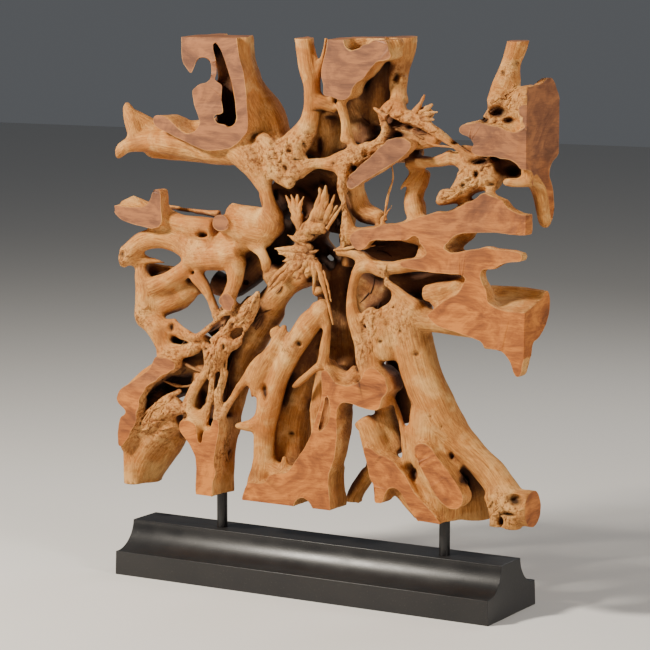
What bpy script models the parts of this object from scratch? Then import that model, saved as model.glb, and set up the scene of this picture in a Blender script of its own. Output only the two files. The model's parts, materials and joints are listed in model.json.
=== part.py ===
"""Teak root sculpture: one sawn and weathered root held by two rods on a long stepped base."""

import bmesh
import bpy
from math import cos, radians, sin
from mathutils import Matrix, Vector

# Frame: metres, +Z up, +X along the base, +Y to the back, origin under the middle of the base.
CM = 0.01
GAP = 0.0003

# Base
BASE_LENGTH = 1.000
BASE_TOP_LENGTH = 0.991
BASE_WIDTH = 0.240
BASE_HEIGHT = 0.1215
PLINTH_HEIGHT = 0.057
BASE_TOP_WIDTH = 0.0963
PLINTH_LEDGE = 0.006
COVE_STEPS = 9

# Rods
ROD_RADIUS = 0.0125
ROD_LEFT_X = -0.265
ROD_RIGHT_X = 0.3325
ROD_Y = -0.010
ROD_IN_BASE = 0.040
ROD_TOP_LEFT = 0.262
ROD_TOP_RIGHT = 0.255

# Sawn planes that bound the root
FRONT_Y = -0.0825
BACK_Y = 0.0825
LEFT_X = -0.517
RIGHT_X = 0.563
BOTTOM_Z = 0.209
TOP_Z_FRONT = 1.283
TOP_Z_BACK = 1.292

# The layout gives x and z in centimetres as they line up on the front sawn plane for a viewer
# standing at SIGHT, with the depth behind that plane, so a point slides back along its sight line.
SIGHT = Vector((3.0538, -5.2103, 1.4594))

VOXEL = 0.0072
SMOOTH_PASSES = 5
ROOT_TRIANGLES = 10200

# Sawn faces: depth of the wood behind the face, then the outline on the front plane.
FACES = {
    "hooked_top_left": (7.5, [
        (-32.5, 130), (-17.4, 130), (-16.6, 124), (-15.3, 120), (-14.7, 115), (-14.3, 110),
        (-14.6, 107), (-16.5, 105), (-19, 103.3), (-22.5, 102.2), (-26, 102.3), (-29.5, 103.3),
        (-33, 104.6), (-36, 105.9), (-38, 106.6), (-39.4, 107.2), (-40.2, 108), (-40.5, 109.2),
        (-39.8, 110), (-37.7, 109.9), (-36.1, 109.3), (-34.6, 108.2), (-33.2, 107),
        (-31.9, 106.2), (-30.9, 105.9), (-29.8, 106.2), (-28.4, 107), (-27.5, 108.5),
        (-28.1, 110.5), (-28.8, 112.2), (-29.2, 114.1), (-29.6, 115.8), (-29.2, 116.4),
        (-28.2, 117.2), (-27.1, 117.8), (-25, 118.3), (-24.3, 119.2), (-24.2, 121.2),
        (-24.3, 123), (-25.5, 123.9), (-27.1, 123.4), (-27.9, 124), (-28.4, 122.8),
        (-28.8, 121.6), (-29.3, 120.3), (-29.6, 119.5), (-30, 119.7), (-31.1, 121.2),
        (-32.1, 122.4), (-32.5, 124.3)]),
    "top_middle": (6.0, [
        (6.7, 130), (10.6, 130), (10.8, 127.8), (11.5, 126.4), (12.5, 125.9), (15, 126.7),
        (17.5, 127.8), (19, 128.4), (21.2, 128.4), (22.2, 127.3), (22.4, 126), (23.3, 124.6),
        (21, 123.8), (20, 124), (19, 123.6), (17.5, 122), (16.3, 120.6), (15.5, 119.7),
        (14, 119), (13.2, 118), (13, 117), (12.5, 116), (11.5, 115), (9.7, 114.8), (8.5, 115.5),
        (7, 115.6), (5.9, 115.4), (5.3, 116.6), (5.6, 118), (5, 120), (5.1, 122), (5.8, 124.4),
        (6.5, 127)]),
    "centre_band": (3.0, [
        (12.3, 94.8), (13.5, 95.4), (15, 96.2), (17.3, 97.7), (19.2, 98.7), (21.2, 99.8),
        (23.1, 101), (25, 102.1), (26.3, 103.1), (27.7, 104.3), (28.2, 105.4), (27.5, 106.2),
        (25, 106.8), (22.5, 106.3), (20.8, 105.3), (18.1, 102.7), (16.3, 101.2), (14.8, 99.8),
        (13.5, 98.7), (12.2, 97.5), (11.7, 96)]),
    "right_arm_upper": (3.5, [
        (13.3, 85.4), (15, 86.2), (17.3, 86.4), (19.4, 86.7), (21.7, 87.5), (24, 87.6),
        (26.9, 88.3), (28.9, 88.9), (31.8, 89.9), (34.5, 90.8), (36.8, 90.8), (38.5, 91.3),
        (40.1, 92.1), (42.2, 93.5), (44.3, 94.2), (46, 95.8), (48, 95), (50.8, 94.2),
        (51.8, 92.7), (53.5, 91.9), (55.1, 91.3), (57.5, 91.3), (57.5, 86.9), (53.9, 86.8),
        (50, 87.1), (46.2, 87.1), (43.3, 86.8), (40.5, 86.5), (38.5, 85.6), (36.6, 84),
        (36.2, 83.3), (36.5, 82.3), (34, 80), (32, 80.5), (32.3, 82), (30.9, 83.5),
        (30.7, 84.6), (29.5, 85.2), (28.6, 85.6), (27.7, 84.6), (26, 84.2), (24, 84),
        (21.2, 83.9), (18.9, 83.9), (17.3, 83.3), (16.5, 82.3), (15.6, 81.5), (14.2, 81.7),
        (13.1, 82.3), (12.3, 84)]),
    "right_arm_lower": (3.5, [
        (25.2, 79.3), (28, 80.2), (31, 80.6), (33, 81.5), (35.5, 82.5), (36.5, 82), (38, 81.6),
        (40.5, 82.3), (42, 82.9), (44.9, 83.3), (47, 84), (48, 83.5), (52.8, 83.3),
        (55.6, 82.7), (55.5, 81), (52.8, 80.9), (51.6, 80.6), (49.9, 80), (48.7, 79),
        (47.2, 78.9), (45.9, 78.9), (45.4, 78.1), (45.5, 76.7), (46.2, 75.3), (47, 74),
        (47.1, 72), (44, 70.5), (39, 70.8), (39.5, 72.6), (40.4, 74), (41.5, 75.8), (42, 77.2),
        (39.5, 77.4), (33.5, 77.4), (30, 77.6), (27, 77.9), (25.3, 78.3)]),
    "right_block": (4.0, [
        (31.8, 67.9), (33.3, 68.6), (33.7, 69.1), (35.3, 70.3), (37, 71.5), (38.5, 72.4),
        (40.1, 72.9), (41, 74.2), (44, 74), (47, 73), (47.2, 71.5), (48.2, 70.9), (49.5, 70.4),
        (51, 70.1), (53, 69.9), (55, 69.8), (57.5, 70.3), (57.5, 62), (56.4, 60.6), (56, 58.7),
        (55.6, 56.2), (54.7, 55.3), (53.9, 56.2), (53.3, 57.8), (52.8, 59.2), (51.7, 60.3),
        (50.3, 61.5), (48.3, 62.2), (45.6, 62.9), (43.3, 63.5), (41.6, 63.9), (39.5, 64.5),
        (36.6, 65), (35.1, 65.4), (33.5, 66.2)]),
    "upper_right_block": (4.0, [
        (39.7, 109.1), (40.3, 109.9), (41.2, 110.5), (43.5, 110.6), (45.1, 110.9),
        (46.2, 110.9), (48.2, 110.2), (50.1, 109.9), (52, 109.3), (55.3, 109), (57.5, 109),
        (57.5, 101), (55.4, 101.5), (53, 103), (50.5, 103.2), (48.9, 103.9), (45.3, 103.6),
        (42.4, 104.6), (43.3, 105.2), (44, 106.3), (42.6, 107.8), (41.2, 108.2), (39.8, 108.7)]),
    "left_arm": (4.0, [
        (-51.8, 88.6), (-50, 88.3), (-47, 88), (-43.5, 88.2), (-42.3, 89), (-41.6, 90),
        (-41.1, 91.3), (-40.5, 92.3), (-39.6, 92.9), (-38.9, 92.6), (-38.5, 91), (-38.5, 88),
        (-38.3, 85), (-39, 83.8), (-41, 83.2), (-43.2, 83.7), (-45, 84), (-48.2, 84.6),
        (-50, 85.2), (-50.9, 86), (-51.8, 86.7)]),
    "lower_left_arm": (4.0, [
        (-40.4, 53), (-37.5, 52.8), (-35.2, 52.3), (-34.8, 50.6), (-37, 49.3), (-38.6, 48.7),
        (-40.5, 47.2), (-43.2, 45.8), (-43.8, 44.5), (-45.4, 42.3), (-45.6, 40.8),
        (-46.1, 38.6), (-46.3, 37.2), (-47.7, 34.7), (-48.6, 32.7), (-49.6, 31.4),
        (-50.4, 30.4), (-51.3, 30.2), (-51.5, 34), (-51.1, 36), (-50.5, 37.7), (-49.7, 38),
        (-49, 38.4), (-48.7, 39.2), (-49, 39.8), (-50.5, 40.3), (-51.4, 41), (-51.8, 42),
        (-51.3, 43.2), (-50.8, 44.2), (-50, 44.9), (-48, 46), (-46, 47), (-44, 48.3),
        (-42.5, 49.4), (-41.4, 50.9)]),
    "left_column": (10.5, [
        (-29.4, 20.5), (-29.2, 26), (-29.3, 29.9), (-30, 31.4), (-30.9, 32.9), (-31.9, 33.9),
        (-33, 34.7), (-33.4, 35.6), (-33.8, 37), (-33.5, 38.2), (-31.6, 38.2), (-30, 37.9),
        (-29, 37.4), (-28.8, 35), (-28.8, 33.2), (-28, 32.7), (-27.3, 33.5), (-27.2, 36),
        (-26.6, 37), (-25.9, 36), (-25.1, 37), (-24.2, 39.4), (-23, 39.6), (-22.7, 36.5),
        (-23.2, 34.3), (-23.7, 32.2), (-24.1, 30.2), (-24.4, 28.3), (-24.1, 26.2),
        (-24.5, 24.9), (-24.5, 20.5)]),
    "centre_foot": (8.0, [
        (-16.6, 20.5), (-15.6, 23.8), (-15, 24.9), (-12, 25), (-9.8, 25.6), (-9, 27.3),
        (-7.5, 27.8), (-4, 28.4), (-2.6, 30.2), (-2, 31.2), (-0.6, 33.1), (0.7, 35),
        (1.9, 37.2), (2.6, 38.8), (3.2, 41), (4, 43.5), (4.9, 46), (5.3, 48.5), (5.2, 50.5),
        (4.7, 53), (6.2, 53.8), (7.7, 51.7), (8.5, 50.4), (10, 50.2), (12, 50.2), (14.3, 50.9),
        (15.8, 52.2), (16.7, 54.2), (18.5, 54.9), (20, 54.2), (20.8, 53), (21.6, 53.2),
        (21.9, 51.5), (22.5, 50.1), (22.1, 49.3), (20.6, 48.1), (20.5, 46.5), (20, 45.3),
        (18.3, 45.1), (15, 45.6), (13.5, 46.1), (11.5, 46.5), (10.4, 46.4), (9.5, 45.8),
        (9.1, 44.8), (9.1, 39.5), (8.9, 36), (8.6, 33), (7.9, 31.2), (7.2, 29.5), (7, 27.5),
        (7.1, 25), (7.5, 20.5), (2.7, 20.5), (2.6, 21.3), (2, 22.2), (1.1, 22.9), (0, 23.3),
        (-1.4, 22.7), (-2.2, 21.7), (-2.3, 20.5)]),
    "right_foot_strip": (5.0, [
        (15.8, 36.4), (18.3, 36.5), (19.6, 35.2), (21.5, 35), (24, 33.7), (26.9, 30.9),
        (29.7, 27), (32, 25), (33.5, 23.5), (36, 21), (36, 20.5), (30.5, 20.5), (29.4, 22),
        (27.7, 24.1), (26.5, 26.2), (25.2, 27.7), (23.7, 28.1), (22, 27.2), (21.4, 25.2),
        (21, 23.9), (19, 23.9), (18.9, 26.2), (19, 27.9), (17.9, 29.1), (17.4, 30.2),
        (17.1, 32.7), (16.7, 34.1)]),
    "oval_face": (5.0, [
        (29.1, 37.7), (29.9, 38.7), (31.2, 38.9), (33, 38.3), (34.3, 37), (36.2, 34.5),
        (38, 32.7), (39.1, 31.6), (40.3, 30), (41.2, 28.5), (41.7, 27.2), (41.4, 26),
        (40.3, 24.9), (38.9, 24.5), (37.6, 24.8), (36, 25.8), (34.7, 27.5), (33.3, 29.9),
        (31.8, 32), (30.3, 34.5), (29.3, 36.2)]),
}

# Faces on the right sawn plane: where the wood behind the face ends, then depth and height.
SIDE_FACES = {
    "upper_right_side": (0.545, [
        (0, 119.1), (1.9, 118.7), (4.8, 119), (7.7, 119.6), (10, 120.5), (12.1, 120.5),
        (13.6, 119.6), (15.3, 117.5), (16.5, 116), (17, 112), (17, 104), (15.3, 102.7),
        (13.6, 102.2), (12.1, 100.9), (11.5, 99), (8, 99.5), (4, 100.5), (0, 101)]),
    "lower_right_side": (0.46, [
        (0, 70), (3, 70.6), (5.6, 71.3), (8.6, 72), (12.1, 73.2), (12.8, 72), (12.6, 68.4),
        (11.5, 66.7), (9.9, 65), (7.6, 63.8), (4.1, 62.8), (1.7, 61.9), (0, 60.5)]),
}

# Roots: sighted x and z, depth behind the front plane and radius at each point of the run.
ROOTS = {
    # top left
    "column_side": [(-15.8, 130, 3, 2), (-15.6, 124.5, 3.4, 1.9), (-14.2, 119.5, 4.4, 2.5),
                    (-12, 115, 6.2, 3.6), (-9.3, 110.5, 8.5, 4.6), (-7.8, 105.5, 9.5, 4.8),
                    (-4.5, 100.5, 9.5, 5)],
    "groove_back": [(-22.5, 130, 9, 2.2), (-20.5, 122, 9, 2.2), (-19, 116, 9.5, 2.6),
                    (-17.5, 109, 10, 3)],
    "plate_back": [(-38, 108, 7, 1.6), (-33, 106.5, 8, 2.2), (-27, 106.5, 9, 3),
                   (-22, 106.5, 9.5, 3.5), (-16, 104.5, 9.5, 4)],
    "arm_under": [(-52.8, 100.4, 1.6, 1.1), (-50.6, 100.9, 1.9, 1.5), (-48.3, 102.4, 2.6, 1.7),
                  (-45, 103.2, 3.4, 2), (-40, 104, 3.8, 2.6), (-35, 103.6, 4, 2.8),
                  (-30, 102.8, 4.2, 2.6), (-24, 101.6, 4.4, 2.2), (-18, 102, 4.6, 2.8)],
    "leaf": [(-48.2, 113, 3.6, 0.8), (-47.4, 111, 3.8, 1.5), (-46.2, 108.5, 4, 2),
             (-45.2, 106, 4.2, 2.2)],
    "leaf_rear": [(-46, 109.8, 4.8, 1.5), (-42.8, 108.2, 5.6, 1.9), (-39, 106.3, 7, 2.2)],
    "ridge": [(-46.1, 107.3, 3.2, 0.5), (-46.2, 105.6, 3.2, 1.2), (-46.3, 104, 3.2, 1.5)],
    "dark_web": [(-44, 107.5, 7, 1.5), (-43, 104.5, 7, 2)],
    "under_rim": [(-42.8, 100.6, 5, 0.4), (-40, 100.5, 5.5, 0.8), (-35, 100.6, 6.5, 1.1),
                  (-30, 100.6, 6.5, 1.2), (-24, 100.4, 6, 1.4), (-19, 100.6, 5.5, 1.6)],
    # centre left
    "neck": [(-18, 103.5, 4.4, 3.6), (-14.5, 102, 4.2, 4), (-12, 98.8, 4, 3.2),
             (-10.2, 95.5, 3.6, 2.2), (-9.2, 92.8, 3.2, 1.5), (-8.6, 90.5, 3.4, 1.8),
             (-8, 88, 4, 2.6)],
    "elbow": [(-9.5, 88.5, 4.2, 3.2), (-8, 86.5, 4.4, 3.4), (-9.5, 84, 4.8, 2.6),
              (-11.5, 82, 5, 1.8)],
    "log": [(-19.6, 89, 5.2, 1.8), (-17, 88, 5, 2.4), (-13, 87, 4.8, 3), (-9, 86.6, 4.8, 3.2)],
    "log_low": [(-21, 84.2, 5, 1.9), (-17, 84.4, 5.2, 2.6), (-12, 84, 5.4, 2.8)],
    "stub_a": [(-22, 85.7, -1.5, 1.9), (-21.8, 85.7, 1.5, 2), (-18.5, 84.9, 3, 2.6),
               (-14.5, 84.2, 4, 3.1), (-10.5, 83.6, 5, 3.2), (-8, 83.2, 6.5, 2.8)],
    "arm2": [(-49.5, 87.8, 3.6, 1.6), (-46, 88.6, 4, 2.1), (-42.5, 87.3, 4.2, 2.4),
             (-38, 86.2, 4.2, 2.6), (-33, 84.9, 4, 2.2), (-28, 84.4, 3.6, 2.6),
             (-23.5, 84, 3.8, 2.8)],
    "arm2_peak": [(-47, 90.6, 4.4, 0.9), (-44.5, 89.4, 4.6, 1.2), (-41, 88, 5, 1.6)],
    "arm2_back": [(-37.5, 89, 7.5, 0.7), (-33, 88.4, 8, 0.8), (-28, 88, 8.5, 0.8),
                  (-22, 87.6, 8.5, 1.2)],
    "arm3": [(-50.2, 75, 3.4, 1.7), (-48.9, 76.4, 3.4, 2.1), (-46.5, 78.4, 3.8, 2.2),
             (-43.5, 80.3, 4, 2.4), (-40.5, 81.3, 4.2, 2.6), (-37, 81.5, 4.4, 2.8),
             (-33, 80.3, 4.4, 2.6), (-29.5, 78, 4, 2.6)],
    "arm3_low": [(-49.8, 74.4, 3, 1.2), (-47, 75.5, 4, 1.3), (-44, 76, 5, 1.3),
                 (-41.3, 75.8, 5.5, 0.9), (-37, 75.6, 6, 0.4)],
    "mass_l": [(-31.5, 76.8, 3.4, 2.3), (-28, 77, 3.2, 2.9), (-24, 77.3, 3, 3.1),
               (-20, 77.8, 3, 3.1), (-16.5, 78.8, 3.2, 2.6)],
    "mass_l_back": [(-30, 79, 8.5, 3), (-24, 79.5, 9.5, 3.6), (-17, 81, 10, 4),
                    (-10, 84, 10.5, 4.4)],
    "fork_left": [(-44.2, 76, 6, 1.2), (-44.2, 74, 5.6, 1.6), (-43.8, 71.5, 5.2, 2.1),
                  (-42.8, 69, 4.8, 2.7), (-42.8, 66, 4.6, 2.8), (-43, 63, 4.4, 2.8),
                  (-42.5, 60.8, 4.4, 2.4)],
    "strut1": [(-30.8, 74.8, 3.4, 2.2), (-34, 72.9, 3.6, 2), (-37.5, 71, 3.8, 2.2),
               (-41, 69.6, 4.2, 2.4)],
    "strut2": [(-27.5, 71, 7.6, 2), (-31.5, 68.8, 7.6, 3), (-35.5, 66.9, 7.4, 3.2),
               (-40, 65, 6.6, 3)],
    "strut_r": [(-28.8, 73, 3.6, 1.9), (-26.5, 70.5, 3.4, 1.5), (-24.9, 67.8, 3.4, 1.2),
                (-23.4, 64.8, 3.4, 1), (-22.4, 63.4, 3.2, 1)],
    "strut_b": [(-17, 66.6, 3, 0.9), (-20.8, 64.8, 2.8, 0.8), (-23.5, 62.6, 2.8, 0.8),
                (-26.3, 60.4, 2.8, 0.8), (-29.3, 58.7, 3, 0.9), (-32, 60, 3.4, 0.6),
                (-35.2, 62.6, 3.6, 0.5)],
    "frame_low": [(-42.5, 61, 4.4, 2.2), (-39.8, 60, 4, 3), (-38.5, 57.2, 3.8, 2.4),
                  (-37.6, 55, 3.8, 2.2), (-38, 52.5, 3.4, 1.8)],
    "frame_mid": [(-38, 60, 4.4, 2.2), (-35, 60.5, 4.6, 2), (-32.5, 59, 4.8, 1.6),
                  (-29, 57.8, 5, 1.4), (-25, 57.5, 5, 1.6)],
    "arm4": [(-38, 54.5, 3.6, 2), (-34.5, 54.8, 3.4, 1.7), (-31.5, 54.8, 3.8, 1.3),
             (-28, 56, 4.5, 1.2)],
    "la_back": [(-49, 43, 5, 2), (-45, 45.5, 5.5, 2.4), (-41, 48.5, 6, 2.6), (-37, 51, 6.5, 2.6),
                (-32, 52, 8.5, 3.2), (-27, 53, 9, 3.2), (-22, 54, 9.5, 3.4)],
    "recess_wall": [(-44, 41.5, 10, 2.6), (-38, 45, 12.5, 3.2), (-32, 47.5, 13, 3.4),
                    (-26, 48.5, 13, 3.4)],
    "strand_la": [(-46, 38.3, 2.6, 0.4), (-43.2, 39.3, 2.6, 0.5), (-40.5, 41.2, 2.8, 0.5),
                  (-38.4, 42.9, 3, 0.6), (-36, 44.2, 3.2, 0.8), (-33, 45.5, 3.4, 0.8)],
    "foot_top": [(-32.8, 41.5, 3.6, 1.6), (-35.5, 41.2, 3.4, 2), (-39, 39.8, 3.2, 1.9),
                 (-42, 37.2, 3.2, 1.8), (-45, 34.7, 3, 1.6), (-47.8, 32.4, 2.8, 1.5),
                 (-49.6, 29.6, 2.6, 1.3)],
    "foot_low": [(-48.3, 29.5, 3.4, 1.6), (-47.6, 27, 4, 2.1), (-47.3, 24.3, 4.2, 2.3),
                 (-46.6, 20.5, 4.4, 2.4)],
    "foot_deep": [(-33.5, 36, 9, 2.6), (-36.5, 33, 9.5, 3.6), (-40, 29.5, 9.5, 4.2),
                  (-43.2, 25.5, 9, 4.4), (-44.8, 20.5, 8.6, 4.4)],
    # strands over the left column
    "strand_a": [(-25.6, 51, 3.2, 1.1), (-27.6, 48.4, 3, 1.1), (-29.6, 45.6, 2.8, 1.2),
                 (-31, 43, 2.6, 1.4), (-31, 40.6, 2.4, 1.7), (-29.2, 39.4, 2.4, 1.9),
                 (-27.4, 39.8, 2.6, 1.6)],
    "strand_b": [(-24.2, 51, 3, 0.8), (-24.7, 47, 2.8, 0.8), (-25.5, 43.5, 2.6, 0.9),
                 (-26.5, 40.5, 2.4, 1.1), (-26.7, 38, 2.2, 0.9), (-26.3, 35.8, 2.2, 0.3)],
    "strand_c": [(-20.6, 51.5, 3.4, 0.9), (-21.6, 48, 3.2, 0.9), (-22.6, 45, 3, 0.95),
                 (-22.8, 42.5, 2.8, 0.9), (-23.2, 40, 2.6, 0.8), (-24.2, 37.8, 2.4, 0.25)],
    "rib1": [(-15.5, 49.5, 3.6, 1), (-17.8, 46.4, 3.4, 0.95), (-19.8, 43.4, 3.2, 0.9),
             (-21.4, 40.6, 3, 0.9), (-22.7, 37.2, 2.6, 0.8), (-23.5, 34, 2.2, 0.8),
             (-24.2, 30, 1.8, 0.8)],
    "gnarl_l": [(-19, 58.5, 3.6, 1.8), (-21.5, 56.5, 3.4, 2.2), (-23.3, 53.5, 3.4, 2.2),
                (-23.2, 51, 3.4, 1.8)],
    "gnarl_l2": [(-25.5, 56.5, 4, 1.6), (-24.8, 53, 3.8, 1.6), (-25.3, 50, 3.6, 1.3)],
    "flake": [(-11.4, 70.8, 2.6, 0.4), (-12.6, 68.2, 2.8, 1.3), (-14.6, 65.6, 3, 2),
              (-17, 63.4, 3.2, 1.7), (-19.5, 61.6, 3.2, 1), (-22, 59.4, 3.2, 1),
              (-24.5, 57.6, 3.4, 1.1)],
    "flake2": [(-13, 64.5, 3, 0.6), (-14.8, 61.8, 3, 0.5), (-16.3, 59.5, 3, 0.5),
               (-17.8, 56.6, 3, 0.4)],
    "flake3": [(-16.5, 58.5, 3.4, 1), (-19, 57, 3.4, 1.2)],
    "curl": [(-12.4, 60, 3.4, 0.4), (-12, 58.4, 3.4, 0.5), (-13, 56.8, 3.4, 0.4),
             (-15.2, 55.4, 3.4, 0.35), (-17.2, 53.7, 3.4, 0.3)],
    "back_root": [(3, 76, 10, 3.2), (-2, 73.3, 10.5, 2.9), (-7, 68.8, 10.5, 3.8),
                  (-11.5, 62.5, 10.5, 4.2), (-15.5, 55.5, 10.5, 3.8), (-18.2, 47.5, 10.5, 3.4),
                  (-20.2, 40, 10, 3.2), (-21.2, 32, 8, 3.2), (-21.6, 20.5, 8, 3)],
    "stub_down": [(-14, 80.8, 3.2, 1), (-12, 80, 3, 1.2), (-10.3, 78.8, 2.8, 1.3),
                  (-9.6, 77, 2.8, 1.3), (-9.8, 74.8, 3, 0.8)],
    "vert_l": [(-17.5, 78, 3.6, 2.5), (-17.8, 75, 3.4, 2.3), (-18, 72.5, 3, 1.9),
               (-18.8, 70.4, 2.6, 1.7), (-20.2, 67.6, 1.2, 1.9), (-20.6, 66.8, -2, 1.9)],
    "dark_back_l": [(-24, 72, 10, 3), (-19, 71, 11, 3), (-13, 75, 11, 3.4), (-9, 79, 11, 3.4)],
    "strand_s": [(1.5, 79.8, 3.2, 1), (-1.5, 78, 3, 0.9), (-4.2, 76.4, 2.8, 0.85),
                 (-6.4, 74.8, 2.8, 0.8), (-8.2, 72.9, 2.8, 0.6), (-9.3, 71, 2.8, 0.4),
                 (-9.9, 69.6, 2.8, 0.2)],
    "mass_fill": [(-36.5, 83, 5, 2.2), (-30, 81.2, 5, 2.4), (-24, 81.2, 5, 2.6),
                  (-17, 81.5, 5, 2.6), (-12, 82.5, 5.5, 2.4)],
    "fork_wall": [(-42.8, 73.8, 9, 1.8), (-38, 73.3, 9.5, 1.8), (-34, 73.2, 9, 1.8)],
    "strut_web": [(-30.5, 71, 6.5, 1.8), (-35, 68.8, 6.5, 2.3), (-39.5, 66.8, 6, 2.4)],
    "frame_wall": [(-37.5, 58.4, 8, 2.6), (-31.5, 56.8, 8.5, 2.4), (-26, 56.8, 8.5, 2.6)],
    "flake_back": [(-12.6, 68.5, 7, 2), (-16.5, 63.6, 7, 2.2), (-20.8, 58.8, 7, 2.2)],
    "strand_wall": [(-25, 52, 7.4, 3), (-27, 46, 7.4, 3.2), (-27.6, 40, 7, 3.2),
                    (-27, 34, 7, 2.6)],
    "strand_wall_right": [(-20.8, 52, 8, 2.4), (-22, 45, 8, 2.4), (-23.2, 38.5, 7.5, 2.2)],
    "board": [(-33.6, 38.8, 5.8, 2.8), (-37.5, 36.4, 5.8, 3.2), (-41.5, 32.9, 5.8, 3.5),
              (-44.6, 28.6, 5.8, 3.4), (-46, 24, 5.8, 3)],
    "recess_wall_low": [(-46.3, 39.3, 5.5, 1.6), (-42, 41, 7, 2.2), (-37, 43.8, 8, 2.4)],
    # centre and top middle
    "gnarl_1": [(-11.6, 106, 3.6, 1.6), (-9.5, 104.4, 3.4, 2.2), (-7.5, 101.6, 3.4, 2.6),
                (-6.2, 98.6, 3.4, 2.6), (-4.8, 96.4, 3.2, 1.8), (-2.6, 95, 3, 1.2)],
    "gnarl_2": [(-5, 103.5, 3.6, 2.4), (-2, 101.5, 3.4, 2.6), (-1.5, 98.5, 3.4, 2.4),
                (1, 99.6, 3.4, 1.6), (4, 100.4, 3.4, 1.3), (7, 100.5, 3.4, 1.6),
                (10, 101, 3.2, 2.3), (13.5, 102.3, 3.2, 2.4), (17, 104, 3, 1.7)],
    "gnarl_3": [(11.5, 99, 3.4, 2), (11, 96.6, 3.2, 1.5), (10.6, 94, 3.2, 1),
                (11.2, 91.5, 3.4, 0.6), (11.6, 89.5, 3.4, 0.9), (12, 86.5, 3.4, 1.6),
                (12, 84, 3.2, 1.4), (10.5, 82.8, 3, 0.9)],
    "slender_base": [(0.4, 130, 2.6, 2.3), (1.6, 122.5, 2.6, 2.2), (2.7, 117.5, 2.8, 2),
                     (2.6, 113.5, 3.2, 1.9), (2.2, 110.5, 3.6, 2.2), (0.9, 107.5, 4, 2.8),
                     (-1.3, 104.8, 4.4, 3.2), (-4, 102.5, 5, 3.4)],
    "bark_strip": [(6.2, 130, 3, 0.8), (5.4, 125.5, 3, 0.8), (4.4, 121.5, 2.8, 0.9),
                   (3.8, 118, 2.8, 0.9), (3.6, 115, 2.8, 1)],
    "ring_rim": [(9.8, 114.5, 2.6, 1.4), (11, 111.5, 2.8, 1.2), (11.6, 108.5, 3, 1.3),
                 (12, 105.5, 3.2, 1.9)],
    "ring_low": [(20.8, 112.3, 3, 0.9), (19.4, 112, 2.6, 0.8)],
    "ring_right": [(26, 112.8, 4, 2), (23, 113.4, 4, 2), (21.4, 112.4, 3.6, 1.4),
                   (20.9, 110.5, 3.6, 0.9), (21.4, 108.5, 3.6, 1), (20.6, 106.6, 3.4, 1),
                   (18.4, 105, 3.2, 1.1), (15.8, 104.6, 3.2, 1.2)],
    "mid_back": [(9, 121, 8, 4), (13, 117, 10, 4.5), (16, 111.5, 12, 4.5), (17, 105.5, 12, 4.2)],
    "mid_back2": [(12.5, 128, 6, 2.4), (17, 129, 7, 2.2), (22, 129.5, 8, 2.6)],
    "mid_right": [(26.3, 131, 10.5, 3.1), (26, 126.5, 10, 3), (25.2, 122.5, 9, 2.5),
                  (24.9, 119.5, 8, 2.2), (24.9, 116.8, 7, 2), (25.2, 114.3, 6, 2.4)],
    "knob": [(25.8, 120.6, 6.2, 1.5), (26, 119, 6, 1.3)],
    "knob_top": [(23.5, 128.5, 4.5, 2.2), (24.8, 126.3, 4.5, 1.8)],
    "dark_mid_wall": [(6, 115, 8, 3.2), (7, 111, 9.5, 3.8), (7.5, 107, 10, 3.8),
                      (6, 102, 10, 4)],
    "lid": [(4.5, 114.5, 3, 1.6), (7.5, 113.6, 4, 1.6), (9.3, 112.5, 4.4, 1)],
    "band_back": [(14, 97.5, 5.5, 2), (18.5, 101, 5.5, 2), (23, 104, 5.5, 2),
                  (27, 105.5, 5.5, 1.6)],
    "diag": [(26, 112, 4, 1.7), (29, 111.2, 3.8, 1.5), (32.5, 109.7, 3.6, 1.2),
             (36, 107.6, 3.4, 1.1), (39, 105.7, 3.2, 1), (42, 103.8, 3.2, 1),
             (45, 102.2, 3.6, 1.2)],
    "diag_flake": [(30.3, 112.6, 4.4, 1.2), (32, 113, 4.6, 1.2), (33.4, 112, 4.8, 1)],
    "diag_under": [(22, 108.2, 5, 1.4), (25, 108.8, 6, 1.2), (29, 108.3, 6, 1.6),
                   (32, 107.2, 5.6, 1.3), (35, 106.2, 5, 1)],
    "lump_r": [(28, 105.6, 5.4, 1.3), (31, 105.8, 5.2, 1.2), (34, 106, 5, 0.9)],
    "thin_strand": [(26.5, 103.3, 4, 0.35), (29, 102.4, 4.2, 0.35), (32, 102.4, 4.4, 0.35),
                    (35.2, 103.5, 4.6, 0.4), (38, 104.2, 4.4, 0.8)],
    "root_low_r": [(27, 101.4, 7, 1.5), (31, 101.8, 6.5, 1.5), (35, 102, 6, 1.2),
                   (38.5, 102.8, 5.4, 1.4), (41.5, 102, 5, 1.6)],
    "root_r1": [(31.5, 100.3, 8.5, 1.8), (30.2, 97.5, 8.5, 2.4), (29, 94.5, 8.2, 2.1),
                (29.2, 91.5, 7.5, 2.5), (30, 89.3, 6.5, 2)],
    "strut_c": [(20.6, 88, 3, 0.8), (22.3, 90.4, 3.6, 0.5), (24, 93, 4.4, 0.45),
                (25.6, 95.8, 5.2, 0.5), (27.2, 97.4, 6, 0.8), (29, 99, 7, 1.3)],
    "hollow_low": [(14, 94, 8, 2.6), (15.5, 90.5, 8, 2.6), (18.5, 89.3, 8, 2.2),
                   (21, 88.8, 7, 1.6)],
    "hollow_left": [(13.8, 98, 7, 2.4), (13.5, 94, 7.5, 2.4)],
    "rag1": [(-4.2, 92.8, 4.2, 0.25), (-3, 91.3, 4.2, 0.8), (-1.6, 89.3, 4.2, 1.1),
             (-0.5, 87.2, 4.2, 1.3)],
    "rag2": [(0.3, 93.2, 4.4, 0.25), (-0.7, 91.3, 4.2, 0.6), (-1.2, 89.3, 4.2, 0.9)],
    "rag3": [(4.8, 95.3, 4, 0.3), (5, 92.8, 4, 0.9), (4.9, 90.2, 4, 1.6), (3.6, 87.8, 4, 1.9)],
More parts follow.
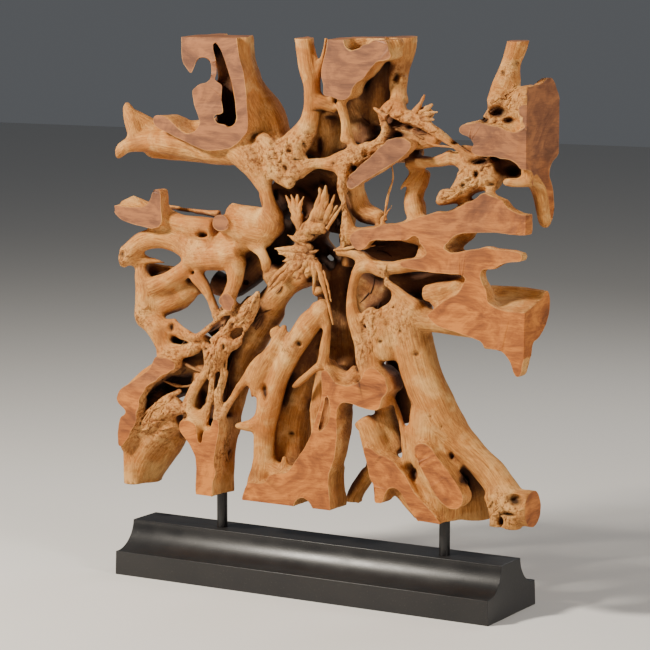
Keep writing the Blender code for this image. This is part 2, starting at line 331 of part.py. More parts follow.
    "rag4": [(6.6, 95.8, 4.6, 0.3), (6.2, 93, 4.4, 0.55), (5.8, 90.6, 4.2, 0.8)],
    "rag5": [(8.3, 93.6, 4.4, 0.3), (7.6, 91.4, 4.2, 0.6), (6.6, 89.4, 4, 0.9)],
    "rag6": [(11, 91.8, 4.2, 0.35), (9.6, 90.2, 4, 0.5), (8, 88, 4, 0.7), (6.4, 86.6, 4, 0.9)],
    "rag_mass": [(-1, 84.6, 4, 1.4), (2, 85.6, 3.6, 2.1), (5, 86.2, 3.8, 1.7),
                 (7.4, 86, 4.2, 0.9)],
    "rag7": [(-7, 80.3, 3.4, 0.35), (-4.4, 80, 3.4, 1.1), (-1.4, 79.8, 3.4, 1.7),
             (1.4, 79.2, 3.6, 1.8), (3.4, 77.5, 3.6, 1.5)],
    "rag8": [(-3.7, 83.7, 3.6, 0.3), (-1.8, 83.2, 3.6, 0.9), (0.6, 82.4, 3.6, 1.1)],
    "rag9": [(2.2, 77, 3.4, 1.4), (2.4, 74.3, 3.4, 1.5)],
    "centre_back": [(-6, 96, 14, 3.4), (0, 94, 14.5, 3.8), (5, 90, 14.5, 3.8), (3, 83, 14.8, 3.4),
                    (8, 78, 14.5, 3.4)],
    "centre_back2": [(-4, 88, 14.2, 3.4), (-6, 81, 14.2, 3.4), (-3, 76, 13.4, 3.2)],
    "centre_back3": [(6.5, 96.5, 14, 3.4), (10.5, 91, 14, 3.4), (10, 85, 14, 3.2)],
    "centre_tie": [(2, 85, 6, 2.4), (2, 86, 14, 3)],
    "rib_g": [(4.9, 76.2, 3, 0.5), (4.3, 74, 3, 0.45), (3.2, 72.3, 3, 0.4), (2.6, 70.4, 3, 0.4),
              (2.2, 68.3, 3.2, 0.4)],
    "rib2": [(5.5, 77, 2.5, 0.5), (6.4, 74, 2.5, 0.5), (7.2, 71.3, 2.5, 0.5), (8, 68, 2.5, 0.5),
             (8.8, 65, 2.5, 0.5), (9.3, 62, 3, 0.5), (9.2, 58.5, 3, 0.6), (9.6, 55.5, 3, 0.5)],
    "v_dark_wall": [(10.5, 79, 13.6, 3.2), (10.5, 72, 13.8, 3.2), (11, 65, 13.8, 3.4),
                    (11.5, 58, 13, 3.6), (11, 52, 11, 3.6)],
    "tri_wall": [(4.5, 72.5, 6.5, 1.8), (5, 70.5, 6, 1.8)],
    "rag_core": [(1, 84.5, 4.5, 2.2), (1, 84.8, 11, 2.4)],
    "rag_core_top": [(4.2, 88, 5, 1.6), (3.6, 88, 11, 2)],
    "rag_core_low": [(0.5, 79, 4.6, 1.6), (0.2, 78.8, 11, 2.2)],
    "rag_core_right": [(12, 84, 5, 1.6), (12, 84, 11, 2.4)],
    "mid_wall": [(21.5, 126, 10.5, 3), (21.5, 121, 11.5, 4), (21.5, 115.5, 12, 4.4),
                 (21, 109.5, 12, 3.6)],
    "mid_wall_low": [(13, 110, 12, 4), (12, 104, 12, 4)],
    "diag_wall": [(22, 111, 9, 2.8), (27, 110, 9, 2.8), (31.5, 108.6, 8.6, 2),
                  (35.5, 106.8, 8, 1.2)],
    "band_wall": [(17, 103, 9.5, 3.4), (22, 104, 9.5, 3), (27, 104, 9, 2.6),
                  (30.8, 103.8, 8.4, 1.4)],
    "v_wall_left": [(6.5, 78, 11, 3), (6.8, 71, 11, 2.6), (7.5, 63, 11.5, 3), (7, 56, 10.5, 3)],
    "back_root_top": [(1, 77, 9.5, 2.6), (-4, 76, 9.5, 2.6), (-9, 73.5, 9.5, 2.8)],
    # middle legs
    "m2": [(6.3, 69.3, 3.6, 1.5), (4.3, 66.2, 3.8, 2.5), (1.6, 63.3, 4, 2.9), (-1, 59.8, 4, 2.8),
           (-3.6, 55.3, 4, 2.5), (-5.9, 51, 4, 2.4), (-7.5, 47, 4, 2.6), (-8.9, 43.5, 4, 3),
           (-9.9, 39.5, 4, 2.7), (-10.2, 35.5, 4, 2.6), (-10.4, 31.5, 4, 2.9),
           (-11, 27, 4.2, 3.4), (-11.6, 20.5, 4.4, 3.8)],
    "m2_right": [(5.8, 66.5, 3.6, 1.8), (6.6, 63.4, 3.4, 1.2), (6.2, 60, 3.2, 1.2),
                 (5.8, 57, 3, 1.2), (5.4, 54.6, 2.6, 1.3)],
    "m1": [(-4.4, 63.2, 4, 0.7), (-5.9, 60.4, 3.8, 1.3), (-7.8, 57, 3.8, 1.7),
           (-10, 53.8, 3.8, 2.2), (-11.8, 50.3, 3.8, 2.2), (-12.5, 47.3, 3.8, 1.4),
           (-12, 44.5, 4, 1.6)],
    "m1_left": [(-10.5, 55, 4, 1.4), (-13, 52.8, 3.8, 1.4), (-14.7, 50, 3.6, 1.3),
                (-16, 48.4, 3.6, 1)],
    "m_top_l": [(-6, 62, 5, 1.2), (-8.2, 60.6, 5.4, 1.2)],
    "stub_m": [(-18.4, 38.4, 3, 0.75), (-16.3, 38.5, 3, 1.1), (-13.8, 38.7, 3.2, 1.5),
               (-12, 39.5, 3.6, 2)],
    "hump": [(-4.9, 32.6, 3.4, 0.7), (-4.7, 30.6, 3.4, 1.2), (-5.5, 28.5, 3, 1.6)],
    "m_foot": [(-9, 29.5, 4, 2.4), (-5, 28.5, 4, 2), (-1.5, 28.5, 4, 2)],
    "branch_b": [(5.6, 54.8, 3, 1.2), (3, 53.2, 3, 1), (0.6, 51.2, 2.8, 0.95),
                 (-1.4, 49.6, 2.8, 0.8), (-3.2, 48.3, 2.8, 0.4)],
    "recess_b": [(3, 57, 11, 3.6), (1, 50, 11.5, 4.2), (-1.5, 43, 11.5, 4.6), (-2.5, 36, 11, 4.6),
                 (-2, 29, 10, 4.4), (0, 22, 9.5, 4)],
    "w_back": [(7, 55.5, 5, 1.6), (9, 52.5, 5, 2), (12.5, 51.8, 5, 2), (15, 54, 5, 2)],
    "leg_b": [(18, 31.5, 11, 1.6), (16, 28.5, 12, 2), (14, 25, 12.5, 2.1), (13, 20, 12.5, 2.1)],
    "leg_a": [(9.3, 32, 7, 1.6), (9.4, 27.5, 6.5, 1.5), (8.5, 20.5, 6, 1.6)],
    "recess_top": [(5, 63, 9.5, 2.4), (2.5, 58.5, 10, 3.2), (-2, 54, 10, 3.4)],
    "recess_right": [(6.6, 59, 8.5, 2.4), (6.4, 51, 8.5, 2.8), (5.5, 43, 8.5, 3.2)],
    "leg_b_top": [(22.5, 36.5, 6, 2.4), (20.6, 33.8, 8.8, 2), (18, 31.5, 11, 1.8)],
    # right foot
    "n_root": [(15.8, 43, 3.8, 2.2), (17.6, 40.5, 3.8, 2.8), (19, 37.2, 3.8, 3),
               (21, 33.5, 4, 3.2), (24, 30.5, 4.2, 2.8), (28, 27, 4.4, 2.8), (32, 23.5, 4.8, 3),
               (34, 20, 5, 3)],
    "n_peg": [(20.2, 29.5, 3.4, 1.5), (20.1, 25.2, 3.4, 1.2)],
    "n_side": [(21, 47.5, 7.5, 1.8), (22, 44, 7.5, 2.4), (24, 40, 7.5, 2.4), (26, 36.5, 7, 2.2)],
    "rib_q": [(23.4, 49.6, 5, 0.5), (24.6, 46.5, 4.6, 0.7), (25.8, 43.2, 4.2, 0.8),
              (26.6, 40, 3.8, 1), (27.2, 36.8, 3.6, 1.1), (27.8, 34, 3.6, 1.4)],
    "recess_q": [(25.5, 58, 12, 3), (25, 54, 13.6, 3.2), (26, 49, 14, 3.2), (27, 43, 14, 3)],
    "k_top": [(22.5, 76.3, 3.4, 1), (18, 78, 3.4, 1.8), (14.8, 77, 3.2, 1.4),
              (13.4, 73.5, 3.2, 1.2), (13, 70, 3.2, 1.3), (13.4, 66.6, 3.4, 1.6),
              (14.8, 63, 3.6, 2), (16.3, 59.5, 3.6, 2.2), (17.2, 56, 3.2, 2.3),
              (17.4, 53, 2.8, 2.2)],
    "k_mass": [(18.5, 65, 4.4, 2.8), (21, 63.5, 4.6, 3.4), (22.5, 59.5, 4.6, 3.4),
               (23, 57, 4.6, 2.4)],
    "k_lip": [(16.5, 67.5, 4, 1.6), (19.5, 66, 4, 2), (22.5, 67.5, 4, 2), (24.6, 70, 3.6, 1.6),
              (24.4, 72.6, 3.2, 1.2), (22.4, 74.5, 3, 0.7)],
    "h8_wall": [(13.8, 75.5, 11, 2.6), (18.5, 74.5, 13.2, 3.4), (22.5, 72, 13.2, 3.4),
                (20.5, 69, 12.5, 3)],
    "h8_wall_low": [(13.5, 71.5, 12, 2.8), (16.5, 69, 12, 3), (20, 68, 11, 3)],
    "k_main": [(25.5, 70.5, 4.6, 2.8), (27.2, 67, 5.2, 4.2), (28.8, 62, 5.6, 4.6),
               (30.2, 57, 5.8, 4.6), (32, 52.5, 6, 4.7), (34.4, 48, 6.2, 4.7),
               (36.5, 44.5, 6.6, 4.6), (39.8, 41, 7, 3.9), (44, 37.6, 7.2, 3.4),
               (48.2, 34, 7, 3.4), (51.2, 30.5, 6.4, 3.6), (54, 27.3, 5.4, 3.8),
               (57.5, 26.8, 5.2, 4.2), (62, 26.5, 5.2, 4.2)],
    "k2": [(33, 46.5, 6, 4.4), (32.4, 41, 5.6, 4.2), (33, 36.5, 5.2, 4.4), (35, 32, 5.2, 4.4),
           (37, 27.8, 5.2, 4.4), (36.8, 23, 6.6, 4.2), (36.6, 19, 6.8, 4)],
    "k_hollow": [(41.5, 37.5, 9.5, 2.6), (43, 33, 10.5, 3.6), (44, 28.5, 10.5, 3.6),
                 (44.5, 22, 10, 3.8)],
    "ball": [(40.8, 33.4, 7, 1.2), (40.6, 35, 7.5, 1.3)],
    "k_foot_l": [(49.3, 29, 5, 2.6), (49.8, 25.5, 4.6, 1.8), (50, 20.5, 4.6, 1.8)],
    "k_foot_r": [(55, 27, 4.5, 2.2), (54, 24, 4, 1.8), (53.8, 20.5, 4, 1.8)],
    # right arms
    "e_arm": [(29, 68.5, 5, 3.4), (32, 66.8, 4.6, 2.8), (36, 66.8, 4.6, 2.8), (41, 66.8, 5, 3.2),
              (47, 66.8, 6, 3.4), (53, 67.2, 5.8, 3.2), (60, 68, 5.6, 3)],
    "e_rim_back": [(46.5, 73.5, 6, 1.4), (48, 73.5, 10, 2), (53, 74.3, 11.3, 1.5),
                   (59, 74.2, 11, 1.4), (65, 73.5, 11, 1.4)],
    "e_floor": [(47.5, 71, 6, 1.8), (52, 70, 8, 2.6), (58, 70, 7.8, 2.8), (64, 70, 7.8, 2.8)],
    "fan": [(31.5, 72.5, 3.4, 1.8), (35, 73.2, 3.4, 2.2), (39, 74.3, 3, 1.9),
            (41, 75.5, 2.6, 1.2)],
    "fan_low": [(33.5, 70.5, 3, 1), (37, 72, 2.6, 1.2)],
    "lip_w": [(21.5, 74.8, 2.5, 0.7), (24.5, 73.2, 2.5, 1), (27.5, 71, 3, 1.4),
              (30, 69.5, 3, 1.5)],
    "slot_wall": [(22, 75.6, 11, 2.4), (30, 74.7, 11.5, 3.2), (38, 75.2, 11.5, 3),
                  (41.5, 74.5, 10, 3)],
    "slot_wall2": [(14.5, 82, 9.5, 2.6), (20, 82, 10.5, 2.8), (27, 82, 10.5, 2.8),
                   (31.5, 81.5, 9, 2.6)],
    "d1_back": [(12.6, 84.5, 3.6, 2), (18, 85.4, 4.6, 1.6), (25, 86.2, 5, 2),
                (32, 86.5, 5.4, 3.4), (39, 88.5, 5.4, 3.2), (46, 91, 5, 3.6), (52, 89.4, 3, 1.8),
                (58, 89.2, 1.6, 1.6)],
    "d2_back": [(9, 80.8, 3.6, 1.2), (14, 80.6, 3.6, 1.2), (18, 78.3, 3.6, 1.8),
                (23, 77.8, 3.4, 1.5), (29, 79, 4, 1.7), (36, 79.6, 4.6, 2), (43, 80.8, 4.4, 2.2),
                (50, 81.8, 3.6, 1.3), (55.3, 81.9, 2, 0.9)],
    "d_join": [(31, 83, 4.6, 2.6), (33, 82, 4.6, 2.6)],
    "neck_e": [(43.3, 79, 4.4, 2), (43.4, 75, 4.6, 2.2), (43.5, 71, 5, 2.6)],
    "pale_side": [(38.5, 83.6, 5, 1.4), (41.5, 85.4, 5.5, 1.4), (44, 86.6, 5.5, 1)],
    "slope": [(34.6, 93.4, 4, 1.4), (38, 95, 4, 2.2), (42, 97.5, 4.4, 2.8), (46, 99, 4.6, 3),
              (50, 98, 4.6, 2.2)],
    "slope2": [(41, 101.5, 4.6, 1.8), (45, 101, 4.6, 2.4), (49.5, 101, 4.4, 2)],
    "tall": [(54.6, 131, 5, 2.5), (53.6, 127, 5, 2.3), (52.3, 123.5, 5, 2.2), (51.5, 120, 5, 3),
             (50, 116.5, 5.2, 2.9), (48.3, 113.3, 5, 1.8), (46.5, 111.6, 4.6, 1.2)],
    "f_fold": [(50, 113.8, 6, 2.4), (54, 114.2, 6.5, 3), (60, 114, 8, 4)],
    "f_swell": [(50.5, 113, 5.2, 2.4), (53, 114, 4.2, 2.7), (55.5, 114.6, 3.2, 2.9),
                (58, 115, 3.2, 3)],
    "f_swell_top": [(53.5, 117, 5, 1.6), (56, 117.4, 3.6, 1.9), (58, 117.6, 3.4, 2)],
    "f_lip": [(49, 116.3, 5, 0.8), (52, 116.3, 4.6, 1.2), (55, 117.3, 4.2, 1.5),
              (58, 118.5, 4, 1.2)],
    "f_low": [(46.5, 110.9, 3.6, 0.9), (50, 110.8, 3.6, 1.6), (54, 110.6, 3.8, 1.9),
              (58, 110.5, 4, 2)],
    "f_back": [(47, 107.5, 7.5, 3), (52, 107, 8.5, 4), (58, 107, 9, 5), (64, 107, 9.5, 6)],
    "f_plate": [(50.8, 98.3, 3, 1), (54, 98.2, 3, 1.1), (58, 98.5, 3.4, 1.3)],
    "f_join": [(56.8, 102, 4, 1.6), (57, 100, 4, 1.5)],
    "f_spur": [(57, 100.3, 6, 2.2), (58.8, 99.4, 9.5, 2.5), (60.2, 97.4, 12, 2.5),
               (60.9, 94.6, 13, 2.3), (61, 92, 13.2, 2), (60.9, 90, 13.2, 1.6),
               (60.4, 88.8, 13.2, 1)],
    "f_wall": [(49.5, 101, 8, 2.4), (54, 101, 9, 2.6), (58, 101.5, 9, 2.6)],
    "f_slit_wall": [(40, 104.6, 6.2, 1.6), (45, 103.6, 7, 1.9), (49, 103, 7.8, 2)],
    "f_spur_up": [(59.5, 101, 7, 2.2), (59.5, 105, 8, 3)],
}

# Hollows: floor depth, then the sighted outline of the mouth.
HOLLOWS = {
    "groove": (7.2, [
        (-23.8, 127.6), (-22.9, 127.3), (-21.5, 125.4), (-20.4, 123.2), (-19.7, 121.2),
        (-19, 119), (-18.5, 117), (-18, 115), (-17.6, 112), (-17.2, 110.2), (-17.6, 108.9),
        (-18.8, 107.9), (-19.7, 107.7), (-20.7, 108.5), (-22.6, 108.6), (-23.6, 109.5),
        (-24, 110.9), (-22.6, 110.8), (-21.2, 111), (-21.4, 114), (-21.2, 117.5),
        (-22.6, 118.3), (-23.6, 118.3), (-22.9, 120), (-23, 123), (-23.6, 125.6)]),
    "void_left": (12, [
        (-7.5, 94), (-5, 94.4), (-3, 93.8), (-3.6, 92), (-4.2, 90.5), (-3.2, 89), (-2, 87.5),
        (-1, 86), (-1.3, 85.2), (-4.5, 84.5), (-5, 86.5), (-5, 89), (-5.6, 91), (-7.2, 92.5)]),
    "void_top": (12, [
        (-2.6, 94.2), (0.2, 94.4), (1.4, 93.4), (3.4, 91.4), (3.9, 93), (4, 95.5), (4.8, 96.4),
        (5.8, 96.2), (6.1, 94.6), (6.7, 92), (7.2, 92.4), (8.1, 94.4), (9.4, 95.2), (9.8, 97.8),
        (8.6, 98.4), (7.4, 97.2), (6.4, 97.6), (4.6, 98.6), (2.4, 98.4), (1, 96.6),
        (-0.5, 95.3)]),
    "void_right": (12, [
        (7.2, 86.4), (8.4, 88), (9.7, 89.3), (10.8, 90), (10.9, 87.5), (10.3, 85), (9.4, 83.2),
        (7.6, 83), (7.6, 84.6)]),
    "void_low": (12, [
        (-9.3, 80.5), (-7.5, 82), (-5, 83), (-2.4, 83), (-2.6, 82), (-4.4, 81.3), (-7.2, 80.4),
        (-5.9, 79), (-4.6, 77.8), (-6, 76.4), (-8, 77.6), (-9, 78.4)]),
    "void_eye": (12.5, [
        (3.6, 82.4), (5, 83), (6.6, 82.2), (7.2, 80.6), (8.9, 79.2), (9.2, 78.2), (8, 76.6),
        (7, 76.2), (5.9, 77.7), (4.4, 77.8), (3.2, 79), (3.5, 80.6)]),
    "column_wedge": (5.5, [
        (6.4, 48.3), (7.1, 46.8), (7.4, 44.7), (7.4, 43), (6.7, 41), (5.4, 39.5), (3.9, 38.1),
        (4.2, 40), (5.1, 42.8), (5.8, 45.2), (6, 47.3)]),
}

# Openings seen right through the root: the sighted outline.
OPENINGS = {
    "hook_window": [(-28.9, 121.6), (-27.8, 123.6), (-26, 123.9), (-24.7, 123.1), (-24.2, 122),
                    (-24.2, 120), (-24.6, 118.9), (-27, 118), (-29, 117), (-30.6, 116.4),
                    (-31.5, 118.6), (-29.8, 119.4)],
    "link_window": [(33.5, 100.2), (36, 100.6), (40.2, 99.9), (39.3, 98), (38.3, 96.2),
                    (37.2, 95.3), (36.2, 96.1), (35.3, 95.4), (34.7, 93.9), (33, 91.8),
                    (31.8, 92.6), (30.9, 93.6), (31.6, 95.4), (32.8, 96.9), (33.6, 99)],
    "slot_window": [(32.3, 104.8), (34, 105.1), (36.5, 105.2), (37.4, 104.6), (36, 103.6),
                    (34, 103.2), (32.5, 103.3)],
    "centre_window": [(0.5, 71.9), (1.9, 71.9), (2.4, 70.9), (2.3, 69.5), (1.9, 67.8),
                      (-0.1, 65.7), (-1.4, 64.5), (-3.9, 64.2), (-4.9, 64.7), (-4.7, 66.9),
                      (-3.9, 68.4), (-2, 70.3)],
    "column_window": [(10.9, 31.5), (11.6, 33.7), (12.2, 36.3), (13.1, 39.5), (13.3, 40.7),
                      (15, 40.6), (15.2, 39), (15.6, 37), (16.3, 35), (17, 33.2), (17, 31.8)],
    "band_window": [(20, 97.7), (23.1, 98.4), (25.2, 97.9), (25.4, 96.4), (24.8, 94.8),
                    (23.7, 92.7), (22.7, 91.2), (21.9, 90.8), (20.4, 91.9), (18.3, 93.7),
                    (17.7, 94.6), (18.9, 96.5)],
    "frame_window_top": [(-40, 76.2), (-38.5, 77.2), (-36, 77.9), (-34, 77.4), (-33, 75.9),
                         (-36, 75.8)],
    "frame_window": [(-27.9, 69), (-26.7, 68.6), (-25.5, 67), (-24.6, 65.1), (-23.4, 62.8),
                     (-24.5, 62), (-25.9, 61.1), (-27.5, 59.7), (-29, 58.8), (-30.2, 59.3),
                     (-32.8, 60.7), (-34.8, 62.4), (-33.6, 62.8), (-32.8, 64), (-31.3, 65.5),
                     (-29.2, 67.2)],
    "strip_window": [(-12.6, 46), (-12.2, 45.4), (-12.3, 43), (-12.8, 41.6), (-14, 40.8),
                     (-15, 40.5), (-14.8, 42.5), (-14, 44.5), (-13.2, 45.8)],
    "leg_window": [(-18.5, 22.4), (-18.6, 27), (-18.3, 31), (-17.7, 35), (-17.2, 36.6),
                   (-15.2, 36.9), (-13.6, 35.6), (-13, 34.6), (-13.1, 31.4), (-13.9, 28.4),
                   (-15.1, 25.4), (-16.3, 22.4)],
    "pale_window_left": [(-22.3, 69.4), (-21.5, 70.9), (-20.9, 70.6), (-21.1, 69.4),
                         (-21.8, 68.8)],
    "pale_window_right": [(-15.7, 71.5), (-15.6, 72.6), (-14.9, 73), (-14.2, 72.4),
                          (-14.5, 71.6)],
    "fork_window": [
        (2.95, 131.5), (3.2, 127), (3.9, 124.4), (4.5, 123), (5.2, 124.6), (5.8, 127),
        (6.1, 131.5)],
    "eye_window": [
        (5.6, 82.4), (6.5, 82), (7, 80.4), (8.8, 79), (9, 78.4), (7.4, 78.3), (6.3, 79.6),
        (5.9, 81)],
}


def clear_scene():
    for obj in list(bpy.data.objects):
        bpy.data.objects.remove(obj, do_unlink=True)


def sighted(x, z, depth):
    """The point that lines up with x, z on the front plane and lies that far behind it."""
    on_face = Vector((x * CM, FRONT_Y, z * CM))
    run = (FRONT_Y + depth * CM - SIGHT.y) / (FRONT_Y - SIGHT.y)
    return SIGHT + (on_face - SIGHT) * run


def rounded(points, steps=3):
    """A run of points eased into a curve that still passes through each of them."""
    rows = [Vector(p) for p in points]
    rows = [rows[0]] + rows + [rows[-1]]
    eased = []
    for i in range(1, len(rows) - 2):
        a, b, c, d = rows[i - 1], rows[i], rows[i + 1], rows[i + 2]
        for k in range(steps):
            t = k / steps
            eased.append(0.5 * (2 * b + (c - a) * t + (2 * a - 5 * b + 4 * c - d) * t * t
                                + (3 * b - a - 3 * c + d) * t * t * t))
    eased.append(rows[-2])
    return eased


def link(obj, collection=None):
    (collection or bpy.context.scene.collection).objects.link(obj)
    return obj


def mesh_object(name, bm, collection=None):
    mesh = bpy.data.meshes.new(name)
    bm.to_mesh(mesh)
    bm.free()
    return link(bpy.data.objects.new(name, mesh), collection)


def evaluated_mesh(obj):
    graph = bpy.context.evaluated_depsgraph_get()
    graph.update()
    return bpy.data.meshes.new_from_object(obj.evaluated_get(graph))


def bake(obj):
    """The object with its modifiers made real."""
    mesh = evaluated_mesh(obj)
    old = obj.data
    obj.modifiers.clear()
    obj.data = mesh
    if old.users == 0:
        bpy.data.meshes.remove(old)
    return obj


def boolean(obj, cutter, operation, solver="MANIFOLD"):
    modifier = obj.modifiers.new(operation.lower(), "BOOLEAN")
    modifier.operation = operation
    modifier.solver = solver
    modifier.object = cutter
    bake(obj)
    mesh = cutter.data
    bpy.data.objects.remove(cutter, do_unlink=True)
    bpy.data.meshes.remove(mesh)


def add_mesh(bm, mesh, matrix=None):
    if matrix is not None:
        mesh.transform(matrix)
    bm.from_mesh(mesh)
    bpy.data.meshes.remove(mesh)


def add_roots(bm):
    """Every root as a bevelled run in one curve, turned into a mesh."""
    curve = bpy.data.curves.new("roots", "CURVE")
    curve.dimensions = "3D"
    curve.bevel_depth = 1.0
    curve.bevel_resolution = 3
    curve.use_fill_caps = True
    for run in ROOTS.values():
        points = [(*sighted(x, z, depth), radius * CM) for x, z, depth, radius in run]
        spots = rounded(points)
        spline = curve.splines.new("POLY")
        spline.points.add(len(spots) - 1)
        for point, spot in zip(spline.points, spots):
            point.co = (spot[0], spot[1], spot[2], 1.0)
            point.radius = max(spot[3], 0.002)
    obj = link(bpy.data.objects.new("roots", curve))
    add_mesh(bm, evaluated_mesh(obj))
    bpy.data.objects.remove(obj, do_unlink=True)


def outline_mesh(outline, thickness):
    """A flat outline filled and extruded to both sides."""
    curve = bpy.data.curves.new("outline", "CURVE")
    curve.dimensions = "2D"
    curve.fill_mode = "BOTH"
    curve.extrude = thickness / 2
    spline = curve.splines.new("POLY")
    spline.points.add(len(outline) - 1)
    for point, (u, v) in zip(spline.points, outline):
        point.co = (u, v, 0.0, 1.0)
    spline.use_cyclic_u = True
    obj = link(bpy.data.objects.new("outline", curve))
    mesh = evaluated_mesh(obj)
    bpy.data.objects.remove(obj, do_unlink=True)
    return mesh


def add_faces(bm):
    proud = 0.02
    for depth, outline in FACES.values():
        thickness = depth * CM + proud
        mesh = outline_mesh([(x * CM, z * CM) for x, z in outline], thickness)
        middle_y = FRONT_Y - proud + thickness / 2
        add_mesh(bm, mesh, Matrix.Translation((0, middle_y, 0)) @ Matrix.Rotation(radians(90), 4, "X"))


def add_side_faces(bm):
    proud = 0.02
    turn = Matrix(((0, 0, 1, 0), (1, 0, 0, 0), (0, 1, 0, 0), (0, 0, 0, 1)))
    for inner_x, outline in SIDE_FACES.values():
        thickness = RIGHT_X + proud - inner_x
        flat = [(FRONT_Y + depth * CM, z * CM) for depth, z in outline]
        add_mesh(bm, outline_mesh(flat, thickness),
                 Matrix.Translation((inner_x + thickness / 2, 0, 0)) @ turn)


def add_sight_prism(bm, outline, near, far):
    """A prism that narrows along the sight lines, from one depth to another."""
    front = [bm.verts.new(sighted(x, z, near)) for x, z in outline]
    back = [bm.verts.new(sighted(x, z, far)) for x, z in outline]
    count = len(outline)
    for i in range(count):
        j = (i + 1) % count
        bm.faces.new((front[i], front[j], back[j], back[i]))
    bm.faces.new(list(reversed(front)))
    bm.faces.new(back)


def remeshed(obj, voxel, passes):
    remesh = obj.modifiers.new("voxel", "REMESH")
    remesh.mode = "VOXEL"
    remesh.voxel_size = voxel
    smooth = obj.modifiers.new("smooth", "SMOOTH")
    smooth.factor = 0.5
    smooth.iterations = passes
    return bake(obj)


def cut_away(obj, shapes):
    """Each mouth is cut on its own, so that neighbouring mouths may overlap."""
    for outline, near, far in shapes:
        bm = bmesh.new()
        add_sight_prism(bm, outline, near, far)
        bmesh.ops.triangulate(bm, faces=bm.faces, quad_method="BEAUTY", ngon_method="BEAUTY")
        bmesh.ops.recalc_face_normals(bm, faces=bm.faces)
        boolean(obj, mesh_object("mouth", bm), "DIFFERENCE")


def keep_largest(obj):
    """Loose scraps and closed bubbles left by the cuts are dropped."""
    bm = bmesh.new()
    bm.from_mesh(obj.data)
    bm.verts.ensure_lookup_table()
    seen = set()
    groups = []
    for start in bm.verts:
        if start in seen:
            continue
        seen.add(start)
        group = [start]
        for vert in group:
            for edge in vert.link_edges:
                other = edge.other_vert(vert)
                if other not in seen:
                    seen.add(other)
                    group.append(other)
        groups.append(group)
    groups.sort(key=len)
    for group in groups[:-1]:
        bmesh.ops.delete(bm, geom=group, context="VERTS")
    bm.to_mesh(obj.data)
    bm.free()


def thin_to(obj, triangles):
    bm = bmesh.new()
    bm.from_mesh(obj.data)
    bmesh.ops.triangulate(bm, faces=bm.faces)
    bm.to_mesh(obj.data)
    bm.free()
    decimate = obj.modifiers.new("thin", "DECIMATE")
    decimate.ratio = min(1.0, triangles / len(obj.data.polygons))
    bake(obj)


def sawn_block():
    """The block that the saw left: the top falls a little to the front."""
    bm = bmesh.new()
    corners = []
    for x in (LEFT_X, RIGHT_X):
        corners.append(bm.verts.new((x, FRONT_Y, BOTTOM_Z)))
        corners.append(bm.verts.new((x, BACK_Y, BOTTOM_Z)))
        corners.append(bm.verts.new((x, BACK_Y, TOP_Z_BACK)))
        corners.append(bm.verts.new((x, FRONT_Y, TOP_Z_FRONT)))
    for ring in ((0, 1, 2, 3), (7, 6, 5, 4), (0, 3, 7, 4), (1, 5, 6, 2), (0, 4, 5, 1), (3, 2, 6, 7)):
        bm.faces.new([corners[i] for i in ring])
    bmesh.ops.recalc_face_normals(bm, faces=bm.faces)
    return mesh_object("sawn_block", bm)


def rod_hole(x, bottom, top):
    bm = bmesh.new()
    bmesh.ops.create_cone(bm, cap_ends=True, segments=32, radius1=ROD_RADIUS + GAP,
                          radius2=ROD_RADIUS + GAP, depth=top - bottom,
                          matrix=Matrix.Translation((x, ROD_Y, (top + bottom) / 2)))
    return mesh_object("rod_hole", bm)


def make_root():
    bm = bmesh.new()
    add_roots(bm)
    add_faces(bm)
    add_side_faces(bm)
    bmesh.ops.remove_doubles(bm, verts=bm.verts, dist=1e-6)
    root = mesh_object("teak_root", bm)
    remeshed(root, VOXEL, 1)
    hollows = [(outline, -3.0, floor) for floor, outline in HOLLOWS.values()]
    cut_away(root, hollows)
    cut_away(root, [(outline, -3.0, 20.0) for outline in OPENINGS.values()])
    remeshed(root, VOXEL * 0.9, SMOOTH_PASSES)
    keep_largest(root)
    thin_to(root, ROOT_TRIANGLES)
    boolean(root, sawn_block(), "INTERSECT")
    boolean(root, rod_hole(ROD_LEFT_X, BOTTOM_Z - 0.02, ROD_TOP_LEFT + GAP), "DIFFERENCE")
    boolean(root, rod_hole(ROD_RIGHT_X, BOTTOM_Z - 0.02, ROD_TOP_RIGHT + GAP), "DIFFERENCE")
    keep_largest(root)
    return root


def base_profile():
    """Half of the end outline: plinth, hollow moulding, flat top."""
    half = BASE_WIDTH / 2
    top_half = BASE_TOP_WIDTH / 2
    inner = half - PLINTH_LEDGE
    rows = [(half, 0.0), (half, PLINTH_HEIGHT), (inner, PLINTH_HEIGHT)]
    reach = inner - top_half
    rise = BASE_HEIGHT - PLINTH_HEIGHT
    for i in range(1, COVE_STEPS):
        t = radians(90 * i / COVE_STEPS)
        rows.append((inner - reach * sin(t), PLINTH_HEIGHT + rise * (1 - cos(t))))
    rows.append((top_half, BASE_HEIGHT))
    return rows


def make_base():
    half = base_profile()
    profile = [(y, z) for y, z in half] + [(-y, z) for y, z in reversed(half)]
    bm = bmesh.new()
    ends = []
    for side in (-1, 1):
        row = []
        for y, z in profile:
            lean = (BASE_LENGTH - BASE_TOP_LENGTH) / 2 * z / BASE_HEIGHT
            row.append(bm.verts.new((side * (BASE_LENGTH / 2 - lean), y, z)))
        ends.append(row)
    count = len(profile)
    for i in range(count):
        j = (i + 1) % count
        bm.faces.new((ends[0][i], ends[0][j], ends[1][j], ends[1][i]))
    bm.faces.new(ends[0])
    bm.faces.new(list(reversed(ends[1])))
    bmesh.ops.recalc_face_normals(bm, faces=bm.faces)
    base = mesh_object("base", bm)
    for x in (ROD_LEFT_X, ROD_RIGHT_X):
        floor = BASE_HEIGHT - ROD_IN_BASE - GAP
        boolean(base, rod_hole(x, floor, BASE_HEIGHT + 0.02), "DIFFERENCE", "EXACT")
    return base


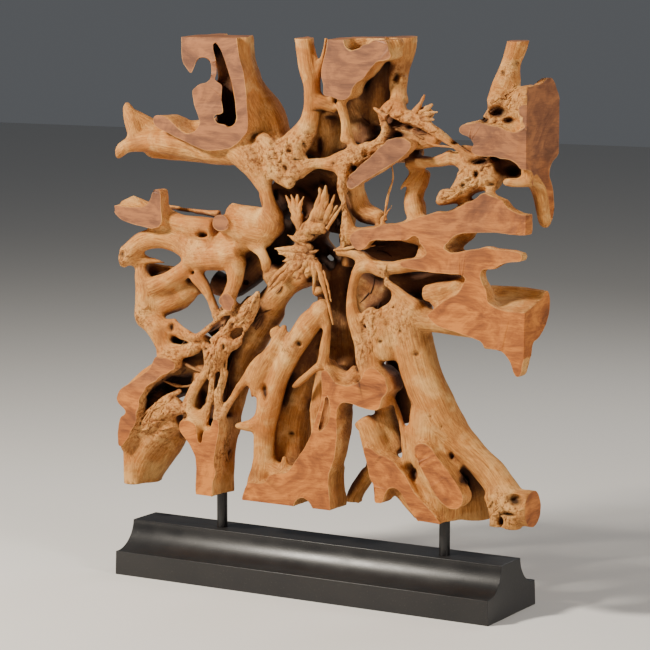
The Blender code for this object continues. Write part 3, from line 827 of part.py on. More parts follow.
def make_rod(name, x, top):
    bottom = BASE_HEIGHT - ROD_IN_BASE
    bpy.ops.mesh.primitive_cylinder_add(vertices=32, radius=ROD_RADIUS, depth=top - bottom,
                                        location=(x, ROD_Y, (top + bottom) / 2))
    rod = bpy.context.object
    rod.name = name
    return rod


def material(name, colour, roughness):
    made = bpy.data.materials.new(name)
    made.use_nodes = True
    shader = made.node_tree.nodes["Principled BSDF"]
    shader.inputs["Base Color"].default_value = (*colour, 1.0)
    shader.inputs["Roughness"].default_value = roughness
    return made


def paint(obj, made):
    obj.data.materials.clear()
    obj.data.materials.append(made)


clear_scene()
root = make_root()
base = make_base()
rod_left = make_rod("rod_left", ROD_LEFT_X, ROD_TOP_LEFT)
rod_right = make_rod("rod_right", ROD_RIGHT_X, ROD_TOP_RIGHT)
paint(root, material("teak", (0.56, 0.33, 0.16), 0.6))
paint(base, material("base_paint", (0.012, 0.012, 0.013), 0.35))
paint(rod_left, material("rod_left_paint", (0.014, 0.014, 0.015), 0.4))
paint(rod_right, material("rod_right_paint", (0.014, 0.014, 0.015), 0.4))
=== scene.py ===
"""Teak root sculpture: one sawn, weathered root on two rods and a long black moulded base."""

import bmesh
import bpy
import json
import numpy as np
from math import cos, hypot, pi, radians, sin, sqrt
from mathutils import Matrix, Vector, noise
from mathutils.bvhtree import BVHTree
from mathutils.kdtree import KDTree

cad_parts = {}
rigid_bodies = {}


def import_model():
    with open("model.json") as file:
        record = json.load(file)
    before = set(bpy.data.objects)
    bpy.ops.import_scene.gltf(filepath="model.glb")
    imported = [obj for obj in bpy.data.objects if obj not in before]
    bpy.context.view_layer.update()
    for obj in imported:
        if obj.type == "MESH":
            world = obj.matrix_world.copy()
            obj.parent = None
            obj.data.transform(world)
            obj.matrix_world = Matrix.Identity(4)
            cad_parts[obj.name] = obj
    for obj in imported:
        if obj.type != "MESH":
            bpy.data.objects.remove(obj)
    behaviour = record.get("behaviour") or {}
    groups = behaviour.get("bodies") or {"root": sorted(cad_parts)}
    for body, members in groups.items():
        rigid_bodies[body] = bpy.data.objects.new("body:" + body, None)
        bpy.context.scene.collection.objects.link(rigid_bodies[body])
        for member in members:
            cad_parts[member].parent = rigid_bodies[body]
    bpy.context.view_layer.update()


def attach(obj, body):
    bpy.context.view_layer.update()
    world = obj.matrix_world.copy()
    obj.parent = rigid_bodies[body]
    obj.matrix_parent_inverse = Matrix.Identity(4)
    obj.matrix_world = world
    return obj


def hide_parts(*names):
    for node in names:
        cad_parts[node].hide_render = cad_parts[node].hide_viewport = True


# Frame: metres, +Z up, +X along the base, +Y to the back, origin under the middle of the base.
CM = 0.01
MM = 0.001

# Base
BASE_LENGTH = 1.000
BASE_TOP_LENGTH = 0.991
BASE_WIDTH = 0.240
BASE_HEIGHT = 0.1215
PLINTH_HEIGHT = 0.057
BASE_TOP_WIDTH = 0.0963
PLINTH_LEDGE = 0.006
COVE_STEPS = 24

# Rods
ROD_RADIUS = 0.0125
ROD_LEFT_X = -0.265
ROD_RIGHT_X = 0.3325
ROD_Y = -0.010
ROD_IN_BASE = 0.040
ROD_TOP_LEFT = 0.262
ROD_TOP_RIGHT = 0.255
GAP = 0.0003

# Sawn planes that bound the root
FRONT_Y = -0.0825
BACK_Y = 0.0825
LEFT_X = -0.517
RIGHT_X = 0.563
BOTTOM_Z = 0.209
TOP_Z_FRONT = 1.283
TOP_Z_BACK = 1.292

# The layout gives x and z in centimetres as they line up on the front sawn plane for a viewer
# standing at SIGHT, with the depth behind that plane, so a point slides back along its sight line.
SIGHT = Vector((3.0538, -5.2103, 1.4594))
CAMERA_HEADING = radians(-30.273)
CAMERA_PITCH = radians(7.879)
CAMERA_LENS = 146.08

# Joining, cutting and thinning the root
JOIN_VOXEL = 0.0060
FINE_VOXEL = 0.0042
SMOOTH_PASSES = 3
ROOT_TRIANGLES = 150000
FACE_PROUD = 0.02
MOUTH_NEAR = -3.0
MOUTH_FAR = 20.0
CUT_OVER = 0.02
SAW_TOLERANCE = 0.0005
SLIVER = 0.0004
MERGE = 1e-6

# Round edges, the width of the paler band along the sawn faces, and the sides of round pieces
SAWN_RIM_WIDTH = 0.0024
BASE_ROUND = 0.0012
ROD_ROUND = 0.001
ROD_SIDES = 64
HOLE_SIDES = 48

# Weathering: how fine along and across a strand, then the height in mm
RIDGE = (9, 70, 0, 1.1)
GROOVE = (14, 130, 5, 0.8)
SPLIT = (12, 75, 3, 3.4)
TORN_RIDGE = 1.6
LUMP = (20, 2.4)
GRIT = (90, 0.5)
BURL_COARSE = 48
BURL_FINE = 105
BURL_SHARE = 0.6
ROW_STEP = 0.006
TWIG_GNARL = (130, 0.7)

# Fading of the front's knobs, torn wood and small holes, in cm behind the front plane
FRONT_WOOD = 9
FADE = 3
PIT_WOOD = 8
PIT_WALL = 1.35
PIT_EDGE = 1.25

# Painted shade in the hollows: how far a wall counts, how many ways are tried, and how dark the
# inside is painted
SKY_REACH = 0.22
SKY_RAYS = 18
FAR_WALL = 0.6
OPEN_SHARE = 0.20
HOLLOW_SHADE_START = 0.6
HOLLOW_SHADE_GROWTH = 0.11

# Splinters, in cm: steps, seed, thickness, bend, then how they stop at a gap
SPLINTER_STEPS = 3
SPLINTER_SEED = 11
SPLINTER_SHORT = 0.35
SPLINTER_THICK = (0.24, 0.30)
SPLINTER_BEND = 0.7
GAP_STEP = 0.015
CLEAR_OF_SAW = 0.003

# Teak colours
SKIN = [(0.28, (0.25, 0.087, 0.019)), (0.42, (0.43, 0.172, 0.041)),
        (0.56, (0.57, 0.256, 0.063)), (0.74, (0.71, 0.360, 0.102))]
SKIN_ORANGE = (0.48, 0.160, 0.030)
SKIN_CREAM = (0.83, 0.490, 0.170)
SKIN_BROWN = (0.22, 0.080, 0.022)
SKIN_GROOVE = (0.17, 0.055, 0.014)
TORN_LIGHT = (0.72, 0.390, 0.140)
TORN_DARK = (0.13, 0.042, 0.011)
SAWN_PINK = [(0.36, (0.130, 0.052, 0.026)), (0.48, (0.205, 0.080, 0.036)),
             (0.60, (0.330, 0.130, 0.050))]
SAWN_ORANGE = [(0.36, (0.175, 0.052, 0.015)), (0.48, (0.330, 0.100, 0.021)),
               (0.60, (0.560, 0.195, 0.036))]
SAWN_RIM_PALE = (0.60, 0.285, 0.085)
SAWN_FLECK = (0.11, 0.036, 0.012)
# Painted shade for the hollows, the brown partly also darker inner wood
HOLLOW_BROWN_WOOD_AND_SHADE = (0.115, 0.037, 0.013)
HOLLOW_SHADE_BLACK = (0.020, 0.007, 0.003)
# Painted shade for the floors of the small holes
PIT_SHADE_BLACK = (0.030, 0.011, 0.005)

# Black satin paint
SATIN_PAINT = [(0.3, (0.010, 0.010, 0.011)), (0.7, (0.017, 0.016, 0.016))]
SATIN_DUST = (0.075, 0.070, 0.064)
SATIN_SPREAD = (-0.06, 0.08)

# Studio: name, place, aim, size, power, colour
FLOOR_SIZE = 14.0
FLOOR_PAINT = (0.70, 0.69, 0.67, 1.0)
AIR = (0.80, 0.84, 0.90, 1.0)
AIR_STRENGTH = 0.12
LAMPS = [
    ("key", (-1.9, -2.7, 3.1), (0, 0, 0.75), 0.7, 350, (1.0, 0.92, 0.80)),
    ("side", (3.9, -1.0, 1.9), (0, 0, 0.8), 1.0, 95, (1.0, 0.92, 0.82)),
    ("rear", (0.6, 3.2, 3.0), (0, 0, 0.8), 2.0, 40, (1.0, 0.97, 0.93)),
]

# Sawn faces: depth of the wood behind the face, then the outline on the front plane.
FACES = {
    "hooked_top_left": (7.5, [
        (-32.5, 130), (-17.4, 130), (-16.6, 124), (-15.3, 120), (-14.7, 115), (-14.3, 110),
        (-14.6, 107), (-16.5, 105), (-19, 103.3), (-22.5, 102.2), (-26, 102.3), (-29.5, 103.3),
        (-33, 104.6), (-36, 105.9), (-38, 106.6), (-39.4, 107.2), (-40.2, 108), (-40.5, 109.2),
        (-39.8, 110), (-37.7, 109.9), (-36.1, 109.3), (-34.6, 108.2), (-33.2, 107),
        (-31.9, 106.2), (-30.9, 105.9), (-29.8, 106.2), (-28.4, 107), (-27.5, 108.5),
        (-28.1, 110.5), (-28.8, 112.2), (-29.2, 114.1), (-29.6, 115.8), (-29.2, 116.4),
        (-28.2, 117.2), (-27.1, 117.8), (-25, 118.3), (-24.3, 119.2), (-24.2, 121.2),
        (-24.3, 123), (-25.5, 123.9), (-27.1, 123.4), (-27.9, 124), (-28.4, 122.8),
        (-28.8, 121.6), (-29.3, 120.3), (-29.6, 119.5), (-30, 119.7), (-31.1, 121.2),
        (-32.1, 122.4), (-32.5, 124.3)]),
    "top_middle": (6.0, [
        (6.7, 130), (10.6, 130), (10.8, 127.8), (11.5, 126.4), (12.5, 125.9), (15, 126.7),
        (17.5, 127.8), (19, 128.4), (21.2, 128.4), (22.2, 127.3), (22.4, 126), (23.3, 124.6),
        (21, 123.8), (20, 124), (19, 123.6), (17.5, 122), (16.3, 120.6), (15.5, 119.7),
        (14, 119), (13.2, 118), (13, 117), (12.5, 116), (11.5, 115), (9.7, 114.8), (8.5, 115.5),
        (7, 115.6), (5.9, 115.4), (5.3, 116.6), (5.6, 118), (5, 120), (5.1, 122), (5.8, 124.4),
        (6.5, 127)]),
    "centre_band": (3.0, [
        (12.3, 94.8), (13.5, 95.4), (15, 96.2), (17.3, 97.7), (19.2, 98.7), (21.2, 99.8),
        (23.1, 101), (25, 102.1), (26.3, 103.1), (27.7, 104.3), (28.2, 105.4), (27.5, 106.2),
        (25, 106.8), (22.5, 106.3), (20.8, 105.3), (18.1, 102.7), (16.3, 101.2), (14.8, 99.8),
        (13.5, 98.7), (12.2, 97.5), (11.7, 96)]),
    "right_arm_upper": (3.5, [
        (13.3, 85.4), (15, 86.2), (17.3, 86.4), (19.4, 86.7), (21.7, 87.5), (24, 87.6),
        (26.9, 88.3), (28.9, 88.9), (31.8, 89.9), (34.5, 90.8), (36.8, 90.8), (38.5, 91.3),
        (40.1, 92.1), (42.2, 93.5), (44.3, 94.2), (46, 95.8), (48, 95), (50.8, 94.2),
        (51.8, 92.7), (53.5, 91.9), (55.1, 91.3), (57.5, 91.3), (57.5, 86.9), (53.9, 86.8),
        (50, 87.1), (46.2, 87.1), (43.3, 86.8), (40.5, 86.5), (38.5, 85.6), (36.6, 84),
        (36.2, 83.3), (36.5, 82.3), (34, 80), (32, 80.5), (32.3, 82), (30.9, 83.5),
        (30.7, 84.6), (29.5, 85.2), (28.6, 85.6), (27.7, 84.6), (26, 84.2), (24, 84),
        (21.2, 83.9), (18.9, 83.9), (17.3, 83.3), (16.5, 82.3), (15.6, 81.5), (14.2, 81.7),
        (13.1, 82.3), (12.3, 84)]),
    "right_arm_lower": (3.5, [
        (25.2, 79.3), (28, 80.2), (31, 80.6), (33, 81.5), (35.5, 82.5), (36.5, 82), (38, 81.6),
        (40.5, 82.3), (42, 82.9), (44.9, 83.3), (47, 84), (48, 83.5), (52.8, 83.3),
        (55.6, 82.7), (55.5, 81), (52.8, 80.9), (51.6, 80.6), (49.9, 80), (48.7, 79),
        (47.2, 78.9), (45.9, 78.9), (45.4, 78.1), (45.5, 76.7), (46.2, 75.3), (47, 74),
        (47.1, 72), (44, 70.5), (39, 70.8), (39.5, 72.6), (40.4, 74), (41.5, 75.8), (42, 77.2),
        (39.5, 77.4), (33.5, 77.4), (30, 77.6), (27, 77.9), (25.3, 78.3)]),
    "right_block": (4.0, [
        (31.8, 67.9), (33.3, 68.6), (33.7, 69.1), (35.3, 70.3), (37, 71.5), (38.5, 72.4),
        (40.1, 72.9), (41, 74.2), (44, 74), (47, 73), (47.2, 71.5), (48.2, 70.9), (49.5, 70.4),
        (51, 70.1), (53, 69.9), (55, 69.8), (57.5, 70.3), (57.5, 62), (56.4, 60.6), (56, 58.7),
        (55.6, 56.2), (54.7, 55.3), (53.9, 56.2), (53.3, 57.8), (52.8, 59.2), (51.7, 60.3),
        (50.3, 61.5), (48.3, 62.2), (45.6, 62.9), (43.3, 63.5), (41.6, 63.9), (39.5, 64.5),
        (36.6, 65), (35.1, 65.4), (33.5, 66.2)]),
    "upper_right_block": (4.0, [
        (39.7, 109.1), (40.3, 109.9), (41.2, 110.5), (43.5, 110.6), (45.1, 110.9),
        (46.2, 110.9), (48.2, 110.2), (50.1, 109.9), (52, 109.3), (55.3, 109), (57.5, 109),
        (57.5, 101), (55.4, 101.5), (53, 103), (50.5, 103.2), (48.9, 103.9), (45.3, 103.6),
        (42.4, 104.6), (43.3, 105.2), (44, 106.3), (42.6, 107.8), (41.2, 108.2), (39.8, 108.7)]),
    "left_arm": (4.0, [
        (-51.8, 88.6), (-50, 88.3), (-47, 88), (-43.5, 88.2), (-42.3, 89), (-41.6, 90),
        (-41.1, 91.3), (-40.5, 92.3), (-39.6, 92.9), (-38.9, 92.6), (-38.5, 91), (-38.5, 88),
        (-38.3, 85), (-39, 83.8), (-41, 83.2), (-43.2, 83.7), (-45, 84), (-48.2, 84.6),
        (-50, 85.2), (-50.9, 86), (-51.8, 86.7)]),
    "lower_left_arm": (4.0, [
        (-40.4, 53), (-37.5, 52.8), (-35.2, 52.3), (-34.8, 50.6), (-37, 49.3), (-38.6, 48.7),
        (-40.5, 47.2), (-43.2, 45.8), (-43.8, 44.5), (-45.4, 42.3), (-45.6, 40.8),
        (-46.1, 38.6), (-46.3, 37.2), (-47.7, 34.7), (-48.6, 32.7), (-49.6, 31.4),
        (-50.4, 30.4), (-51.3, 30.2), (-51.5, 34), (-51.1, 36), (-50.5, 37.7), (-49.7, 38),
        (-49, 38.4), (-48.7, 39.2), (-49, 39.8), (-50.5, 40.3), (-51.4, 41), (-51.8, 42),
        (-51.3, 43.2), (-50.8, 44.2), (-50, 44.9), (-48, 46), (-46, 47), (-44, 48.3),
        (-42.5, 49.4), (-41.4, 50.9)]),
    "left_column": (10.5, [
        (-29.4, 20.5), (-29.2, 26), (-29.3, 29.9), (-30, 31.4), (-30.9, 32.9), (-31.9, 33.9),
        (-33, 34.7), (-33.4, 35.6), (-33.8, 37), (-33.5, 38.2), (-31.6, 38.2), (-30, 37.9),
        (-29, 37.4), (-28.8, 35), (-28.8, 33.2), (-28, 32.7), (-27.3, 33.5), (-27.2, 36),
        (-26.6, 37), (-25.9, 36), (-25.1, 37), (-24.2, 39.4), (-23, 39.6), (-22.7, 36.5),
        (-23.2, 34.3), (-23.7, 32.2), (-24.1, 30.2), (-24.4, 28.3), (-24.1, 26.2),
        (-24.5, 24.9), (-24.5, 20.5)]),
    "centre_foot": (8.0, [
        (-16.6, 20.5), (-15.6, 23.8), (-15, 24.9), (-12, 25), (-9.8, 25.6), (-9, 27.3),
        (-7.5, 27.8), (-4, 28.4), (-2.6, 30.2), (-2, 31.2), (-0.6, 33.1), (0.7, 35),
        (1.9, 37.2), (2.6, 38.8), (3.2, 41), (4, 43.5), (4.9, 46), (5.3, 48.5), (5.2, 50.5),
        (4.7, 53), (6.2, 53.8), (7.7, 51.7), (8.5, 50.4), (10, 50.2), (12, 50.2), (14.3, 50.9),
        (15.8, 52.2), (16.7, 54.2), (18.5, 54.9), (20, 54.2), (20.8, 53), (21.6, 53.2),
        (21.9, 51.5), (22.5, 50.1), (22.1, 49.3), (20.6, 48.1), (20.5, 46.5), (20, 45.3),
        (18.3, 45.1), (15, 45.6), (13.5, 46.1), (11.5, 46.5), (10.4, 46.4), (9.5, 45.8),
        (9.1, 44.8), (9.1, 39.5), (8.9, 36), (8.6, 33), (7.9, 31.2), (7.2, 29.5), (7, 27.5),
        (7.1, 25), (7.5, 20.5), (2.7, 20.5), (2.6, 21.3), (2, 22.2), (1.1, 22.9), (0, 23.3),
        (-1.4, 22.7), (-2.2, 21.7), (-2.3, 20.5)]),
    "right_foot_strip": (5.0, [
        (15.8, 36.4), (18.3, 36.5), (19.6, 35.2), (21.5, 35), (24, 33.7), (26.9, 30.9),
        (29.7, 27), (32, 25), (33.5, 23.5), (36, 21), (36, 20.5), (30.5, 20.5), (29.4, 22),
        (27.7, 24.1), (26.5, 26.2), (25.2, 27.7), (23.7, 28.1), (22, 27.2), (21.4, 25.2),
        (21, 23.9), (19, 23.9), (18.9, 26.2), (19, 27.9), (17.9, 29.1), (17.4, 30.2),
        (17.1, 32.7), (16.7, 34.1)]),
    "oval_face": (5.0, [
        (29.1, 37.7), (29.9, 38.7), (31.2, 38.9), (33, 38.3), (34.3, 37), (36.2, 34.5),
        (38, 32.7), (39.1, 31.6), (40.3, 30), (41.2, 28.5), (41.7, 27.2), (41.4, 26),
        (40.3, 24.9), (38.9, 24.5), (37.6, 24.8), (36, 25.8), (34.7, 27.5), (33.3, 29.9),
        (31.8, 32), (30.3, 34.5), (29.3, 36.2)]),
}

# Faces on the right sawn plane: where the wood behind the face ends, then depth and height.
SIDE_FACES = {
    "upper_right_side": (0.545, [
        (0, 119.1), (1.9, 118.7), (4.8, 119), (7.7, 119.6), (10, 120.5), (12.1, 120.5),
        (13.6, 119.6), (15.3, 117.5), (16.5, 116), (17, 112), (17, 104), (15.3, 102.7),
        (13.6, 102.2), (12.1, 100.9), (11.5, 99), (8, 99.5), (4, 100.5), (0, 101)]),
    "lower_right_side": (0.46, [
        (0, 70), (3, 70.6), (5.6, 71.3), (8.6, 72), (12.1, 73.2), (12.8, 72), (12.6, 68.4),
        (11.5, 66.7), (9.9, 65), (7.6, 63.8), (4.1, 62.8), (1.7, 61.9), (0, 60.5)]),
}

# Roots: sighted x and z, depth behind the front plane and radius at each point of the run.
ROOTS = {
    # top left
    "column_side": [(-15.8, 130, 3, 2), (-15.6, 124.5, 3.4, 1.9), (-14.2, 119.5, 4.4, 2.5),
                    (-12, 115, 6.2, 3.6), (-9.3, 110.5, 8.5, 4.6), (-7.8, 105.5, 9.5, 4.8),
                    (-4.5, 100.5, 9.5, 5)],
    "groove_back": [(-22.5, 130, 9, 2.2), (-20.5, 122, 9, 2.2), (-19, 116, 9.5, 2.6),
                    (-17.5, 109, 10, 3)],
    "plate_back": [(-38, 108, 7, 1.6), (-33, 106.5, 8, 2.2), (-27, 106.5, 9, 3),
                   (-22, 106.5, 9.5, 3.5), (-16, 104.5, 9.5, 4)],
    "arm_under": [(-52.8, 100.4, 1.6, 1.1), (-50.6, 100.9, 1.9, 1.5), (-48.3, 102.4, 2.6, 1.7),
                  (-45, 103.2, 3.4, 2), (-40, 104, 3.8, 2.6), (-35, 103.6, 4, 2.8),
                  (-30, 102.8, 4.2, 2.6), (-24, 101.6, 4.4, 2.2), (-18, 102, 4.6, 2.8)],
    "leaf": [(-48.2, 113, 3.6, 0.8), (-47.4, 111, 3.8, 1.5), (-46.2, 108.5, 4, 2),
             (-45.2, 106, 4.2, 2.2)],
    "leaf_rear": [(-46, 109.8, 4.8, 1.5), (-42.8, 108.2, 5.6, 1.9), (-39, 106.3, 7, 2.2)],
    "ridge": [(-46.1, 107.3, 3.2, 0.5), (-46.2, 105.6, 3.2, 1.2), (-46.3, 104, 3.2, 1.5)],
    "dark_web": [(-44, 107.5, 7, 1.5), (-43, 104.5, 7, 2)],
    "under_rim": [(-42.8, 100.6, 5, 0.4), (-40, 100.5, 5.5, 0.8), (-35, 100.6, 6.5, 1.1),
                  (-30, 100.6, 6.5, 1.2), (-24, 100.4, 6, 1.4), (-19, 100.6, 5.5, 1.6)],
    # centre left
    "neck": [(-18, 103.5, 4.4, 3.6), (-14.5, 102, 4.2, 4), (-12, 98.8, 4, 3.2),
             (-10.2, 95.5, 3.6, 2.2), (-9.2, 92.8, 3.2, 1.5), (-8.6, 90.5, 3.4, 1.8),
             (-8, 88, 4, 2.6)],
    "elbow": [(-9.5, 88.5, 4.2, 3.2), (-8, 86.5, 4.4, 3.4), (-9.5, 84, 4.8, 2.6),
              (-11.5, 82, 5, 1.8)],
    "log": [(-19.6, 89, 5.2, 1.8), (-17, 88, 5, 2.4), (-13, 87, 4.8, 3), (-9, 86.6, 4.8, 3.2)],
    "log_low": [(-21, 84.2, 5, 1.9), (-17, 84.4, 5.2, 2.6), (-12, 84, 5.4, 2.8)],
    "stub_a": [(-22, 85.7, -1.5, 1.9), (-21.8, 85.7, 1.5, 2), (-18.5, 84.9, 3, 2.6),
               (-14.5, 84.2, 4, 3.1), (-10.5, 83.6, 5, 3.2), (-8, 83.2, 6.5, 2.8)],
    "arm2": [(-49.5, 87.8, 3.6, 1.6), (-46, 88.6, 4, 2.1), (-42.5, 87.3, 4.2, 2.4),
             (-38, 86.2, 4.2, 2.6), (-33, 84.9, 4, 2.2), (-28, 84.4, 3.6, 2.6),
             (-23.5, 84, 3.8, 2.8)],
    "arm2_peak": [(-47, 90.6, 4.4, 0.9), (-44.5, 89.4, 4.6, 1.2), (-41, 88, 5, 1.6)],
    "arm2_back": [(-37.5, 89, 7.5, 0.7), (-33, 88.4, 8, 0.8), (-28, 88, 8.5, 0.8),
                  (-22, 87.6, 8.5, 1.2)],
    "arm3": [(-50.2, 75, 3.4, 1.7), (-48.9, 76.4, 3.4, 2.1), (-46.5, 78.4, 3.8, 2.2),
             (-43.5, 80.3, 4, 2.4), (-40.5, 81.3, 4.2, 2.6), (-37, 81.5, 4.4, 2.8),
             (-33, 80.3, 4.4, 2.6), (-29.5, 78, 4, 2.6)],
    "arm3_low": [(-49.8, 74.4, 3, 1.2), (-47, 75.5, 4, 1.3), (-44, 76, 5, 1.3),
                 (-41.3, 75.8, 5.5, 0.9), (-37, 75.6, 6, 0.4)],
    "mass_l": [(-31.5, 76.8, 3.6, 2.3), (-28, 77, 3.6, 2.8), (-24, 77.3, 3.7, 3.0),
               (-20, 77.8, 3.5, 3.0), (-16.5, 78.8, 3.4, 2.6)],
    "mass_l_back": [(-30, 79, 8.5, 3), (-24, 79.5, 9.5, 3.6), (-17, 81, 10, 4),
                    (-10, 84, 10.5, 4.4)],
    "fork_left": [(-44.2, 76, 6, 1.2), (-44.2, 74, 5.6, 1.6), (-43.8, 71.5, 5.2, 2.1),
                  (-42.8, 69, 4.8, 2.7), (-42.8, 66, 4.6, 2.8), (-43, 63, 4.4, 2.8),
                  (-42.5, 60.8, 4.4, 2.4)],
    "strut1": [(-30.8, 74.8, 3.4, 2.2), (-34, 72.9, 3.6, 2), (-37.5, 71, 3.8, 2.2),
               (-41, 69.6, 4.2, 2.4)],
    "strut2": [(-27.5, 71, 7.6, 2), (-31.5, 68.8, 7.6, 3), (-35.5, 66.9, 7.4, 3.2),
               (-40, 65, 6.6, 3)],
    "strut_r": [(-28.8, 73, 3.6, 1.9), (-26.5, 70.5, 3.4, 1.5), (-24.9, 67.8, 3.4, 1.2),
                (-23.4, 64.8, 3.4, 1), (-22.4, 63.4, 3.2, 1)],
    "strut_b": [(-17, 66.6, 3, 0.9), (-20.8, 64.8, 2.8, 0.8), (-23.5, 62.6, 2.8, 0.8),
                (-26.3, 60.4, 2.8, 0.8), (-29.3, 58.7, 3, 0.9), (-32, 60, 3.4, 0.6),
                (-35.2, 62.6, 3.6, 0.5)],
    "frame_low": [(-42.5, 61, 4.4, 2.2), (-39.8, 60, 4, 3), (-38.5, 57.2, 3.8, 2.4),
                  (-37.6, 55, 3.8, 2.2), (-38, 52.5, 3.4, 1.8)],
    "frame_mid": [(-38, 60, 4.4, 2.2), (-35, 60.5, 4.6, 2), (-32.5, 59, 4.8, 1.6),
                  (-29, 57.8, 5, 1.4), (-25, 57.5, 5, 1.6)],
    "arm4": [(-38, 54.5, 3.6, 2), (-34.5, 54.8, 3.4, 1.7), (-31.5, 54.8, 3.8, 1.3),
             (-28, 56, 4.5, 1.2)],
    "la_back": [(-49, 43, 5, 2), (-45, 45.5, 5.5, 2.4), (-41, 48.5, 6, 2.6), (-37, 51, 6.5, 2.6),
                (-32, 52, 8.5, 3.2), (-27, 53, 9, 3.2), (-22, 54, 9.5, 3.4)],
    "recess_wall": [(-44, 41.5, 10, 2.6), (-38, 45, 12.5, 3.2), (-32, 47.5, 13, 3.4),
                    (-26, 48.5, 13, 3.4)],
    "strand_la": [(-46, 38.3, 2.6, 0.4), (-43.2, 39.3, 2.6, 0.5), (-40.5, 41.2, 2.8, 0.5),
                  (-38.4, 42.9, 3, 0.6), (-36, 44.2, 3.2, 0.8), (-33, 45.5, 3.4, 0.8)],
    "foot_top": [(-32.8, 41.5, 3.6, 1.6), (-35.5, 41.2, 3.4, 2), (-39, 39.8, 3.2, 1.9),
                 (-42, 37.2, 3.2, 1.8), (-45, 34.7, 3, 1.6), (-47.8, 32.4, 2.8, 1.5),
                 (-49.6, 29.6, 2.6, 1.3)],
    "foot_low": [(-48.3, 29.5, 3.4, 1.6), (-47.6, 27, 4, 2.1), (-47.3, 24.3, 4.2, 2.3),
                 (-46.6, 20.5, 4.4, 2.4)],
    "foot_deep": [(-33.5, 36, 9, 2.6), (-36.5, 33, 9.5, 3.6), (-40, 29.5, 9.5, 4.2),
                  (-43.2, 25.5, 9, 4.4), (-44.8, 20.5, 8.6, 4.4)],
    # strands over the left column
    "strand_a": [(-25.6, 51, 3.2, 1.1), (-27.6, 48.4, 3, 1.1), (-29.6, 45.6, 2.8, 1.2),
                 (-31, 43, 2.6, 1.4), (-31, 40.6, 2.4, 1.7), (-29.2, 39.4, 2.4, 1.9),
                 (-27.4, 39.8, 2.6, 1.6)],
    "strand_b": [(-24.2, 51, 3, 0.8), (-24.7, 47, 2.8, 0.8), (-25.5, 43.5, 2.6, 0.9),
                 (-26.5, 40.5, 2.4, 1.1), (-26.7, 38, 2.2, 0.9), (-26.3, 35.8, 2.2, 0.3)],
    "strand_c": [(-20.6, 51.5, 3.4, 0.9), (-21.6, 48, 3.2, 0.9), (-22.6, 45, 3, 0.95),
                 (-22.8, 42.5, 2.8, 0.9), (-23.2, 40, 2.6, 0.8), (-24.2, 37.8, 2.4, 0.25)],
    "rib1": [(-15.5, 49.5, 3.6, 1), (-17.8, 46.4, 3.4, 0.95), (-19.8, 43.4, 3.2, 0.9),
             (-21.4, 40.6, 3, 0.9), (-22.7, 37.2, 2.6, 0.8), (-23.5, 34, 2.2, 0.8),
             (-24.2, 30, 1.8, 0.8)],
    "gnarl_l": [(-19, 58.5, 3.6, 1.8), (-21.5, 56.5, 3.4, 2.2), (-23.3, 53.5, 3.4, 2.2),
                (-23.2, 51, 3.4, 1.8)],
    "gnarl_l2": [(-25.5, 56.5, 4, 1.6), (-24.8, 53, 3.8, 1.6), (-25.3, 50, 3.6, 1.3)],
    "flake": [(-11.4, 70.8, 2.6, 0.4), (-12.6, 68.2, 2.8, 1.3), (-14.6, 65.6, 3, 2),
              (-17, 63.4, 3.2, 1.7), (-19.5, 61.6, 3.2, 1), (-22, 59.4, 3.2, 1),
              (-24.5, 57.6, 3.4, 1.1)],
    "flake2": [(-13, 64.5, 3, 0.6), (-14.8, 61.8, 3, 0.5), (-16.3, 59.5, 3, 0.5),
               (-17.8, 56.6, 3, 0.4)],
    "flake3": [(-16.5, 58.5, 3.4, 1), (-19, 57, 3.4, 1.2)],
    "curl": [(-12.4, 60, 3.4, 0.4), (-12, 58.4, 3.4, 0.5), (-13, 56.8, 3.4, 0.4),
             (-15.2, 55.4, 3.4, 0.35), (-17.2, 53.7, 3.4, 0.3)],
    "back_root": [(3, 76, 10, 3.2), (-2, 73.3, 10.5, 2.9), (-7, 68.8, 10.5, 3.8),
                  (-11.5, 62.5, 10.5, 4.2), (-15.5, 55.5, 10.5, 3.8), (-18.2, 47.5, 10.5, 3.4),
                  (-20.2, 40, 10, 3.2), (-21.2, 32, 8, 3.2), (-21.6, 20.5, 8, 3)],
    "stub_down": [(-14, 80.8, 3.2, 1), (-12, 80, 3, 1.2), (-10.3, 78.8, 2.8, 1.3),
                  (-9.6, 77, 2.8, 1.3), (-9.8, 74.8, 3, 0.8)],
    "vert_l": [(-17.5, 78, 3.6, 2.5), (-17.8, 75, 3.4, 2.3), (-18, 72.5, 3, 1.9),
               (-18.8, 70.4, 2.6, 1.7), (-20.2, 67.6, 1.2, 1.9), (-20.6, 66.8, -2, 1.9)],
    "dark_back_l": [(-24, 72, 10, 3), (-19, 71, 11, 3), (-13, 75, 11, 3.4), (-9, 79, 11, 3.4)],
    "strand_s": [(1.5, 79.8, 3.2, 1), (-1.5, 78, 3, 0.9), (-4.2, 76.4, 2.8, 0.85),
                 (-6.4, 74.8, 2.8, 0.8), (-8.2, 72.9, 2.8, 0.6), (-9.3, 71, 2.8, 0.4),
                 (-9.9, 69.6, 2.8, 0.2)],
    "mass_fill": [(-36.5, 83, 5, 2.2), (-30, 81.2, 5, 2.4), (-24, 81.2, 5, 2.6),
                  (-17, 81.5, 5, 2.6), (-12, 82.5, 5.5, 2.4)],
    "fork_wall": [(-42.8, 73.8, 9, 1.8), (-38, 73.3, 9.5, 1.8), (-34, 73.2, 9, 1.8)],
    "strut_web": [(-30.5, 71, 6.5, 1.8), (-35, 68.8, 6.5, 2.3), (-39.5, 66.8, 6, 2.4)],
    "frame_wall": [(-37.5, 58.4, 8, 2.6), (-31.5, 56.8, 8.5, 2.4), (-26, 56.8, 8.5, 2.6)],
    "flake_back": [(-12.6, 68.5, 7, 2), (-16.5, 63.6, 7, 2.2), (-20.8, 58.8, 7, 2.2)],
    "strand_wall": [(-25, 52, 7.4, 3), (-27, 46, 7.4, 3.2), (-27.6, 40, 7, 3.2),
                    (-27, 34, 7, 2.6)],
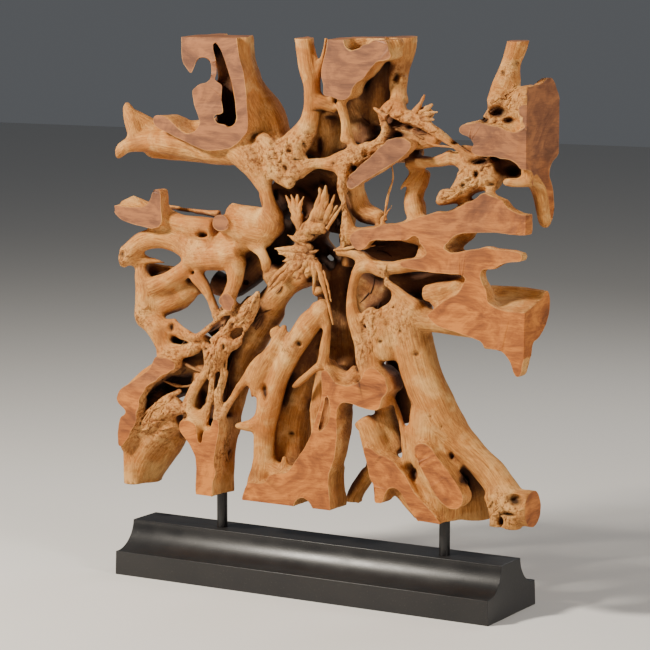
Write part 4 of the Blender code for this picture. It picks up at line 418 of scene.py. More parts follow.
    "strand_wall_right": [(-20.8, 52, 8, 2.4), (-22, 45, 8, 2.4), (-23.2, 38.5, 7.5, 2.2)],
    "board": [(-33.6, 38.8, 5.8, 2.8), (-37.5, 36.4, 5.8, 3.2), (-41.5, 32.9, 5.8, 3.5),
              (-44.6, 28.6, 5.8, 3.4), (-46, 24, 5.8, 3)],
    "recess_wall_low": [(-46.3, 39.3, 5.5, 1.6), (-42, 41, 7, 2.2), (-37, 43.8, 8, 2.4)],
    # centre and top middle
    "gnarl_1": [(-11.6, 106, 3.6, 1.6), (-9.5, 104.4, 3.4, 2.2), (-7.5, 101.6, 3.4, 2.6),
                (-6.2, 98.6, 3.4, 2.6), (-4.8, 96.4, 3.2, 1.8), (-2.6, 95, 3, 1.2)],
    "gnarl_2": [(-5, 103.5, 3.6, 2.4), (-2, 101.5, 3.4, 2.6), (-1.5, 98.5, 3.4, 2.4),
                (1, 99.6, 3.4, 1.6), (4, 100.4, 3.4, 1.3), (7, 100.5, 3.4, 1.6),
                (10, 101, 3.2, 2.3), (13.5, 102.3, 3.2, 2.4), (17, 104, 3, 1.7)],
    "gnarl_3": [(11.5, 99, 3.4, 2), (11, 96.6, 3.2, 1.5), (10.6, 94, 3.2, 1),
                (11.2, 91.5, 3.4, 0.6), (11.6, 89.5, 3.4, 0.9), (12, 86.5, 3.4, 1.6),
                (12, 84, 3.2, 1.4), (10.5, 82.8, 3, 0.9)],
    "slender_base": [(0.4, 130, 2.6, 2.3), (1.6, 122.5, 2.6, 2.2), (2.7, 117.5, 2.8, 2),
                     (2.6, 113.5, 3.2, 1.9), (2.2, 110.5, 3.6, 2.2), (0.9, 107.5, 4, 2.8),
                     (-1.3, 104.8, 4.4, 3.2), (-4, 102.5, 5, 3.4)],
    "bark_strip": [(6.2, 130, 3, 0.8), (5.4, 125.5, 3, 0.8), (4.4, 121.5, 2.8, 0.9),
                   (3.8, 118, 2.8, 0.9), (3.6, 115, 2.8, 1)],
    "ring_rim": [(9.8, 114.5, 2.6, 1.4), (11, 111.5, 2.8, 1.2), (11.6, 108.5, 3, 1.3),
                 (12, 105.5, 3.2, 1.9)],
    "ring_low": [(20.8, 112.3, 3, 0.9), (19.4, 112, 2.6, 0.8)],
    "ring_right": [(26, 112.8, 4, 2), (23, 113.4, 4, 2), (21.4, 112.4, 3.6, 1.4),
                   (20.9, 110.5, 3.6, 0.9), (21.4, 108.5, 3.6, 1), (20.6, 106.6, 3.4, 1),
                   (18.4, 105, 3.2, 1.1), (15.8, 104.6, 3.2, 1.2)],
    "mid_back": [(9, 121, 8, 4), (13, 117, 10, 4.5), (16, 111.5, 12, 4.5), (17, 105.5, 12, 4.2)],
    "mid_back2": [(12.5, 128, 6, 2.4), (17, 129, 7, 2.2), (22, 129.5, 8, 2.6)],
    "mid_right": [(26.3, 131, 10.5, 3.1), (26, 126.5, 10, 3), (25.2, 122.5, 9, 2.5),
                  (24.9, 119.5, 8, 2.2), (24.9, 116.8, 7, 2), (25.2, 114.3, 6, 2.4)],
    "knob": [(25.8, 120.6, 6.2, 1.5), (26, 119, 6, 1.3)],
    "knob_top": [(23.5, 128.5, 4.5, 2.2), (24.8, 126.3, 4.5, 1.8)],
    "dark_mid_wall": [(6, 115, 8, 3.2), (7, 111, 9.5, 3.8), (7.5, 107, 10, 3.8),
                      (6, 102, 10, 4)],
    "lid": [(4.5, 114.5, 3, 1.6), (7.5, 113.6, 4, 1.6), (9.3, 112.5, 4.4, 1)],
    "band_back": [(14, 97.5, 5.5, 2), (18.5, 101, 5.5, 2), (23, 104, 5.5, 2),
                  (27, 105.5, 5.5, 1.6)],
    "diag": [(26, 112, 4, 1.7), (29, 111.2, 3.8, 1.5), (32.5, 109.7, 3.6, 1.2),
             (36, 107.6, 3.4, 1.1), (39, 105.7, 3.2, 1), (42, 103.8, 3.2, 1),
             (45, 102.2, 3.6, 1.2)],
    "diag_flake": [(30.3, 112.6, 4.4, 1.2), (32, 113, 4.6, 1.2), (33.4, 112, 4.8, 1)],
    "diag_under": [(22, 108.2, 5, 1.4), (25, 108.8, 6, 1.2), (29, 108.3, 6, 1.6),
                   (32, 107.2, 5.6, 1.3), (35, 106.2, 5, 1)],
    "lump_r": [(28, 105.6, 5.4, 1.3), (31, 105.8, 5.2, 1.2), (34, 106, 5, 0.9)],
    "thin_strand": [(26.5, 103.3, 4, 0.35), (29, 102.4, 4.2, 0.35), (32, 102.4, 4.4, 0.35),
                    (35.2, 103.5, 4.6, 0.4), (38, 104.2, 4.4, 0.8)],
    "root_low_r": [(27, 101.4, 7, 1.5), (31, 101.8, 6.5, 1.5), (35, 102, 6, 1.2),
                   (38.5, 102.8, 5.4, 1.4), (41.5, 102, 5, 1.6)],
    "root_r1": [(31.5, 100.3, 8.5, 1.8), (30.2, 97.5, 8.5, 2.4), (29, 94.5, 8.2, 2.1),
                (29.2, 91.5, 7.5, 2.5), (30, 89.3, 6.5, 2)],
    "strut_c": [(20.6, 88, 3, 0.8), (22.3, 90.4, 3.6, 0.5), (24, 93, 4.4, 0.45),
                (25.6, 95.8, 5.2, 0.5), (27.2, 97.4, 6, 0.8), (29, 99, 7, 1.3)],
    "hollow_low": [(14, 94, 8, 2.6), (15.5, 90.5, 8, 2.6), (18.5, 89.3, 8, 2.2),
                   (21, 88.8, 7, 1.6)],
    "hollow_left": [(13.8, 98, 7, 2.4), (13.5, 94, 7.5, 2.4)],
    "rag1": [(-4.2, 92.8, 4.2, 0.25), (-3, 91.3, 4.2, 0.8), (-1.6, 89.3, 4.2, 1.1),
             (-0.5, 87.2, 4.2, 1.3)],
    "rag2": [(0.3, 93.2, 4.4, 0.25), (-0.7, 91.3, 4.2, 0.6), (-1.2, 89.3, 4.2, 0.9)],
    "rag3": [(4.8, 95.3, 4, 0.3), (5, 92.8, 4, 0.9), (4.9, 90.2, 4, 1.6), (3.6, 87.8, 4, 1.9)],
    "rag4": [(6.6, 95.8, 4.6, 0.3), (6.2, 93, 4.4, 0.55), (5.8, 90.6, 4.2, 0.8)],
    "rag5": [(8.3, 93.6, 4.4, 0.3), (7.6, 91.4, 4.2, 0.6), (6.6, 89.4, 4, 0.9)],
    "rag6": [(11, 91.8, 4.2, 0.35), (9.6, 90.2, 4, 0.5), (8, 88, 4, 0.7), (6.4, 86.6, 4, 0.9)],
    "rag_mass": [(-1, 84.6, 4, 1.4), (2, 85.6, 3.6, 2.1), (5, 86.2, 3.8, 1.7),
                 (7.4, 86, 4.2, 0.9)],
    "rag7": [(-7, 80.3, 3.4, 0.35), (-4.4, 80, 3.4, 1.1), (-1.4, 79.8, 3.4, 1.7),
             (1.4, 79.2, 3.6, 1.8), (3.4, 77.5, 3.6, 1.5)],
    "rag8": [(-3.7, 83.7, 3.6, 0.3), (-1.8, 83.2, 3.6, 0.9), (0.6, 82.4, 3.6, 1.1)],
    "rag9": [(2.2, 77, 3.4, 1.4), (2.4, 74.3, 3.4, 1.5)],
    "centre_back": [(-6, 96, 14, 3.4), (0, 94, 14.5, 3.8), (5, 90, 14.5, 3.8), (3, 83, 14.8, 3.4),
                    (8, 78, 14.5, 3.4)],
    "centre_back2": [(-4, 88, 14.2, 3.4), (-6, 81, 14.2, 3.4), (-3, 76, 13.4, 3.2)],
    "centre_back3": [(6.5, 96.5, 14, 3.4), (10.5, 91, 14, 3.4), (10, 85, 14, 3.2)],
    "centre_tie": [(2, 85, 6, 2.4), (2, 86, 14, 3)],
    "rib_g": [(4.9, 76.2, 3, 0.5), (4.3, 74, 3, 0.45), (3.2, 72.3, 3, 0.4), (2.6, 70.4, 3, 0.4),
              (2.2, 68.3, 3.2, 0.4)],
    "rib2": [(5.5, 77, 2.5, 0.5), (6.4, 74, 2.5, 0.5), (7.2, 71.3, 2.5, 0.5), (8, 68, 2.5, 0.5),
             (8.8, 65, 2.5, 0.5), (9.3, 62, 3, 0.5), (9.2, 58.5, 3, 0.6), (9.6, 55.5, 3, 0.5)],
    "v_dark_wall": [(10.5, 79, 13.6, 3.2), (10.5, 72, 13.8, 3.2), (11, 65, 13.8, 3.4),
                    (11.5, 58, 13, 3.6), (11, 52, 11, 3.6)],
    "tri_wall": [(4.5, 72.5, 6.5, 1.8), (5, 70.5, 6, 1.8)],
    "rag_core": [(1, 84.5, 4.5, 2.2), (1, 84.8, 11, 2.4)],
    "rag_core_top": [(4.2, 88, 5, 1.6), (3.6, 88, 11, 2)],
    "rag_core_low": [(0.5, 79, 4.6, 1.6), (0.2, 78.8, 11, 2.2)],
    "rag_core_right": [(12, 84, 5, 1.6), (12, 84, 11, 2.4)],
    "mid_wall": [(21.5, 126, 10.5, 3), (21.5, 121, 11.5, 4), (21.5, 115.5, 12, 4.4),
                 (21, 109.5, 12, 3.6)],
    "mid_wall_low": [(13, 110, 12, 4), (12, 104, 12, 4)],
    "diag_wall": [(22, 111, 9, 2.8), (27, 110, 9, 2.8), (31.5, 108.6, 8.6, 2),
                  (35.5, 106.8, 8, 1.2)],
    "band_wall": [(17, 103, 9.5, 3.4), (22, 104, 9.5, 3), (27, 104, 9, 2.6),
                  (30.8, 103.8, 8.4, 1.4)],
    "v_wall_left": [(6.5, 78, 11, 3), (6.8, 71, 11, 2.6), (7.5, 63, 11.5, 3), (7, 56, 10.5, 3)],
    "back_root_top": [(1, 77, 9.5, 2.6), (-4, 76, 9.5, 2.6), (-9, 73.5, 9.5, 2.8)],
    # middle legs
    "m2": [(6.3, 69.3, 3.6, 1.5), (4.3, 66.2, 3.8, 2.5), (1.6, 63.3, 4, 2.9), (-1, 59.8, 4, 2.8),
           (-3.6, 55.3, 4, 2.5), (-5.9, 51, 4, 2.4), (-7.5, 47, 4, 2.6), (-8.9, 43.5, 4, 3),
           (-9.9, 39.5, 4, 2.7), (-10.2, 35.5, 4, 2.6), (-10.4, 31.5, 4, 2.9),
           (-11, 27, 4.2, 3.4), (-11.6, 20.5, 4.4, 3.8)],
    "m2_right": [(5.8, 66.5, 3.6, 1.8), (6.6, 63.4, 3.4, 1.2), (6.2, 60, 3.2, 1.2),
                 (5.8, 57, 3, 1.2), (5.4, 54.6, 2.6, 1.3)],
    "m1": [(-4.4, 63.2, 4, 0.7), (-5.9, 60.4, 3.8, 1.3), (-7.8, 57, 3.8, 1.7),
           (-10, 53.8, 3.8, 2.2), (-11.8, 50.3, 3.8, 2.2), (-12.5, 47.3, 3.8, 1.4),
           (-12, 44.5, 4, 1.6)],
    "m1_left": [(-10.5, 55, 4, 1.4), (-13, 52.8, 3.8, 1.4), (-14.7, 50, 3.6, 1.3),
                (-16, 48.4, 3.6, 1)],
    "m_top_l": [(-6, 62, 5, 1.2), (-8.2, 60.6, 5.4, 1.2)],
    "stub_m": [(-18.4, 38.4, 3, 0.75), (-16.3, 38.5, 3, 1.1), (-13.8, 38.7, 3.2, 1.5),
               (-12, 39.5, 3.6, 2)],
    "hump": [(-4.9, 32.6, 3.4, 0.7), (-4.7, 30.6, 3.4, 1.2), (-5.5, 28.5, 3, 1.6)],
    "m_foot": [(-9, 29.5, 4, 2.4), (-5, 28.5, 4, 2), (-1.5, 28.5, 4, 2)],
    "branch_b": [(5.6, 54.8, 3, 1.2), (3, 53.2, 3, 1), (0.6, 51.2, 2.8, 0.95),
                 (-1.4, 49.6, 2.8, 0.8), (-3.2, 48.3, 2.8, 0.4)],
    "recess_b": [(3, 57, 11, 3.6), (1, 50, 11.5, 4.2), (-1.5, 43, 11.5, 4.6), (-2.5, 36, 11, 4.6),
                 (-2, 29, 10, 4.4), (0, 22, 9.5, 4)],
    "w_back": [(7, 55.5, 5, 1.6), (9, 52.5, 5, 2), (12.5, 51.8, 5, 2), (15, 54, 5, 2)],
    "leg_b": [(18, 31.5, 11, 1.6), (16, 28.5, 12, 2), (14, 25, 12.5, 2.1), (13, 20, 12.5, 2.1)],
    "leg_a": [(9.3, 32, 7, 1.6), (9.4, 27.5, 6.5, 1.5), (8.5, 20.5, 6, 1.6)],
    "recess_top": [(5, 63, 9.5, 2.4), (2.5, 58.5, 10, 3.2), (-2, 54, 10, 3.4)],
    "recess_right": [(6.6, 59, 8.5, 2.4), (6.4, 51, 8.5, 2.8), (5.5, 43, 8.5, 3.2)],
    "leg_b_top": [(22.5, 36.5, 6, 2.4), (20.6, 33.8, 8.8, 2), (18, 31.5, 11, 1.8)],
    # right foot
    "n_root": [(15.8, 43, 3.8, 2.2), (17.6, 40.5, 3.8, 2.8), (19, 37.2, 3.8, 3),
               (21, 33.5, 4, 3.2), (24, 30.5, 4.2, 2.8), (28, 27, 4.4, 2.8), (32, 23.5, 4.8, 3),
               (34, 20, 5, 3)],
    "n_peg": [(20.2, 29.5, 3.4, 1.5), (20.1, 25.2, 3.4, 1.2)],
    "n_side": [(21, 47.5, 7.5, 1.8), (22, 44, 7.5, 2.4), (24, 40, 7.5, 2.4), (26, 36.5, 7, 2.2)],
    "rib_q": [(23.4, 49.6, 5, 0.5), (24.6, 46.5, 4.6, 0.7), (25.8, 43.2, 4.2, 0.8),
              (26.6, 40, 3.8, 1), (27.2, 36.8, 3.6, 1.1), (27.8, 34, 3.6, 1.4)],
    "recess_q": [(25.5, 58, 12, 3), (25, 54, 13.6, 3.2), (26, 49, 14, 3.2), (27, 43, 14, 3)],
    "k_top": [(22.5, 76.3, 3.4, 1), (18, 78, 3.4, 1.8), (14.8, 77, 3.2, 1.4),
              (13.4, 73.5, 3.2, 1.2), (13, 70, 3.2, 1.3), (13.4, 66.6, 3.4, 1.6),
              (14.8, 63, 3.6, 2), (16.3, 59.5, 3.6, 2.2), (17.2, 56, 3.2, 2.3),
              (17.4, 53, 2.8, 2.2)],
    "k_mass": [(18.5, 65, 4.4, 2.8), (21, 63.5, 4.6, 3.4), (22.5, 59.5, 4.6, 3.4),
               (23, 57, 4.6, 2.4)],
    "k_lip": [(16.5, 67.5, 4, 1.6), (19.5, 66, 4, 2), (22.5, 67.5, 4, 2), (24.6, 70, 3.6, 1.6),
              (24.4, 72.6, 3.2, 1.2), (22.4, 74.5, 3, 0.7)],
    "h8_wall": [(13.8, 75.5, 11, 2.6), (18.5, 74.5, 13.2, 3.4), (22.5, 72, 13.2, 3.4),
                (20.5, 69, 12.5, 3)],
    "h8_wall_low": [(13.5, 71.5, 12, 2.8), (16.5, 69, 12, 3), (20, 68, 11, 3)],
    "k_main": [(25.5, 70.5, 4.6, 2.8), (27.2, 67, 5.2, 4.2), (28.8, 62, 5.6, 4.6),
               (30.2, 57, 5.8, 4.6), (32, 52.5, 6, 4.7), (34.4, 48, 6.2, 4.7),
               (36.5, 44.5, 6.6, 4.6), (39.8, 41, 7, 3.9), (44, 37.6, 7.2, 3.4),
               (48.2, 34, 7, 3.4), (51.2, 30.5, 6.4, 3.6), (54, 27.3, 5.4, 3.8),
               (57.5, 26.8, 5.2, 4.2), (62, 26.5, 5.2, 4.2)],
    "k2": [(33, 46.5, 6, 4.4), (32.4, 41, 5.6, 4.2), (33, 36.5, 5.2, 4.4), (35, 32, 5.2, 4.4),
           (37, 27.8, 5.2, 4.4), (36.8, 23, 6.6, 4.2), (36.6, 19, 6.8, 4)],
    "k_hollow": [(41.5, 37.5, 9.5, 2.6), (43, 33, 10.5, 3.6), (44, 28.5, 10.5, 3.6),
                 (44.5, 22, 10, 3.8)],
    "ball": [(40.8, 33.4, 7, 1.2), (40.6, 35, 7.5, 1.3)],
    "k_foot_l": [(49.3, 29, 5, 2.6), (49.8, 25.5, 4.6, 1.8), (50, 20.5, 4.6, 1.8)],
    "k_foot_r": [(55, 27, 4.5, 2.2), (54, 24, 4, 1.8), (53.8, 20.5, 4, 1.8)],
    # right arms
    "e_arm": [(29, 68.5, 5, 3.4), (32, 66.8, 4.6, 2.8), (36, 66.8, 4.6, 2.8), (41, 66.8, 5, 3.2),
              (47, 66.8, 6, 3.4), (53, 67.2, 5.8, 3.2), (60, 68, 5.6, 3)],
    "e_rim_back": [(46.5, 73.5, 6, 1.4), (48, 73.5, 10, 2), (53, 74.3, 11.3, 1.5),
                   (59, 74.2, 11, 1.4), (65, 73.5, 11, 1.4)],
    "e_floor": [(47.5, 71, 6, 1.8), (52, 70, 8, 2.6), (58, 70, 7.8, 2.8), (64, 70, 7.8, 2.8)],
    "fan": [(31.5, 72.5, 3.4, 1.8), (35, 73.2, 3.4, 2.2), (39, 74.3, 3, 1.9),
            (41, 75.5, 2.6, 1.2)],
    "fan_low": [(33.5, 70.5, 3, 1), (37, 72, 2.6, 1.2)],
    "lip_w": [(21.5, 74.8, 2.5, 0.7), (24.5, 73.2, 2.5, 1), (27.5, 71, 3, 1.4),
              (30, 69.5, 3, 1.5)],
    "slot_wall": [(22, 75.6, 11, 2.4), (30, 74.7, 11.5, 3.2), (38, 75.2, 11.5, 3),
                  (41.5, 74.5, 10, 3)],
    "slot_wall2": [(14.5, 82, 9.5, 2.6), (20, 82, 10.5, 2.8), (27, 82, 10.5, 2.8),
                   (31.5, 81.5, 9, 2.6)],
    "d1_back": [(12.6, 84.5, 3.6, 2), (18, 85.4, 4.6, 1.6), (25, 86.2, 5, 2),
                (32, 86.5, 5.4, 3.4), (39, 88.5, 5.4, 3.2), (46, 91, 5, 3.6), (52, 89.4, 3, 1.8),
                (58, 89.2, 1.6, 1.6)],
    "d2_back": [(9, 80.8, 3.6, 1.2), (14, 80.6, 3.6, 1.2), (18, 78.3, 3.6, 1.8),
                (23, 77.8, 3.4, 1.5), (29, 79, 4, 1.7), (36, 79.6, 4.6, 2), (43, 80.8, 4.4, 2.2),
                (50, 81.8, 3.6, 1.3), (55.3, 81.9, 2, 0.9)],
    "d_join": [(31, 83, 4.6, 2.6), (33, 82, 4.6, 2.6)],
    "neck_e": [(43.3, 79, 4.4, 2), (43.4, 75, 4.6, 2.2), (43.5, 71, 5, 2.6)],
    "pale_side": [(38.5, 83.6, 5, 1.4), (41.5, 85.4, 5.5, 1.4), (44, 86.6, 5.5, 1)],
    "slope": [(34.6, 93.4, 4, 1.4), (38, 95, 4, 2.2), (42, 97.5, 4.4, 2.8), (46, 99, 4.6, 3),
              (50, 98, 4.6, 2.2)],
    "slope2": [(41, 101.5, 4.6, 1.8), (45, 101, 4.6, 2.4), (49.5, 101, 4.4, 2)],
    "tall": [(54.6, 131, 5, 2.5), (53.6, 127, 5, 2.3), (52.3, 123.5, 5, 2.2), (51.5, 120, 5, 3),
             (50, 116.5, 5.2, 2.9), (48.3, 113.3, 5, 1.8), (46.5, 111.6, 4.6, 1.2)],
    "f_fold": [(50, 113.8, 6, 2.4), (54, 114.2, 6.5, 3), (60, 114, 8, 4)],
    "f_swell": [(50.5, 113, 5.2, 2.4), (53, 114, 4.2, 2.7), (55.5, 114.6, 3.2, 2.9),
                (58, 115, 3.2, 3)],
    "f_swell_top": [(53.5, 117, 5, 1.6), (56, 117.4, 3.6, 1.9), (58, 117.6, 3.4, 2)],
    "f_lip": [(49, 116.3, 5, 0.8), (52, 116.3, 4.6, 1.2), (55, 117.3, 4.2, 1.5),
              (58, 118.5, 4, 1.2)],
    "f_low": [(46.5, 110.9, 3.6, 0.9), (50, 110.8, 3.6, 1.6), (54, 110.6, 3.8, 1.9),
              (58, 110.5, 4, 2)],
    "f_back": [(47, 107.5, 7.5, 3), (52, 107, 8.5, 4), (58, 107, 9, 5), (64, 107, 9.5, 6)],
    "f_plate": [(50.8, 98.3, 3, 1), (54, 98.2, 3, 1.1), (58, 98.5, 3.4, 1.3)],
    "f_join": [(56.8, 102, 4, 1.6), (57, 100, 4, 1.5)],
    "f_spur": [(57, 100.3, 6, 2.2), (58.8, 99.4, 9.5, 2.5), (60.2, 97.4, 12, 2.5),
               (60.9, 94.6, 13, 2.3), (61, 92, 13.2, 2), (60.9, 90, 13.2, 1.6),
               (60.4, 88.8, 13.2, 1)],
    "f_wall": [(49.5, 101, 8, 2.4), (54, 101, 9, 2.6), (58, 101.5, 9, 2.6)],
    "f_slit_wall": [(40, 104.6, 6.2, 1.6), (45, 103.6, 7, 1.9), (49, 103, 7.8, 2)],
    "f_spur_up": [(59.5, 101, 7, 2.2), (59.5, 105, 8, 3)],
}

# Hollows: floor depth, then the sighted outline of the mouth.
HOLLOWS = {
    "groove": (7.2, [
        (-23.8, 127.6), (-22.9, 127.3), (-21.5, 125.4), (-20.4, 123.2), (-19.7, 121.2),
        (-19, 119), (-18.5, 117), (-18, 115), (-17.6, 112), (-17.2, 110.2), (-17.6, 108.9),
        (-18.8, 107.9), (-19.7, 107.7), (-20.7, 108.5), (-22.6, 108.6), (-23.6, 109.5),
        (-24, 110.9), (-22.6, 110.8), (-21.2, 111), (-21.4, 114), (-21.2, 117.5),
        (-22.6, 118.3), (-23.6, 118.3), (-22.9, 120), (-23, 123), (-23.6, 125.6)]),
    "void_left": (12, [
        (-7.5, 94), (-5, 94.4), (-3, 93.8), (-3.6, 92), (-4.2, 90.5), (-3.2, 89), (-2, 87.5),
        (-1, 86), (-1.3, 85.2), (-4.5, 84.5), (-5, 86.5), (-5, 89), (-5.6, 91), (-7.2, 92.5)]),
    "void_top": (12, [
        (-2.6, 94.2), (0.2, 94.4), (1.4, 93.4), (3.4, 91.4), (3.9, 93), (4, 95.5), (4.8, 96.4),
        (5.8, 96.2), (6.1, 94.6), (6.7, 92), (7.2, 92.4), (8.1, 94.4), (9.4, 95.2), (9.8, 97.8),
        (8.6, 98.4), (7.4, 97.2), (6.4, 97.6), (4.6, 98.6), (2.4, 98.4), (1, 96.6),
        (-0.5, 95.3)]),
    "void_right": (12, [
        (7.2, 86.4), (8.4, 88), (9.7, 89.3), (10.8, 90), (10.9, 87.5), (10.3, 85), (9.4, 83.2),
        (7.6, 83), (7.6, 84.6)]),
    "void_low": (12, [
        (-9.3, 80.5), (-7.5, 82), (-5, 83), (-2.4, 83), (-2.6, 82), (-4.4, 81.3), (-7.2, 80.4),
        (-5.9, 79), (-4.6, 77.8), (-6, 76.4), (-8, 77.6), (-9, 78.4)]),
    "void_eye": (12.5, [
        (3.6, 82.4), (5, 83), (6.6, 82.2), (7.2, 80.6), (8.9, 79.2), (9.2, 78.2), (8, 76.6),
        (7, 76.2), (5.9, 77.7), (4.4, 77.8), (3.2, 79), (3.5, 80.6)]),
    "column_wedge": (5.5, [
        (6.4, 48.3), (7.1, 46.8), (7.4, 44.7), (7.4, 43), (6.7, 41), (5.4, 39.5), (3.9, 38.1),
        (4.2, 40), (5.1, 42.8), (5.8, 45.2), (6, 47.3)]),
}

# Openings seen right through the root: the sighted outline.
OPENINGS = {
    "hook_window": [(-28.9, 121.6), (-27.8, 123.6), (-26, 123.9), (-24.7, 123.1), (-24.2, 122),
                    (-24.2, 120), (-24.6, 118.9), (-27, 118), (-29, 117), (-30.6, 116.4),
                    (-31.5, 118.6), (-29.8, 119.4)],
    "link_window": [(33.5, 100.2), (36, 100.6), (40.2, 99.9), (39.3, 98), (38.3, 96.2),
                    (37.2, 95.3), (36.2, 96.1), (35.3, 95.4), (34.7, 93.9), (33, 91.8),
                    (31.8, 92.6), (30.9, 93.6), (31.6, 95.4), (32.8, 96.9), (33.6, 99)],
    "slot_window": [(32.3, 104.8), (34, 105.1), (36.5, 105.2), (37.4, 104.6), (36, 103.6),
                    (34, 103.2), (32.5, 103.3)],
    "centre_window": [(0.5, 71.9), (1.9, 71.9), (2.4, 70.9), (2.3, 69.5), (1.9, 67.8),
                      (-0.1, 65.7), (-1.4, 64.5), (-3.9, 64.2), (-4.9, 64.7), (-4.7, 66.9),
                      (-3.9, 68.4), (-2, 70.3)],
    "column_window": [(10.9, 31.5), (11.6, 33.7), (12.2, 36.3), (13.1, 39.5), (13.3, 40.7),
                      (15, 40.6), (15.2, 39), (15.6, 37), (16.3, 35), (17, 33.2), (17, 31.8)],
    "band_window": [(20, 97.7), (23.1, 98.4), (25.2, 97.9), (25.4, 96.4), (24.8, 94.8),
                    (23.7, 92.7), (22.7, 91.2), (21.9, 90.8), (20.4, 91.9), (18.3, 93.7),
                    (17.7, 94.6), (18.9, 96.5)],
    "frame_window_top": [(-40, 76.2), (-38.5, 77.2), (-36, 77.9), (-34, 77.4), (-33, 75.9),
                         (-36, 75.8)],
    "frame_window": [(-27.9, 69), (-26.7, 68.6), (-25.5, 67), (-24.6, 65.1), (-23.4, 62.8),
                     (-24.5, 62), (-25.9, 61.1), (-27.5, 59.7), (-29, 58.8), (-30.2, 59.3),
                     (-32.8, 60.7), (-34.8, 62.4), (-33.6, 62.8), (-32.8, 64), (-31.3, 65.5),
                     (-29.2, 67.2)],
    "strip_window": [(-12.6, 46), (-12.2, 45.4), (-12.3, 43), (-12.8, 41.6), (-14, 40.8),
                     (-15, 40.5), (-14.8, 42.5), (-14, 44.5), (-13.2, 45.8)],
    "leg_window": [(-18.5, 22.4), (-18.6, 27), (-18.3, 31), (-17.7, 35), (-17.2, 36.6),
                   (-15.2, 36.9), (-13.6, 35.6), (-13, 34.6), (-13.1, 31.4), (-13.9, 28.4),
                   (-15.1, 25.4), (-16.3, 22.4)],
    "pale_window_left": [(-22.3, 69.4), (-21.5, 70.9), (-20.9, 70.6), (-21.1, 69.4),
                         (-21.8, 68.8)],
    "pale_window_right": [(-15.7, 71.5), (-15.6, 72.6), (-14.9, 73), (-14.2, 72.4),
                          (-14.5, 71.6)],
    "fork_window": [
        (2.95, 131.5), (3.2, 127), (3.9, 124.4), (4.5, 123), (5.2, 124.6), (5.8, 127),
        (6.1, 131.5)],
    "eye_window": [
        (5.6, 82.4), (6.5, 82), (7, 80.4), (8.8, 79), (9, 78.4), (7.4, 78.3), (6.3, 79.6),
        (5.9, 81)],
}
# Wood that closes the hollows behind, dark there from the painted shade: x, z, depth, thickness in
# cm.
WALLS = {
    "hollow_top": [(-1, 98.5, 14, 3.4), (4, 99.5, 14, 3.4), (9.5, 98.5, 14, 3.2)],
    "hollow_top_high": [(0, 102.5, 12, 2.4), (5, 102.5, 12, 2.4)],
    "hollow_left": [(-8, 95, 13.5, 3.2), (-7, 91, 13.5, 3.4), (-5.5, 88, 13.5, 3.2)],
    "foot_slit": [(4, 45, 6, 1.6), (4.2, 41, 6, 1.8), (4, 37.5, 6, 1.6)],
    "flake_wall": [(-25, 60.5, 9, 2.4), (-21.5, 63.5, 9, 2.4), (-18.5, 66.5, 9, 2)],
    "arm_slit": [(29, 70, 10, 2), (33, 68.5, 10, 2)],
    "slit_wall": [(12, 77.5, 10, 1.6), (12, 80.5, 10, 1.6)],
}

